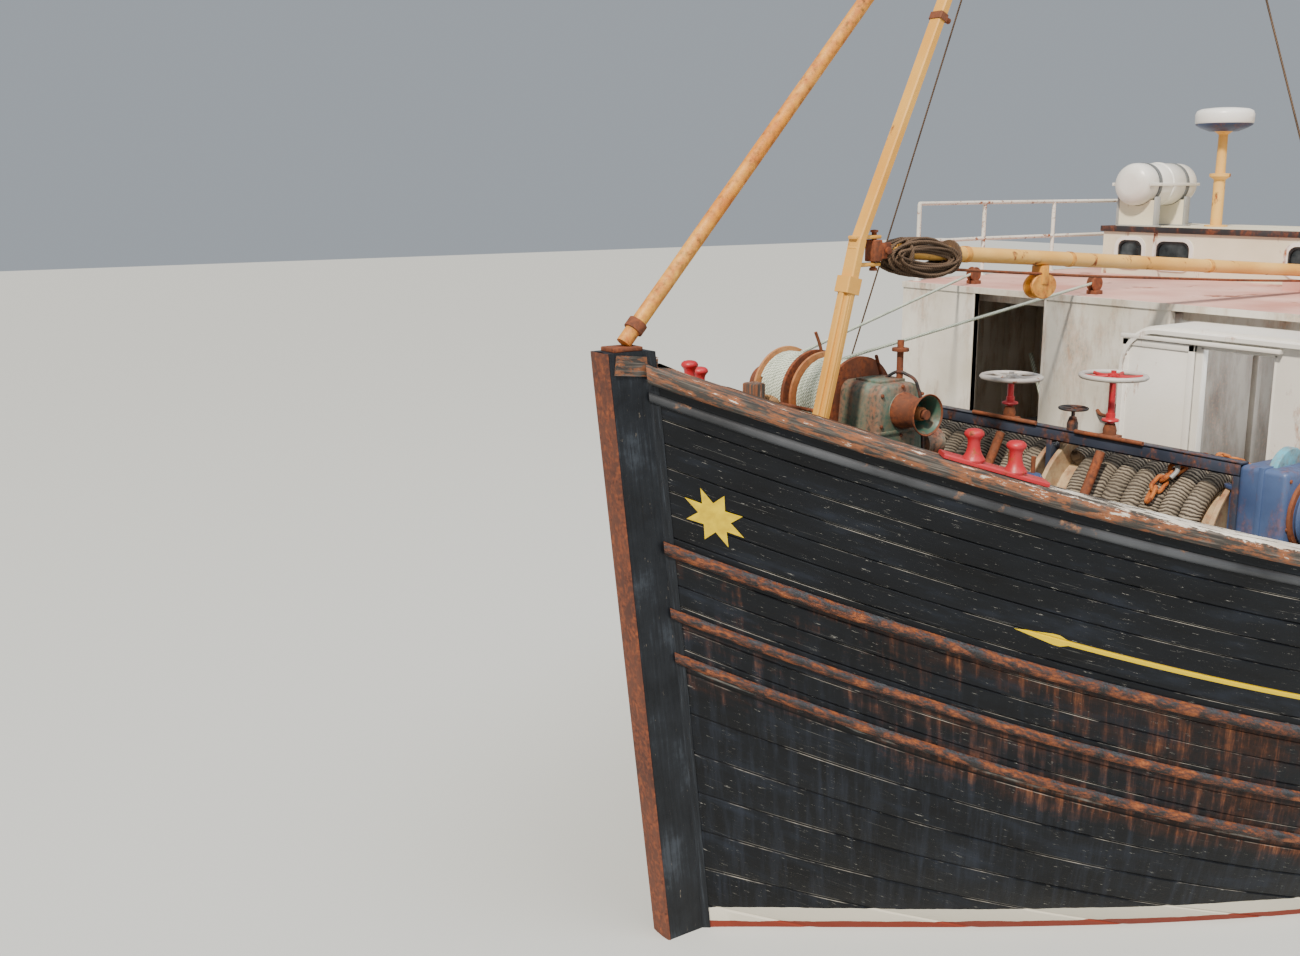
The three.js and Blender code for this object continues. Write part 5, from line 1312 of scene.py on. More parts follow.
# %% Warping heads
for side_name, y0, way, scale_y in (("port", 0.437, 1, 1.2), ("starboard", -0.887, -1, 1.0)):
    outside = [(0.0, 0.0), (0.128, 0.0), (0.132, 0.008), (0.126, 0.03), (0.112, 0.07), (0.105, 0.1),
               (0.108, 0.13), (0.122, 0.165), (0.142, 0.19), (0.149, 0.199)]
    lip = [(0.149, 0.204), (0.144, 0.206), (0.138, 0.2), (0.125, 0.18), (0.108, 0.145),
           (0.095, 0.105), (0.088, 0.075), (0.0, 0.075)]
    head = turned("head", [(r, d * scale_y * way) for r, d in outside + lip],
                  (WINCH_X, y0, WINCH_Z), "y", 40)
    dress(seat(head), f"head_{side_name}_body", rusty_iron, 40,
          name=f"warping_bell_{side_name}", stands_for=(f"warping_head_{side_name}",))
    lining = [(0.0, 0.074), (0.09, 0.074), (0.0965, 0.104), (0.1095, 0.144), (0.1265, 0.179),
              (0.137, 0.196)]
    lining += [(0.134, 0.198), (0.1235, 0.181), (0.1065, 0.146), (0.0935, 0.107), (0.086, 0.079),
               (0.0, 0.079)]
    cup = turned("cup", [(r, d * scale_y * way) for r, d in lining], (WINCH_X, y0, WINCH_Z), "y", 40)
    dress(seat(cup), f"head_{side_name}_body", green_cup, 40,
          name=f"warping_cup_{side_name}")
    nut = [(0.0, 0.07), (0.05, 0.07), (0.05, 0.155), (0.044, 0.165), (0.02, 0.17), (0.018, 0.19),
           (0.0, 0.192)]
    cap = turned("nut", [(r, d * scale_y * way) for r, d in nut], (WINCH_X, y0, WINCH_Z), "y", 12)
    dress(seat(cap), f"head_{side_name}_body", tan_flange, 30,
          name=f"warping_nut_{side_name}")

# %% Pipes, hose and valve by the winch
riser = tube("riser", [(WINCH_X - 0.1, 0.3, 2.84), (WINCH_X - 0.1, 0.3, 3.145)], 0.024, 16)
collar = turned("collar", [(0.0, 0.0), (0.06, 0.0), (0.062, 0.005), (0.06, 0.024), (0.0, 0.026)],
                (WINCH_X - 0.1, 0.3, 3.065), "z", 24)
rod = tube("rod", [(WINCH_X + 0.36, -0.95, 2.62), (WINCH_X + 0.36, -0.07, 2.62)], 0.014, 10)
lever = tube("lever", [(WINCH_X - 0.1, -0.44, 2.75), (WINCH_X, -0.44, 3.05),
                       (WINCH_X + 0.04, -0.445, 3.14)], 0.013, 10, 0.04)
lever_2 = tube("lever", [(WINCH_X - 0.15, 0.08, 2.84), (WINCH_X - 0.02, 0.14, 3.02)], 0.013, 10)
dress(seat(one_piece([riser, collar, rod, lever, lever_2], "winch_pipes")), "boat", rusty_iron,
      40)
hose = tube("winch_hose", [(WINCH_X - 0.05, 0.22, 2.87), (WINCH_X - 0.08, 0.3, 2.93),
                           (WINCH_X - 0.12, 0.44, 2.88), (WINCH_X - 0.16, 0.47, 2.7),
                           (WINCH_X - 0.2, 0.46, 2.3)], 0.012, 10, 0.05)
dress(seat(hose), "boat", black_iron, 60)
valve = box("valve", (WINCH_X + 0.02, 0.44, 2.2), (WINCH_X + 0.16, 0.6, 2.3), 0.02, 3)
neck = turned("neck", [(0.0, 0.0), (0.05, 0.0), (0.05, 0.02), (0.03, 0.03), (0.03, 0.1), (0.0, 0.1)],
              (WINCH_X + 0.1, 0.52, 2.29), "z", 20)
bent = tube("bent", [(WINCH_X + 0.05, 0.5, 2.25), (WINCH_X + 0.27, 0.48, 2.28),
                     (WINCH_X + 0.3, 0.4, 2.2)], 0.034, 14, 0.05)
dress(seat(one_piece([valve, neck, bent], "winch_valve")), "boat", teal_iron, 40)

# %% [markdown]
# ## Rope coils and hanks
# A coil is one rope laid round and round in a heap. Each turn wanders from the last,
# which is done here with slow seeded changes of radius and height.

# %% Coils
def coil(name, centre, radius, turns, lift, thick, finish, seed):
    """Rope laid in loose turns: radius across the heap, lift its height."""
    rng = random.Random(seed)
    path = []
    wobble = [(rng.uniform(0.6, 2.4), rng.uniform(0, 6.28), rng.uniform(0.3, 1.0)) for _ in range(4)]
    for n in range(int(turns * 22) + 1):
        a = 2 * math.pi * n / 22
        drift = sum(w * math.sin(a * f / 2.7 + p) for f, p, w in wobble) / 4
        r = radius * (1 + 0.22 * drift)
        rise = lift * (0.5 + 0.5 * math.sin(a * 0.31 + drift * 1.5)) + thick * 0.4 * drift
        path.append(Vector(centre) + Vector((r * math.cos(a), r * math.sin(a), rise)))
    made = sweep(name, path, disc(thick, 8))
    return dress(made, "boat", finish, 60)


bitt_at = spot(1.46, -0.6, 1.85)
bitt = box("bitt", bitt_at + Vector((-0.05, -0.05, 0)), bitt_at + Vector((0.05, 0.05, 1.0)), 0.012)
dress(bitt, "boat", rail_timber, 35, name="forward_bitt")
coil("rope_turns_on_bitt", bitt_at + Vector((0, 0, 0.76)), 0.13, 9, 0.13, 0.02, tan_rope, seed=5)
horn = tube("bitt_horn", [bitt_at + Vector((0, -0.2, 0.74)), bitt_at + Vector((0, 0.2, 0.74))],
            0.022, 12)
dress(horn, "boat", rusty_iron, 40)

# %% [markdown]
# ## Foremast and its brace
# The mast is a post made of two channels face to face, with a groove down its middle.
# It bends where the boom is hinged, and a tube that has rusted through its paint
# braces it from the stem.

# %% Mast
MAST_FOOT = spot(1.235, 0, 1.93)
MAST_BEND = spot(1.67, 0, 3.665)
MAST_TOP = spot(3.56, 0, 7.75)


def spar(name, a, b, w, d, c):
    """Box spar with half width w, half depth d and corners cut by c."""
    ring = [(-w + c, -d), (w - c, -d), (w, -d + c), (w, d - c), (w - c, d), (-w + c, d), (-w, d - c),
            (-w, -d + c)]
    return sweep(name, [a.lerp(b, t) for t in (0, 0.33, 0.66, 1)], ring)


bent = MAST_BEND + (MAST_BEND - MAST_FOOT).normalized() * 0.03
lower = spar("lower", MAST_FOOT, bent, 0.046, 0.028, 0.007)
lap = spar("lap", MAST_FOOT.lerp(MAST_BEND, 0.02), MAST_FOOT.lerp(MAST_BEND, 0.86), 0.02,
           0.046, 0.007)
strip = spar("strip", MAST_FOOT.lerp(MAST_BEND, 0.02), MAST_FOOT.lerp(MAST_BEND, 0.86), 0.048,
             0.011, 0.003)
upper = spar("upper", MAST_BEND - (MAST_TOP - MAST_BEND).normalized() * 0.03, MAST_TOP, 0.039,
             0.025, 0.007)
shoulder = spar("shoulder", MAST_FOOT.lerp(MAST_BEND, 0.85), MAST_FOOT.lerp(MAST_BEND, 0.9),
                0.052, 0.05, 0.006)
truck = turned("truck", [(0.0, -0.03), (0.052, -0.03), (0.052, 0.05), (0.042, 0.072), (0.0, 0.078)],
               MAST_TOP, (MAST_TOP - MAST_BEND).normalized(), 16)
chock = box("chock", (MAST_FOOT.x - 0.12, -0.12, 1.86), (MAST_FOOT.x + 0.12, 0.12, 1.955), 0.012)
lugs = [box("lug", spot(1.83, -0.03, z), spot(1.63, 0.03, z + 0.02), 0.006) for z in (3.545, 3.695)]
pin = turned("pin", [(0.0, -0.11), (0.022, -0.11), (0.022, -0.095), (0.014, -0.09), (0.014, 0.1),
                     (0.022, 0.1), (0.022, 0.112), (0.0, 0.115)], spot(1.8, 0, 3.63), "z", 16)
mast = one_piece([lower, lap, strip, upper, shoulder, truck, chock] + lugs, "mast_post")
dress(mast, "boat", ochre_post, 35, stands_for=("foremast",))
dress(pin, "boat", rusty_iron, 40, name="gooseneck_pin")

# %% Brace, its foot and the mast's ironwork
BRACE_Z = 6.25
brace_top = spot(1.67 + (3.56 - 1.67) * (BRACE_Z - 3.665) / (7.75 - 3.665), 0, BRACE_Z)
heel = spot(0.14, 0, rail_height(0) + 0.1)
brace = sweep("mast_brace", [heel.lerp(brace_top, n / 24) for n in range(25)], disc(0.038, 24))
dress(brace, "boat", rusty_spar, 40)
shoe = box("shoe", spot(0.212, -0.062, heel.z - 0.034), spot(0.048, 0.062, heel.z - 0.013), 0.004)
clasp = turned("clasp", [(0.036, 0.0), (0.05, 0.0), (0.05, 0.05), (0.036, 0.05)],
               heel.lerp(brace_top, 0.02), (brace_top - heel).normalized(), 24)
dress(one_piece([shoe, clasp], "brace_shoe"), "boat", rusty_iron, 40)
bands = []
for share in (0.3, 0.62):
    here = MAST_BEND.lerp(MAST_TOP, share)
    way = (MAST_TOP - MAST_BEND).normalized()
    bands.append(spar("band", here - way * 0.02, here + way * 0.02, 0.045, 0.031, 0.006))
    bands.append(turned("eye", [(0.0, 0.0), (0.016, 0.0), (0.016, 0.06), (0.0, 0.065)],
                        here + Vector((-0.026, 0, 0)), Vector((-1, 0, -0.3)).normalized(), 12))
dress(one_piece(bands, "mast_bands"), "boat", rusty_iron, 40)

# %% Gooseneck and boom
BOOM_FOOT = spot(1.86, 0, 3.63)
BOOM_TIP = spot(6.95, 0, 3.306)
boom_way = (BOOM_TIP - BOOM_FOOT).normalized()
fork = [box("fork", spot(1.895, y, 3.585), spot(1.82, y + 0.014, 3.675), 0.004)
        for y in (-0.04, 0.026)]
knuckle = box("block", spot(1.83, -0.04, 3.57), spot(1.768, 0.04, 3.69), 0.008, 3)
bolt = turned("bolt", [(0.0, -0.062), (0.02, -0.062), (0.02, -0.048), (0.012, -0.046), (0.012, 0.046),
                       (0.02, 0.048), (0.02, 0.06), (0.0, 0.062)], BOOM_FOOT, "y", 12)
dress(one_piece(fork + [knuckle, bolt], "gooseneck_iron"), "gooseneck_body", rusty_iron,
      35, stands_for=("gooseneck",))

eye = spar("eye", BOOM_FOOT - boom_way * 0.01, BOOM_FOOT + boom_way * 0.15, 0.019, 0.022, 0.006)
steps = [0.02 + 0.98 * n / 40 for n in range(41)]
pipe = sweep("pipe", [BOOM_FOOT.lerp(BOOM_TIP, t) for t in steps], disc(0.045, 28))
dress(one_piece([pipe, eye], "boom_tube"), "boom_body", buff_spar, 40,
      stands_for=("boom",))
rings = []
for t, wide in ((0.03, 0.05), (0.13, 0.04), (0.32, 0.03), (0.62, 0.04), (0.976, 0.07)):
    here = BOOM_FOOT.lerp(BOOM_TIP, t)
    proud = 0.058 if t > 0.9 else 0.0485
    rings.append(turned("ring", [(0.042, 0.0), (proud, 0.0), (proud, wide), (0.042, wide)], here,
                        boom_way, 28))
dress(one_piece(rings, "boom_bands"), "boom_body", rusty_spar, 35)

# %% [markdown]
# ## Wire, block and hanks on the boom
# When the boom isn't at work its wire is coiled up in long loops near the mast. A thin
# wire runs along under the boom, and a cheek block hangs a little further out.

# %% Boom gear
def along_boom(t, y=0.0, down=0.0):
    return BOOM_FOOT.lerp(BOOM_TIP, t) + Vector((0, y, -down))


rng = random.Random(11)
loops = []
for n in range(34 * 20 + 1):
    a = 2 * math.pi * n / 20
    turn_no = n / 20
    long = 0.24 + 0.04 * math.sin(turn_no * 2.1) + 0.016 * math.sin(turn_no * 7.3)
    tall = 0.066 + 0.03 * math.sin(turn_no * 1.3 + 1)
    y = 0.075 * math.sin(turn_no * 0.9) + 0.012 * math.sin(turn_no * 5.1)
    rise = -0.03 + tall * math.sin(a) + 0.015 * math.sin(turn_no * 3.7)
    loops.append(along_boom(0.058) + boom_way * (long * math.cos(a)) + Vector((0, y, rise)))
hank = sweep("boom_wire_hank", loops, disc(0.0085, 7))
dress(hank, "boom_body", dark_wire, 60)
lashing = [turned("lashing", [(0.042, 0.0), (0.098, 0.0), (0.1, 0.008), (0.098, 0.016),
                              (0.042, 0.016)], along_boom(t, 0, 0.02), boom_way, 20)
           for t in (0.028, 0.105)]
dress(one_piece(lashing, "hank_lashings"), "boom_body", dark_wire, 40)
under_wire = tube("boom_under_wire", [along_boom(0.1, 0.03, 0.09), along_boom(0.35, 0.03, 0.1),
                                      along_boom(0.7, 0.03, 0.09), along_boom(0.97, 0.0, 0.07)],
                  0.009, 8, 0.2)
dress(under_wire, "boom_body", rusty_iron, 60)
hang = along_boom(0.27, 0, 0.17)
cheeks = []
for y in (-0.03, 0.03):
    cheek = turned("cheek", [(0.0, -0.008), (0.075, -0.008), (0.08, 0.0), (0.075, 0.008),
                             (0.0, 0.008)], hang + Vector((0, y, 0)), "y", 24)
    for vertex in cheek.data.vertices:
        vertex.co.x = hang.x + (vertex.co.x - hang.x) * 1.5
    cheeks.append(cheek)
strap = box("strap", hang + Vector((-0.03, -0.045, 0.01)), hang + Vector((0.03, 0.045, 0.125)), 0.006)
sheave = turned("sheave", [(0.0, -0.02), (0.068, -0.02), (0.055, 0.0), (0.068, 0.02), (0.0, 0.02)],
                hang, "y", 24)
dress(one_piece(cheeks + [strap, sheave], "boom_block"), "boom_body", rusty_spar, 35)

# %% [markdown]
# ## Companion casing
# The white casing in front of the shelter has a raised rim with rusty bolt heads, and
# a doorway with a sliding leaf. Its plates keep the solids' shape, and the rim, the
# track and the leaf's stiffeners are laid on them.

# %% Casing rim and door
CASING_X = STEM_HEAD - 4.3
CASING_SIDES = (-0.13, 2.42)
CASING_FOOT, CASING_TOP = 1.4, 3.07
SHOULDER = 0.28  # radius of the casing's shoulders
RIM_INSET = 0.037  # from the casing's edge to the middle of the rim


def rim_line(proud, steps):
    """Path up the rim's middle, over the two rounded shoulders and down, so far off the plate."""
    x = CASING_X + proud
    y0, y1 = CASING_SIDES[0] + RIM_INSET, CASING_SIDES[1] - RIM_INSET
    corner = SHOULDER - RIM_INSET
    bend = CASING_TOP - RIM_INSET - corner
    halfway = mix(CASING_FOOT, bend, 0.5)
    angles = [math.pi / 2 * n / steps for n in range(steps + 1)]
    path = [Vector((x, y1, CASING_FOOT)), Vector((x, y1, halfway))]
    path += [Vector((x, y1 - corner + corner * math.cos(a), bend + corner * math.sin(a)))
             for a in angles]
    path += [Vector((x, y0 + corner - corner * math.sin(a), bend + corner * math.cos(a)))
             for a in angles]
    return path + [Vector((x, y0, halfway)), Vector((x, y0, CASING_FOOT))]


rim = sweep("casing_rim", rim_line(0.012, 10),
            [(-0.014, -0.036), (0.012, -0.036), (0.018, -0.03), (0.018, 0.03), (0.012, 0.036),
             (-0.014, 0.036)])
dress(rim, "boat", white_wall, 40)
bolt_line = rim_line(0.03, 3)
bolts, gone = [], 0.1
for a, b in zip(bolt_line, bolt_line[1:]):
    reach = (b - a).length
    while gone < reach:
        bolts.append(a.lerp(b, gone / reach))
        gone += 0.18
    gone -= reach
dress(bolt_heads("casing_bolts", bolts, (1, 0, 0), 0.013, 0.008), "boat", rusty_iron,
      35)

leaf_x = STEM_HEAD - 4.294
leaf = box("leaf", (leaf_x + 0.006, -0.1, 1.44), (leaf_x + 0.018, 0.43, 2.97), 0.003)
stiles = [box("stile", (leaf_x, y, 1.44), (leaf_x + 0.028, y + 0.045, 2.97), 0.004)
          for y in (-0.1, 0.385)]
stiles += [box("stile", (leaf_x, -0.1, z), (leaf_x + 0.028, 0.43, z + 0.045), 0.004)
           for z in (1.44, 2.18, 2.925)]
dress(one_piece([leaf] + stiles, "casing_door_leaf"), "casing_door_body", white_wall,
      35, stands_for=("casing_door",))
grip = tube("grip", [(leaf_x + 0.024, 0.4, 2.1), (leaf_x + 0.05, 0.4, 2.1),
                     (leaf_x + 0.05, 0.4, 2.28), (leaf_x + 0.024, 0.4, 2.28)], 0.007, 10, 0.012)
dress(grip, "casing_door_body", galvanised, 40, name="casing_door_grip")
track = [box("track", (CASING_X, -0.11, 2.976), (CASING_X + 0.05, 1.0, 3.002), 0.003),
         box("track", (CASING_X, -0.11, 1.405), (CASING_X + 0.05, 1.0, 1.432), 0.003)]
dress(one_piece(track, "casing_door_track"), "boat", white_wall, 35)
lining = [box("lining", (CASING_X - 0.055, y, 1.45), (CASING_X + 0.002, y + 0.014, 2.96), 0.002)
          for y in (0.46, 0.946)]
lining.append(box("lining", (CASING_X - 0.055, 0.46, 2.946), (CASING_X + 0.002, 0.96, 2.96), 0.002))
dress(one_piece(lining, "casing_door_lining"), "boat", white_wall, 35)
black_plastic = painted_steel("scuffed_black_polyethylene", "#141517", "#2b2c2f", 0.0, 0.05, 1.0, 0.5)
tubs = []
for y, z, turn in ((0.66, 1.43, 0.1), (0.93, 1.43, 0.0), (0.72, 1.66, 0.05)):
    tub = box("tub", spot(4.68, y - 0.16, z), spot(4.42, y + 0.13, z + 0.21), 0.012, 2, turn)
    lip = box("lip", spot(4.7, y - 0.18, z + 0.19), spot(4.4, y + 0.15, z + 0.215), 0.006, 2, turn)
    tubs += [tub, lip]
dress(one_piece(tubs, "black_tubs"), "boat", black_plastic, 35)

# %% [markdown]
# ## Shelter
# The shelter's plates are old white paint over rust. Frames stand inside its walls,
# an angle bar edges its roof, and its roof was given red lead that feet have worn
# pale.

# %% Shelter trim
def shelter_y(aft):
    return half_beam(aft - RABBET) - 0.03


SHELTER_TOP = 3.17
ROOF_UNDER = SHELTER_TOP - 0.042
edge = [spot(4.744, y, SHELTER_TOP - 0.017) for y in (-2.6, -1.3, 0.0, 1.3, 2.6)]
bar = sweep("roof_edge_front", edge, [(-0.008, -0.026), (0.006, -0.026), (0.006, 0.02), (0.0, 0.0215),
                                      (-0.008, 0.0215)])
gutters = []
for side in (1, -1):
    line = [spot(aft, side * (shelter_y(aft) + 0.003), SHELTER_TOP - 0.015)
            for aft in np.linspace(4.75, 9.0, 12)]
    gutters.append(sweep("gutter", line, [(-0.008, -0.024), (0.008, -0.024), (0.008, 0.02),
                                          (-0.008, 0.02)]))
dress(one_piece([bar] + gutters, "shelter_roof_edge"), "boat", stained_wall, 35)
frames = []
for aft in np.arange(4.95, 9.0, 0.45):
    for side in (1, -1):
        y = shelter_y(aft) - 0.05
        low = rail_height(aft - RABBET) + 0.02
        y0, y1 = sorted((side * y, side * (y - 0.07)))
        frames.append(box("rib", spot(aft + 0.03, y0, low), spot(aft - 0.03, y1, ROOF_UNDER), 0.004,
                          1))
    half = shelter_y(aft) - 0.055
    frames.append(box("beam", spot(aft + 0.025, -half, 3.05), spot(aft - 0.025, half, ROOF_UNDER),
                      0.004, 1))
dress(one_piece(frames, "shelter_frames"), "boat", stained_wall, 35)
door_edges = []
for y in (-1.83, -1.13, -0.09, 2.23):
    door_edges.append(box("edge", spot(4.805, y, 1.34), spot(4.742, y + 0.02, ROOF_UNDER), 0.003))
door_edges.append(box("edge", spot(4.805, -1.83, 1.31), spot(4.742, -1.11, 1.335), 0.003))
dress(one_piece(door_edges, "shelter_door_edges"), "boat", stained_wall, 35)
lines = [tube("line", [spot(4.742, -0.6, 2.35), spot(4.71, -0.55, 2.33), spot(4.71, -0.2, 2.3)],
              0.014, 8, 0.02),
         tube("line", [spot(4.71, -0.35, 2.3), spot(4.7, -0.3, 2.05), spot(4.7, -0.32, 1.9)],
              0.01, 8, 0.02),
         tube("line", [spot(4.72, -0.45, 2.42), spot(4.72, -0.45, 2.2)], 0.018, 10)]
dress(one_piece(lines, "door_bar"), "boat", rusty_iron, 40)

# %% Handrails
for side_name, side in (("port", 1), ("starboard", -1)):
    places = [spot(aft, side * (shelter_y(aft) - 0.045), SHELTER_TOP + 0.0004)
              for aft in (4.9, 5.9, 6.9, 7.9, 8.88)]
    pieces = []
    for place in places:
        pieces.append(tube("post", [place, place + Vector((0, 0, 0.648))], 0.018, 14))
        pieces.append(turned("foot", [(0.0, 0.0), (0.038, 0.0), (0.038, 0.008), (0.0, 0.01)],
                             place, "z", 14))
    for lift in (0.33, 0.65):
        pieces.append(tube("rail", [place + Vector((0, 0, lift)) for place in places],
                           0.017, 14, 0.05))
    dress(one_piece(pieces, f"handrail_tubes_{side_name}"), "boat", white_rail, 45,
          stands_for=(f"handrail_{side_name}",))

# %% [markdown]
# ## Gear on the roof
# On the shelter's roof stand the radar on its post, the liferaft in its canister and
# the trunk with its windows. The canister is two halves held by a lip and straps.

# %% Radar and liferaft
TRUNK_TOP = 3.6
post_at = spot(7.8, -1.65, TRUNK_TOP + 0.0004)
post = turned("post", [(0.0, 0.0), (0.1, 0.0), (0.1, 0.012), (0.05, 0.014), (0.05, 0.42),
                       (0.09, 0.45), (0.09, 0.475), (0.043, 0.48), (0.04, 0.82), (0.09, 0.86),
                       (0.0, 0.86)], post_at, "z", 28)
dress(post, "boat", buff_spar, 35, name="radar_post", stands_for=("radar",))
radome_paint = painted_steel("white_gelcoat_on_radome", "#e8e8e4", "#d8d8d2", 0.0, 0.1, 1.0, 0.3)
dome = [(0.0, 0.03), (0.2, 0.03), (0.236, 0.05), (0.248, 0.07), (0.249, 0.14), (0.236, 0.17),
        (0.2, 0.187), (0.1, 0.198), (0.0, 0.202)]
dress(turned("radome", dome, spot(7.8, -1.65, 4.46), "z", 56), "boat", radome_paint,
      50)
base = [(0.0, -0.01), (0.12, -0.01), (0.2, 0.02), (0.238, 0.044), (0.243, 0.058), (0.0, 0.06)]
dress(turned("radome_base", base, spot(7.8, -1.65, 4.46), "z", 56), "boat", blue_box,
      40)
RAFT_AT = spot(7.93, -2.1, 3.98)
shell = [(0.0, 0.0), (0.085, 0.0), (0.105, 0.004), (0.154, 0.024), (0.176, 0.047), (0.187, 0.075),
         (0.19, 0.108), (0.19, 0.176), (0.185, 0.186), (0.185, 0.234), (0.19, 0.244), (0.19, 0.396),
         (0.199, 0.404)]
shell += [(0.199, 0.436), (0.19, 0.444), (0.19, 0.596), (0.185, 0.606), (0.185, 0.654), (0.19, 0.664),
          (0.19, 0.732), (0.187, 0.765), (0.176, 0.793), (0.154, 0.816), (0.105, 0.836),
          (0.085, 0.84), (0.0, 0.84)]
gelcoat = painted_steel("white_gelcoat_on_canister", "#e6e5df", "#cfcdc4", 0.02, 0.1, 1.0, 0.3,
                        bare="#a9a49a")
dress(turned("liferaft_shell", shell, RAFT_AT, Vector((1, 0, 0)), 48), "boat", gelcoat,
      40, stands_for=("liferaft_canister",))
lip = [box("lip", RAFT_AT + Vector((0.035, y, -0.014)), RAFT_AT + Vector((0.805, y + 0.012, 0.014)),
           0.003) for y in (-0.2, 0.188)]
dress(one_piece(lip, "liferaft_lip"), "boat", gelcoat, 40)
webbing, tree, shader = new_finish("grey_polyester_webbing_45mm", Roughness=0.9)
weave = put(tree, "TexWave", {"Vector": put(tree, "TexCoord").outputs["Object"], "Scale": 90.0,
                              "Distortion": 1.0})
tone = put(tree, "ValToRGB", {"Fac": weave.outputs["Fac"]}, [(0.3, "#54585a"), (0.7, "#7b7f80")])
tree.links.new(tone.outputs[0], shader.inputs["Base Color"])
straps = [turned("strap", [(0.185, 0.0), (0.1935, 0.0), (0.1935, 0.04), (0.185, 0.04)],
                 RAFT_AT + Vector((x, 0, 0)), Vector((1, 0, 0)), 48) for x in (0.19, 0.61)]
dress(one_piece(straps, "liferaft_straps"), "boat", webbing, 40)
cradle = []
for aft in (7.23, 7.69):
    x = STEM_HEAD - aft - 0.03
    for y in (-2.304, -1.92):
        cradle.append(box("leg", (x - 0.034, y, TRUNK_TOP),
                          (x + 0.034, y + 0.022, TRUNK_TOP + 0.27), 0.003))
    cradle.append(box("foot", (x - 0.045, -2.3, TRUNK_TOP),
                      (x + 0.045, -1.88, TRUNK_TOP + 0.012), 0.003))
dress(one_piece(cradle, "liferaft_cradle_plates"), "boat", galvanised, 35)

# %% [markdown]
# ## Windows
# A window is a pane in a rubber seal in an alloy or painted frame. One function lays
# the frame and the pane on a wall, and the panes are smooth glass, coloured dark as painted
# shade for the unlit rooms behind them.

# %% Glass, seal and a window
glass_pane, tree, shader = new_finish("window_glass_6mm_dark_as_painted_shade", Roughness=0.06, IOR=1.5)
here = put(tree, "TexCoord").outputs["Object"]
salt = put(tree, "TexNoise", {"Vector": here, "Scale": 7.0, "Detail": 7.0})
# The dark base colour stands in for the unlit room behind the glass: painted shade. The paler mottle is
# salt haze
haze = put(tree, "ValToRGB", {"Fac": salt}, [(0.45, "#171d20"), (0.75, "#4b5458")])
dull = put(tree, "MapRange", {"Value": salt, "From Min": 0.4, "From Max": 0.8, "To Min": 0.05,
                              "To Max": 0.3})
tree.links.new(haze.outputs[0], shader.inputs["Base Color"])
tree.links.new(dull.outputs[0], shader.inputs["Roughness"])
rubber, tree, shader = new_finish("black_rubber_seal_12mm", Roughness=0.6)
fine = put(tree, "TexNoise", {"Vector": put(tree, "TexCoord").outputs["Object"], "Scale": 40.0,
                              "Detail": 5.0})
tone = put(tree, "ValToRGB", {"Fac": fine}, [(0.35, "#101011"), (0.7, "#2b2b2c")])
tree.links.new(tone.outputs[0], shader.inputs["Base Color"])


def rounded(half_w, half_h, corner, steps=5):
    """Outline of a rounded rectangle."""
    points = []
    for k, (sx, sy) in enumerate(((1, 1), (-1, 1), (-1, -1), (1, -1))):
        for n in range(steps + 1):
            a = math.pi / 2 * (k + n / steps)
            points.append((sx * (half_w - corner) + corner * math.cos(a),
                           sy * (half_h - corner) + corner * math.sin(a)))
    return points


def window(centre, across, half_w, half_h, corner, proud=0.012, width=0.032):
    """Frame, seal and pane at centre; across is the wall's horizontal direction, seen from outside."""
    centre, across, rise = Vector(centre), Vector(across), Vector((0, 0, 1))
    out = across.cross(rise)

    def edge(grow, round_off):
        outline = rounded(half_w + grow, half_h + grow, round_off)
        return [centre + across * a + rise * b for a, b in outline]

    made = []
    for name, spread, inset, depth, back in (("frame", width, 0.002, proud, 0.004),
                                             ("seal", -0.006, 0.018, proud * 0.5, 0.02)):
        ring = edge(spread, corner + max(spread, 0))
        inner = edge(-inset, corner)
        count = len(ring)
        section = ((ring, -back), (ring, depth), (inner, depth), (inner, -back))

        def where(u, v):
            line, lift = section[round(v * 4) % 4]
            return line[round(u * count) % count] + out * lift

        made.append(sheet(name, count, 4, where, lambda u, v: (u * 2, v * 0.1), close=False))
        outward(made[-1], 1e-5)
    pane = flat_face([place - out * 0.012 for place in edge(-0.004, corner)])
    modify(pane, "SOLIDIFY", thickness=0.006, offset=0.0)
    return made[0], made[1], pane


def glaze(name, body, windows, frame_finish):
    """Joins the frames, seals and panes of several windows into three pieces."""
    frames, seals, panes = zip(*windows)
    dress(one_piece(list(frames), name + "_frames"), body, frame_finish, 35)
    dress(one_piece(list(seals), name + "_seals"), body, rubber, 35)
    dress(one_piece(list(panes), name + "_glass"), body, glass_pane, 35)


# %% Trunk and wheelhouse windows
HOUSE_FRONT, HOUSE_BACK, HOUSE_HALF = 9.4, 11.8, 1.3  # metres aft of the stem head, and half the breadth
front_x = STEM_HEAD - 7.05
trunk = [window((front_x, y, SHELTER_TOP + 0.2), (0, 1, 0), half, 0.116, 0.07)
         for y, half in ((-2.01, 0.126), (-1.58, 0.166), (-0.37, 0.166))]
glaze("trunk_windows", "boat", trunk, white_wall)
brow = [box("brow", (front_x - 0.03, -2.325, TRUNK_TOP - 0.045),
            (front_x + 0.025, 0.32, TRUNK_TOP + 0.006), 0.006),
        box("brow", spot(8.45, -2.325, TRUNK_TOP - 0.045),
            (front_x - 0.03, -2.297, TRUNK_TOP + 0.006), 0.006),
        box("brow", spot(8.45, 0.297, TRUNK_TOP - 0.045),
            (front_x - 0.03, 0.32, TRUNK_TOP + 0.006), 0.006)]
dress(one_piece(brow, "trunk_brow"), "boat", black_iron, 35)
house_x = STEM_HEAD - HOUSE_FRONT
ahead = [window((house_x, y * 0.99, 4.47), (0, 1, 0), 0.2, 0.29, 0.05) for y in (-1, -0.5, 0, 0.5, 1)]
astern = [window(spot(HOUSE_BACK, y, 4.47), (0, -1, 0), 0.3, 0.29, 0.05) for y in (-0.65, 0.65)]
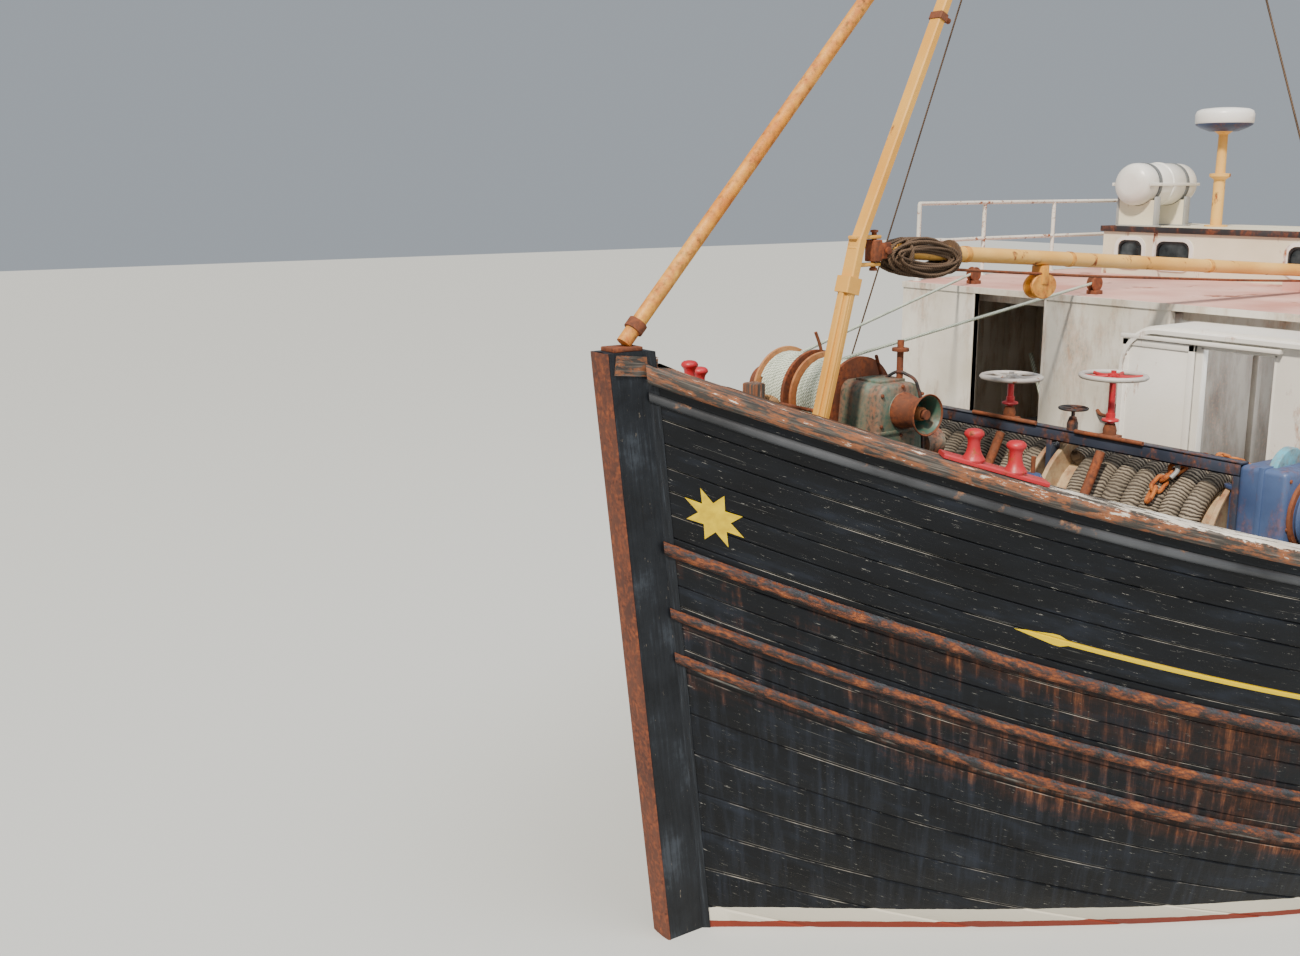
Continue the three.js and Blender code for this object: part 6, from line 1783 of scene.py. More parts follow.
port = [window(spot(aft, HOUSE_HALF, 4.47), (-1, 0, 0), 0.2, 0.29, 0.05) for aft in (9.76, 10.26)]
starboard = [window(spot(aft, -HOUSE_HALF, 4.47), (1, 0, 0), w, 0.29, 0.05)
             for aft, w in ((9.76, 0.2), (10.26, 0.2), (11.09, 0.33))]
glaze("wheelhouse_windows", "boat", ahead + astern + port + starboard, cream_paint)
print("windows set:", len(trunk) + len(ahead + astern + port + starboard))

# %% [markdown]
# ## Wheelhouse and deckhouse
# The house is painted plate. Its roof overhangs and has a rounded edge, a handrail runs
# round it, and the door has hinges, a handle and its own small window. Round ports with
# thick rims light the deckhouse below.

# %% Roofs, door and ports
eaves = [spot(aft, y, 5.18) for aft, y in ((HOUSE_FRONT - 0.16, 1.41), (HOUSE_BACK + 0.16, 1.41),
                                           (HOUSE_BACK + 0.16, -1.41), (HOUSE_FRONT - 0.16, -1.41))]
loop = [a.lerp(b, t) for a, b in zip(eaves, eaves[1:] + eaves[:1]) for t in (0.02, 0.5, 0.98)]
brow = sweep("wheelhouse_brow", loop + [loop[0]], disc(0.034, 10))
dress(brow, "boat", cream_paint, 45)
grab = [spot(HOUSE_FRONT - 0.045, y, 3.98) for y in (-1.25, 1.25)]
rails = [tube("grab", grab, 0.016, 12)]
for side in (1, -1):
    rails.append(tube("grab", [spot(aft, side * 1.345, 4.0) for aft in (9.45, 10.6)], 0.016, 12))
    for aft in (9.5, 10.05, 10.55):
        rails.append(tube("stay", [spot(aft, side * 1.3, 4.0), spot(aft, side * 1.345, 4.0)],
                          0.01, 8))
for y in (-1.2, -0.4, 0.4, 1.2):
    rails.append(tube("stay", [spot(HOUSE_FRONT, y, 3.98), spot(HOUSE_FRONT - 0.045, y, 3.98)],
                      0.01, 8))
dress(one_piece(rails, "wheelhouse_grab_rails"), "boat", white_rail, 45)

door_y = 1.306
varnish = painted_steel("varnished_mahogany_door", "#6b3a1e", "#8a5630", 0.0, 0.05, 0.3, 0.35)
stiles = [box("stile", spot(a1, door_y, z0), spot(a0, door_y + 0.034, z1), 0.004)
          for a0, a1, z0, z1 in ((10.75, 10.88, 3.32, 5.02), (11.3, 11.43, 3.32, 5.02),
                                 (10.88, 11.3, 4.76, 5.02), (10.88, 11.3, 3.32, 3.5),
                                 (10.88, 11.3, 4.06, 4.18))]
panel = box("panel", spot(11.3, door_y + 0.008, 3.5), spot(10.88, door_y + 0.026, 4.06), 0.003)
dress(one_piece(stiles + [panel], "wheelhouse_door_leaf"), "wheelhouse_door_body", varnish,
      35, stands_for=("wheelhouse_door",))
pane = box("pane", spot(11.3, door_y + 0.013, 4.18), spot(10.88, door_y + 0.019, 4.76), 0.001, 1)
dress(pane, "wheelhouse_door_body", glass_pane, 35, name="wheelhouse_door_glass")
brass = painted_steel("dull_brass_fitting", "#8d7434", "#b09a58", 0.0, 0.02, 1.0, 0.35)
brass.node_tree.nodes["Principled BSDF"].inputs["Metallic"].default_value = 1.0
knob = [turned("rose", [(0.0, 0.0), (0.028, 0.0), (0.028, 0.004), (0.01, 0.006), (0.01, 0.03),
                        (0.022, 0.036), (0.024, 0.05), (0.014, 0.06), (0.0, 0.062)],
               spot(11.36, door_y + 0.034, 4.12), "y", 24)]
hinges = [box("hinge", spot(10.85, door_y + 0.034, z), spot(10.745, door_y + 0.038, z + 0.06),
              0.001, 1) for z in (3.5, 4.15, 4.8)]
knuckles = [turned("knuckle", [(0.0, 0.0), (0.009, 0.0), (0.009, 0.08), (0.0, 0.08)],
                   spot(10.745, door_y + 0.036, z - 0.01), "z", 12) for z in (3.5, 4.15, 4.8)]
dress(one_piece(knob + hinges + knuckles, "wheelhouse_door_brass"), "wheelhouse_door_body", brass,
      35)

leaf = box("leaf", spot(12.44, -1.16, 1.29), spot(12.406, -0.49, 2.99), 0.004)
boards = [box("board", spot(12.446, y, 1.34), spot(12.438, y + 0.12, 2.94), 0.003)
          for y in np.arange(-1.135, -0.6, 0.131)]
dress(one_piece([leaf] + boards, "deckhouse_door_leaf"), "deckhouse_door_body", varnish,
      35, stands_for=("deckhouse_door",))
handle = tube("handle", [spot(12.446, -0.56, 2.1), spot(12.49, -0.56, 2.1), spot(12.49, -0.56, 2.28),
                         spot(12.446, -0.56, 2.28)], 0.008, 10, 0.012)
dress(handle, "deckhouse_door_body", brass, 40, name="deckhouse_door_handle")


def port_light(x, y, z, side):
    """Round port: a rim with its bolts and a pane behind it."""
    rim = turned("rim", [(0.12, 0.0), (0.165, 0.0), (0.165, side * 0.012), (0.15, side * 0.02),
                         (0.128, side * 0.02), (0.12, side * 0.012)], (x, y, z), "y", 36)
    pane = turned("pane", [(0.0, side * 0.002), (0.122, side * 0.002), (0.122, side * 0.006),
                           (0.0, side * 0.006)], (x, y, z), "y", 36)
    studs = bolt_heads("stud", [(x + 0.142 * math.cos(a), y + side * 0.018, z + 0.142 * math.sin(a))
                                for a in np.arange(0.4, 6.3, 0.785)], (0, side, 0), 0.008, 0.008)
    return rim, pane, studs


rims, panes, studs = zip(*[port_light(STEM_HEAD - aft, side * 1.45, 2.35, side) for side in (1, -1)
                           for aft in (9.7, 10.6, 11.5)])
dress(one_piece(list(rims), "port_rims"), "boat", cream_paint, 35)
dress(one_piece(list(panes), "port_panes"), "boat", glass_pane, 35)
dress(one_piece(list(studs), "port_studs"), "boat", brass, 35)

# %% Lifebuoys, lamps and the mast's fittings
buoy_skin, tree, shader = new_finish("orange_lifebuoy_white_bands", Roughness=0.55)
around = put(tree, "SeparateXYZ", {0: put(tree, "UVMap").outputs[0]})
quarters = put(tree, "Math", {0: around, 1: 0.45}, operation="PINGPONG")
band = put(tree, "Math", {0: quarters, 1: 0.075}, operation="LESS_THAN")
grime = put(tree, "TexNoise", {"Vector": put(tree, "TexCoord").outputs["Object"], "Scale": 9.0,
                               "Detail": 5.0})
orange = put(tree, "ValToRGB", {"Fac": grime}, [(0.35, "#d8502a"), (0.75, "#b8502f")])
skin = put(tree, "Mix", {0: band, 6: orange, 7: linear("#dedcd4")}, data_type="RGBA")
tree.links.new(skin.outputs[2], shader.inputs["Base Color"])
buoys = []
for side in (1, -1):
    centre = spot(10.0, side * 1.36, 3.62)
    ring = [centre + Vector((0.285 * math.cos(a), 0, 0.285 * math.sin(a)))
            for a in np.linspace(0, 2 * math.pi, 49)]
    buoys.append(sweep("buoy", ring, disc(0.052, 16)))
dress(one_piece(buoys, "lifebuoys"), "boat", buoy_skin, 60)

lamp_glass, tree, shader = new_finish("clear_lamp_lens_3mm_painted_sheen", Roughness=0.12, IOR=1.49)
# The lens is coloured pale grey with a mottled painted sheen
lens_painted_sheen = put(tree, "TexNoise", {"Vector": put(tree, "TexCoord").outputs["Object"], "Scale": 30.0})
tone = put(tree, "ValToRGB", {"Fac": lens_painted_sheen}, [(0.3, "#9aa0a2"), (0.7, "#c7cbcc")])
tree.links.new(tone.outputs[0], shader.inputs["Base Color"])
GOAL = STEM_HEAD - 8.7
legs = []
for side in (1, -1):
    a, b = Vector((GOAL, side * 1.05, SHELTER_TOP)), Vector((GOAL, side * 0.903, 7.1))
    legs.append(turned("leg", [(0.0, 0.0), (0.14, 0.0), (0.14, 0.014), (0.07, 0.016), (0.07, 1.9),
                               (0.062, 3.85), (0.062, 3.93), (0.0, 3.93)], a,
                       (b - a).normalized(), 24))
bars = [tube("bar", [(GOAL, -1.05, z), (GOAL, 1.05, z)], 0.05, 20) for z in (7.04, 5.9)]
ends = [turned("end", [(0.0, 0.0), (0.052, 0.0), (0.052, 0.01), (0.0, 0.012)], (GOAL, y, z),
               Vector((0, math.copysign(1, y), 0)), 20) for z in (7.04, 5.9) for y in (-1.05, 1.05)]
rungs = [tube("rung", [(GOAL - 0.02, 0.98 - 0.012 * n, 3.6 + 0.36 * n),
                       (GOAL - 0.02, 0.72 - 0.012 * n, 3.6 + 0.36 * n)], 0.012, 8) for n in range(9)]
rungs.append(tube("rung_side", [(GOAL - 0.02, 0.73, 3.3), (GOAL - 0.02, 0.61, 6.7)], 0.018, 10))
dress(one_piece(legs + bars + ends + rungs, "goalpost_tubes"), "boat", buff_spar, 40,
      stands_for=("goalpost_mast",))
hoods, lenses = [], []
for y, z, x, aim in ((-0.55, 7.04, GOAL, -1), (0.0, 7.04, GOAL, -1), (0.55, 7.04, GOAL, -1),
                     (-0.6, 5.9, GOAL, 1), (0.6, 5.9, GOAL, 1), (-0.9, 4.64, STEM_HEAD - 15.65, -1),
                     (0.9, 4.64, STEM_HEAD - 15.65, -1)):
    way = Vector((aim, 0, -0.7)).normalized()
    at = Vector((x, y, z)) + way * 0.06
    hoods.append(turned("hood", [(0.0, 0.0), (0.05, 0.0), (0.085, 0.05), (0.1, 0.1), (0.094, 0.1),
                                 (0.06, 0.04), (0.0, 0.03)], at, way, 24))
    lenses.append(turned("lens", [(0.0, 0.082), (0.09, 0.082), (0.085, 0.09), (0.0, 0.1)],
                         at, way, 24))
dress(one_piece(hoods, "deck_lamps"), "boat", galvanised, 40)
dress(one_piece(lenses, "deck_lamp_lenses"), "boat", lamp_glass, 40)
whips = [tube("whip", [spot(9.6, y, 5.2), spot(9.62, y, 5.2 + tall)], 0.006, 8)
         for y, tall in ((-1.1, 1.9), (1.1, 1.5), (0.4, 1.1))]
feet = [turned("foot", [(0.0, 0.0), (0.03, 0.0), (0.03, 0.05), (0.014, 0.12), (0.0, 0.12)],
               spot(9.6, y, 5.2), "z", 16) for y in (-1.1, 1.1, 0.4)]
dress(one_piece(whips + feet, "whip_aerials"), "boat", radome_paint, 40)
beam_lamp = [turned("search", [(0.0, 0.0), (0.06, 0.0), (0.1, 0.05), (0.12, 0.14), (0.12, 0.17),
                               (0.0, 0.17)], spot(9.55, -0.5, 5.4), Vector((1, 0, 0)), 28),
             tube("leg", [spot(9.47, -0.5, 5.2), spot(9.47, -0.5, 5.34)], 0.025, 14)]
dress(one_piece(beam_lamp, "search_lamp"), "boat", galvanised, 40)
for side, colour, board_paint, lamp_paint in ((1, "red", blue_frame, red_iron),
                                              (-1, "green", green_box, green_box)):
    board = box("board", spot(9.95, side * 1.3, 4.86), spot(9.5, side * 1.33, 5.1), 0.004)
    shelf = box("shelf", spot(9.95, side * 1.3, 4.85), spot(9.5, side * 1.46, 4.866), 0.003)
    dress(one_piece([board, shelf], f"side_lamp_board_{colour}"), "boat", board_paint,
          35)
    body = turned("lamp", [(0.0, 0.0), (0.05, 0.0), (0.05, 0.02), (0.042, 0.03), (0.042, 0.11),
                           (0.05, 0.12), (0.03, 0.15), (0.0, 0.155)],
                  spot(9.62, side * 1.4, 4.866), "z", 24)
    dress(body, "boat", lamp_paint, 40, name=f"side_lamp_{colour}")

# %% Exhaust, vents and the roof's boards
stack = [turned("stack", [(0.0, 0.0), (0.17, 0.0), (0.17, 0.02), (0.13, 0.022), (0.13, 1.5),
                          (0.12, 1.53), (0.072, 1.535), (0.072, 1.6), (0.0, 1.6)],
                spot(12.05, 0.7, SHELTER_TOP), "z", 32),
         tube("pipe", [spot(12.05, 0.7, 4.69), spot(12.05, 0.7, 5.2), spot(12.16, 0.7, 5.5)],
              0.066, 20, 0.1)]
dress(one_piece(stack, "exhaust_stack"), "boat", rusty_iron, 40,
      stands_for=("exhaust",))
vents = []
for aft, y in ((9.15, -1.2), (9.15, 1.2), (12.1, -1.1)):
    at = spot(aft, y, SHELTER_TOP)
    vents.append(turned("vent", [(0.0, 0.0), (0.1, 0.0), (0.1, 0.02), (0.06, 0.03), (0.06, 0.3),
                                 (0.13, 0.31), (0.135, 0.36), (0.1, 0.42), (0.0, 0.44)], at, "z", 28))
dress(one_piece(vents, "mushroom_vents"), "boat", white_rail, 40)

# %% [markdown]
# ## Working deck aft
# Aft are the net drum with its net wound on, the fish hatch and the gantry that the
# net is hauled through. The net is a heavy green mesh, so its winding is drawn as
# wrapped twine with a diamond pattern.

# %% Net drum
green_net, tree, shader = new_finish("green_twine_net_4mm", Roughness=0.95)
chart = put(tree, "UVMap").outputs[0]
turned_map = put(tree, "Mapping", {"Vector": chart, "Rotation": (0, 0, 0.785),
                                   "Scale": (22.0, 22.0, 1)}).outputs[0]
axes_out = put(tree, "SeparateXYZ", {0: turned_map})
first = put(tree, "Math", {0: axes_out, 1: 0.5}, operation="PINGPONG")
second = put(tree, "Math", {0: axes_out.outputs[1], 1: 0.5}, operation="PINGPONG")
twine = put(tree, "Math", {0: first, 1: second}, operation="MINIMUM")
clump = put(tree, "TexNoise", {"Vector": chart, "Scale": 3.0, "Detail": 9.0, "Roughness": 0.7})
# The meshes between the twines are darker: painted shade in the hollows
depth = put(tree, "Math", {0: twine, 1: -0.6, 2: clump}, operation="MULTIPLY_ADD")
tone = put(tree, "ValToRGB", {"Fac": depth}, [(0.2, "#123026"), (0.42, "#2c5d48"), (0.6, "#5d8a6c")])
relief = put(tree, "Bump", {"Height": depth, "Strength": 1.0, "Distance": 0.02})
tree.links.new(tone.outputs[0], shader.inputs["Base Color"])
tree.links.new(relief.outputs[0], shader.inputs["Normal"])

DRUM_AT = spot(14.45, -1.053, 1.95)
ends = []
for d0, way in ((0.016, 1), (2.106 - 0.016, -1)):
    ends.append(turned("end", [(0.0, d0), (0.53, d0), (0.545, d0 - way * 0.006), (0.56, d0),
                               (0.56, d0 + way * 0.026), (0.545, d0 + way * 0.032),
                               (0.53, d0 + way * 0.026), (0.0, d0 + way * 0.03)], DRUM_AT, "y", 56))
axle = turned("axle", [(0.0, 0.0), (0.09, 0.0), (0.09, 2.106), (0.0, 2.106)], DRUM_AT, "y", 28)
dress(one_piece(ends + [axle], "net_drum_ends"), "net_drum_body", rusty_iron, 35,
      stands_for=("net_drum",))
rng = random.Random(21)
waves = [(rng.randint(1, 5), rng.uniform(2, 14), rng.uniform(0, 6.28), rng.uniform(0.5, 1.0))
         for _ in range(9)]


def net_spot(u, v):
    d = mix(0.05, 2.056, v)
    a = 2 * math.pi * u
    r = 0.42 + 0.02 * math.sin(d * 3.1)
    r += 0.014 * sum(w * math.sin(k * a + f * d + p) for k, f, p, w in waves) / 3
    return DRUM_AT + Vector((r * math.cos(a), d, r * math.sin(a)))


wound_net = sheet("wound_net", 96, 64, net_spot, lambda u, v: (u * 2.64, v * 2.0), close=True)
dress(wound_net, "net_drum_body", green_net, 60)

# %% Hatch, gantry and net drum stand
HATCH = (STEM_HEAD - 13.55, STEM_HEAD - 12.75)
boards = [box("board", (HATCH[0] - 0.02, y, 1.51), (HATCH[1] + 0.02, y + 0.113, 1.56), 0.006)
          for y in np.arange(-0.47, 0.45, 0.1175)]
battens = [box("batten", (x, -0.47, 1.506), (x + 0.05, 0.47, 1.512), 0.001, 1)
           for x in (HATCH[0] + 0.08, HATCH[1] - 0.13)]
dress(one_piece(boards + battens, "hatch_boards"), "hatch_lid_body", rail_timber, 35,
      stands_for=("hatch_lid",))
staples = [tube("staple", [(x, y, 1.556), (x, y, 1.6), (x + 0.12, y, 1.6), (x + 0.12, y, 1.556)],
                0.009, 10, 0.02) for x, y in ((-4.96, -0.36), (-4.96, 0.36))]
dress(one_piece(staples, "hatch_lifting_staples"), "hatch_lid_body", galvanised, 40)
lip_bar = []
for x0, x1, y0, y1 in ((HATCH[0] - 0.012, HATCH[1] + 0.012, 0.45, 0.462),
                       (HATCH[0] - 0.012, HATCH[1] + 0.012, -0.462, -0.45),
                       (HATCH[1], HATCH[1] + 0.012, -0.45, 0.45),
                       (HATCH[0] - 0.012, HATCH[0], -0.45, 0.45)):
    lip_bar.append(box("lip", (x0, y0, 1.42), (x1, y1, 1.49), 0.003))
dress(one_piece(lip_bar, "coaming_lip"), "boat", white_wall, 35)

GANTRY = STEM_HEAD - 15.65
arms = []
for side in (1, -1):
    foot = Vector((GANTRY, side * 1.72, 1.226))
    head = Vector((GANTRY, side * 1.37, 4.7))
    arms.append(tube("leg", [foot, head], 0.085, 24))
    arms.append(turned("cap", [(0.0, 0.0), (0.09, 0.0), (0.09, 0.02), (0.0, 0.03)], head,
                       (head - foot).normalized(), 24))
    arms.append(tube("strut", [(GANTRY, side * 1.5, 3.3), (GANTRY, side * 0.7, 4.64)], 0.045, 18))
    arms.append(box("pad", (GANTRY - 0.11, side * 1.72 - 0.11, 1.219),
                    (GANTRY + 0.11, side * 1.72 + 0.11, 1.243), 0.004))
arms.append(tube("bar", [(GANTRY, -1.47, 4.64), (GANTRY, 1.47, 4.64)], 0.075, 24))
dress(one_piece(arms, "gantry_tubes"), "boat", buff_spar, 40,
      stands_for=("stern_gantry",))
blocks = []
for y in (-1.1, 1.1):
    middle = Vector((GANTRY, y, 4.32))
    blocks.append(turned("sheave", [(0.0, -0.03), (0.13, -0.03), (0.14, -0.02), (0.11, 0.0),
                                    (0.14, 0.02), (0.13, 0.03), (0.0, 0.03)], middle, "y", 32))
    for shift in (-0.045, 0.035):
        blocks.append(turned("shell", [(0.0, shift), (0.15, shift), (0.155, shift + 0.005),
                                       (0.15, shift + 0.01), (0.0, shift + 0.01)], middle, "y", 32))
    blocks.append(tube("shank", [middle + Vector((0, 0, 0.13)), middle + Vector((0, 0, 0.27))],
                       0.022, 12))
dress(one_piece(blocks, "towing_blocks"), "boat", rusty_iron, 35)

# %% Stanchions inside the bulwarks
frames = []
for s in np.arange(0.7, 15.3, 0.5):
    lean = math.hypot(1, (half_beam(s + 0.03) - half_beam(s)) / 0.03)
    for side in (1, -1):
        corners = []
        for ds in (-0.045, 0.045):
            for h, into in ((0.1, 0.155), (0.1, 0.062), (BULWARK - 0.03, 0.062),
                            (BULWARK - 0.03, 0.155)):
                point = hull_point(s + ds, h, side)
                corners.append(Vector((point.x,
                                       side * max(abs(point.y) - into * lean, 0.01), point.z)))
        unpick()
        bpy.ops.mesh.primitive_cube_add(size=1)
        frame_post = bpy.context.object
        order = {(-1, -1): 3, (-1, 1): 0, (1, -1): 2, (1, 1): 1}
        for vertex in frame_post.data.vertices:
            x, y, z = (1 if c > 0 else -1 for c in vertex.co)
            vertex.co = corners[(4 if x < 0 else 0) + order[(y * side, z)]]
        modify(frame_post, "BEVEL", width=0.008, segments=1)
        frames.append(frame_post)
whole = one_piece(frames, "bulwark_stanchions")
outward(whole)
dress(whole, "boat", inner_paint, 35)
print("stanchions:", len(frames))

# %% [markdown]
# ## Transom and star
# The transom closes the stern with planks laid across. On each bow there is a painted
# star with eight points, which is laid on the planking as a thin patch.

# %% Transom
def mark_at(v):
    """Which row of planks a share of the transom's height lies on."""
    if v < 0.75:
        return mix(TOP_EDGES[0], LAST, v / 0.75)
    return mix(LAST, LAST + UNDER_PLANKS, (v - 0.75) / 0.25)


def transom_spot(u, v):
    h = row_depth(HULL_END, mark_at(v))
    edge = hull_point(HULL_END, h, 1)
    groove = 0.005 if round(v * 48) % 4 == 0 else 0.0
    return Vector((edge.x - 0.004 + groove, mix(-abs(edge.y), abs(edge.y), u), edge.z))


transom = sheet("transom_planks", 24, 48, transom_spot, lambda u, v: (u * 4.5 - 30, v * 2.1 + 0.09),
                marks={"seam": lambda u, v: float(round(v * 48) % 4 == 0), "weep": lambda u, v: 0.0})
modify(transom, "SOLIDIFY", thickness=0.05,
       offset=-1.0 if transom.data.polygons[0].normal.x < 0 else 1.0)
outward(transom)
dress(transom, "boat", black_planking, 30, stands_for=("bulwark_stern",))

# %% Star on each bow
yellow_paint, tree, shader = new_finish("yellow_enamel_hand_painted", Roughness=0.5)
brush = put(tree, "TexNoise", {"Vector": put(tree, "TexCoord").outputs["Object"], "Scale": 24.0,
                               "Detail": 6.0})
tone = put(tree, "ValToRGB", {"Fac": brush}, [(0.35, "#c0a200"), (0.7, "#dcbf00")])
tree.links.new(tone.outputs[0], shader.inputs["Base Color"])
STAR_S, STAR_H, STAR_R = 0.22, 0.68, 0.145  # aft of the rabbet, under the rail, radius
STAR_NOTCH = 0.52  # radius of the notches between the points, as a share
stars = []
for side in (1, -1):
    unpick()
    bpy.ops.mesh.primitive_circle_add(vertices=16, radius=1, fill_type="TRIFAN")
    star = bpy.context.object
    for n, vertex in enumerate(star.data.vertices):
        angle = math.atan2(vertex.co.y, vertex.co.x)
        share = 1.0 if round(angle / (math.pi / 8)) % 2 else STAR_NOTCH
        reach = 0.0 if vertex.co.length < 0.1 else share * STAR_R
        vertex.co = hull_point(STAR_S + reach * 0.85 * math.cos(angle),
                               STAR_H + reach * math.sin(angle), side, 0.003)
    modify(star, "SUBSURF", subdivision_type="SIMPLE", levels=2, render_levels=2)
    modify(star, "SOLIDIFY", thickness=0.003, offset=0.0)
    stars.append(star)
dress(one_piece(stars, "painted_stars"), "boat", yellow_paint, 60)
print("transom and stars done")

# %% [markdown]
# ## Propeller
# Four blades with a twist stand on a tapered hub. Each blade is a thin sheet whose
# pitch angle falls from root to tip, as it has to when every part of it must screw
# forward at the same speed.

# %% Propeller blades and hub
bronze_metal = painted_steel("manganese_bronze_cast", "#7d6128", "#a5894a", 0.25, 0.06, 1.0, 0.35,
                             bare="#4f6b58")
bronze_metal.node_tree.nodes["Principled BSDF"].inputs["Metallic"].default_value = 1.0
PROP_AT = Vector((-6.056, 0, -1.48))
blades = []
for n in range(4):
    turn = Matrix.Rotation(math.pi / 2 * n, 3, "X")

    def blade_spot(u, v):
        r = mix(0.07, 0.608, v)
        chord = 0.235 * math.sin(math.pi * clamp(0.12 + 0.84 * v)) ** 0.6 * (1 if v < 0.97 else 0.7)
        pitch = math.atan2(0.9, 2 * math.pi * max(r, 0.14))
        a = 2 * math.pi * u
        along, off = chord * math.cos(a), (0.024 - 0.018 * v) * math.sin(a)
        x = along * math.sin(pitch) + off * math.cos(pitch)
        t = along * math.cos(pitch) - off * math.sin(pitch)
        return PROP_AT + turn @ Vector((x, -t, r))

    blades.append(sheet("blade", 20, 16, blade_spot, lambda u, v: (u * 0.5, v * 0.6), close=True))
hub = turned("hub", [(0.0, -0.17), (0.03, -0.165), (0.06, -0.15), (0.09, -0.06), (0.098, 0.02),
                     (0.098, 0.09), (0.0, 0.09)], PROP_AT, Vector((1, 0, 0)), 36)
dress(one_piece(blades + [hub], "propeller_cast"), "propeller_body", bronze_metal, 40,
      stands_for=("propeller",))

# %% [markdown]
# ## Deck planks and what is left
# The deck is pine planks, bleached and dirty, with black pitch in the seams. The
# plates that keep the solids' own mesh get their paint last.

# %% Deck planks
deck_timber, tree, shader = new_finish("bleached_pine_deck_110mm_planks", Roughness=0.88)
here = put(tree, "TexCoord").outputs["Object"]
parts = put(tree, "SeparateXYZ", {0: here})
shifted = put(tree, "Math", {0: parts.outputs[1], 1: 10.0}, operation="ADD")
across = put(tree, "Math", {0: shifted, 1: 0.055}, operation="PINGPONG")
pitch = put(tree, "Math", {0: across, 1: 0.0035}, operation="LESS_THAN")
grain_map = put(tree, "Mapping", {"Vector": here, "Scale": (1.2, 26.0, 1)}).outputs[0]
grain = put(tree, "TexNoise", {"Vector": grain_map, "Scale": 2.0, "Detail": 8.0, "Roughness": 0.65})
wood = put(tree, "ValToRGB", {"Fac": grain}, [(0.3, "#75644a"), (0.5, "#a8946f"), (0.7, "#c6b48f")])
dirt = put(tree, "TexNoise", {"Vector": here, "Scale": 1.3, "Detail": 6.0})
grimed = put(tree, "MapRange", {"Value": dirt, "From Min": 0.45, "From Max": 0.75, "To Max": 0.7})
soiled = put(tree, "Mix", {0: grimed, 6: wood, 7: linear("#5a4c3a")}, data_type="RGBA")
seamed = put(tree, "Mix", {0: pitch, 6: soiled.outputs[2], 7: linear("#14110e")}, data_type="RGBA")
relief = put(tree, "Bump", {"Height": grain, "Strength": 0.3, "Distance": 0.003})
tree.links.new(seamed.outputs[2], shader.inputs["Base Color"])
tree.links.new(relief.outputs[0], shader.inputs["Normal"])

# %% Paint for the plates that keep their solids
antifoul = painted_steel("red_brown_antifouling", "#7a3526", "#8f4c3b", 0.2, 0.1, 0.5, 0.8,
                         bare="#4d5a45")
plain = (
    (deck_timber, ("deck",)),
    (antifoul, ("keel", "rudder")),
    (white_wall, ("casing", "casing_front", "deckhouse_back", "deckhouse_port", "deckhouse_starboard",
                  "wheelhouse_roof", "hatch_coaming")),
    (stained_wall, ("shelter_front", "shelter_side_port", "shelter_side_starboard", "deckhouse_front")),
    (pink_top, ("shelter_top", "deckhouse_top")),
    (cream_paint, ("shelter_trunk", "wheelhouse_front", "wheelhouse_back", "wheelhouse_port",
                   "wheelhouse_starboard")),
    (blue_frame, ("net_drum_stand",)),
)
for finish, names in plain:
    for name in names:
        nodes[name].data.materials.clear()
        nodes[name].data.materials.append(finish)
print("plates painted:", sum(len(names) for _, names in plain))

# %% Behind the doorways
# A partition runs aft from the casing, and timbers and hoses lean inside the shelter
# The partition and roof beams are grey as painted shade for the dim inside of the shelter
partition = [box("partition", spot(6.6, -0.12, 1.25), spot(4.81, -0.085, 3.1), 0.003)]
for aft in (5.2, 5.9, 6.55):
    partition.append(box("stud", spot(aft + 0.03, -0.086, 1.25), spot(aft - 0.03, -0.04, 3.1), 0.003))
dress(one_piece(partition, "shelter_partition"), "boat", lining_painted_shade, 35)
leaning = [((5.3, -1.62, 1.3), (5.32, -1.18, 3.02), 0.035),
           ((5.45, -1.5, 1.3), (5.5, -1.22, 3.0), 0.022),
           ((5.35, -1.2, 1.3), (5.4, -1.75, 2.6), 0.018),
           ((5.6, -1.35, 1.3), (5.6, -1.3, 2.9), 0.026)]
poles = [tube("pole", [spot(*a), spot(*b)], r, 12) for a, b, r in leaning]
dress(one_piece(poles, "poles_in_shelter"), "boat", pale_rope, 50)
bins = [box("bin", spot(6.1, y, 1.27), spot(5.4, y + 0.4, z), 0.02, 2)
        for y, z in ((-2.0, 1.75), (-1.55, 1.6))]
bins.append(box("bin", spot(6.05, -1.95, 1.76), spot(5.45, -1.63, 2.0), 0.02, 2))
dress(one_piece(bins, "bins_in_shelter"), "boat", black_plastic, 35)
beams = [box("beam", spot(aft + 0.03, -2.2, 2.98), spot(aft - 0.03, 2.2, 3.05), 0.004)
         for aft in (5.6, 6.4, 7.2, 8.0, 8.8)]
dress(one_piece(beams, "shelter_roof_beams"), "boat", lining_painted_shade, 35)

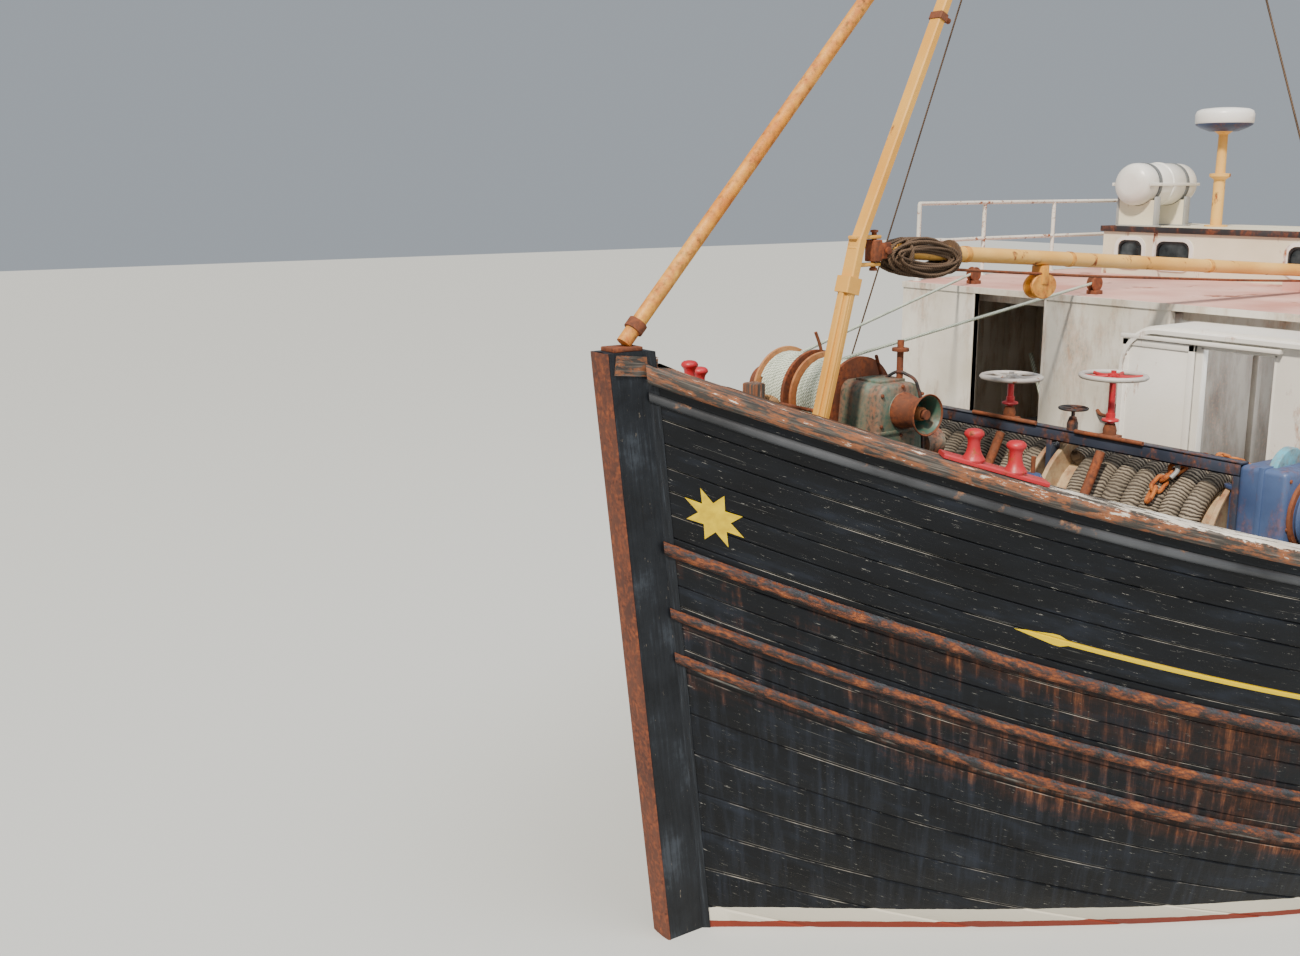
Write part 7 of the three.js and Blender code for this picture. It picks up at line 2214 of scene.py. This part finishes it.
# %% Warps and stays
# The net's two ropes leave the winch drums taut for small leading blocks on the roof's
# edge. Wire stays run from the mast to the goalpost and on to the gantry.
drum_top = [spot(1.99, -0.43, 2.73 + 0.235), spot(1.99, -0.79, 2.73 + 0.235)]
lead = [spot(4.99, -0.9, 3.25), spot(5.02, -2.1, 3.25)]
for n, (a, b) in enumerate(zip(drum_top, lead), 1):
    dress(sweep(f"warp_{n}", [a.lerp(b, s / 30) for s in range(31)], disc(0.0105, 10)), "boat",
          pale_rope, 60)
blocks = []
for point in lead:
    blocks.append(turned("cheek", [(0.0, -0.032), (0.055, -0.032), (0.06, -0.026), (0.06, -0.02),
                                   (0.035, -0.014), (0.035, 0.014), (0.06, 0.02), (0.06, 0.026),
                                   (0.055, 0.032), (0.0, 0.032)],
                         point + Vector((-0.035, 0, 0)), "y", 28))
    blocks.append(box("foot", (point.x - 0.08, point.y - 0.045, 3.165),
                      (point.x, point.y + 0.045, 3.2), 0.004))
dress(one_piece(blocks, "leading_blocks"), "boat", rusty_iron, 40)
mast_way = (MAST_TOP - MAST_BEND).normalized()
eye = MAST_TOP + mast_way * 0.108
runs = []
for side in (1, -1):
    over = Vector((GOAL, side * 0.78, 7.103))
    runs.append((eye + Vector((0, side * 0.03, 0)), over))
    runs.append((over, Vector((GANTRY, side * 1.36, 4.722))))
    on_rail_cap = hull_point(3.3, -0.012, side) - Vector((0, side * 0.04, 0))
    runs.append((eye + Vector((0, side * 0.07, 0)), on_rail_cap))
stays = [tube("stay", [a, b], 0.006, 8) for a, b in runs]
stays.append(turned("stay_cap", [(0.0, -0.018), (0.074, -0.018), (0.078, -0.013), (0.078, 0.013),
                                 (0.074, 0.018), (0.0, 0.018)], eye, mast_way, 24))
shackles = []
for a, b in runs:
    for end, way in ((a, b - a), (b, a - b)):
        shackles.append(turned("screw", [(0.0, 0.0), (0.018, 0.0), (0.018, 0.02), (0.013, 0.05),
                                         (0.013, 0.16), (0.018, 0.19), (0.018, 0.21), (0.0, 0.215)],
                               end, way.normalized(), 14))
dress(one_piece(stays, "wire_stays"), "boat", dark_wire, 60,
      stands_for=("main_stays",))
dress(one_piece(shackles, "rigging_screws"), "boat", galvanised, 40)
print("behind the doorways, warps and stays done")

# %% The end of the script
bpy.context.view_layer.update()
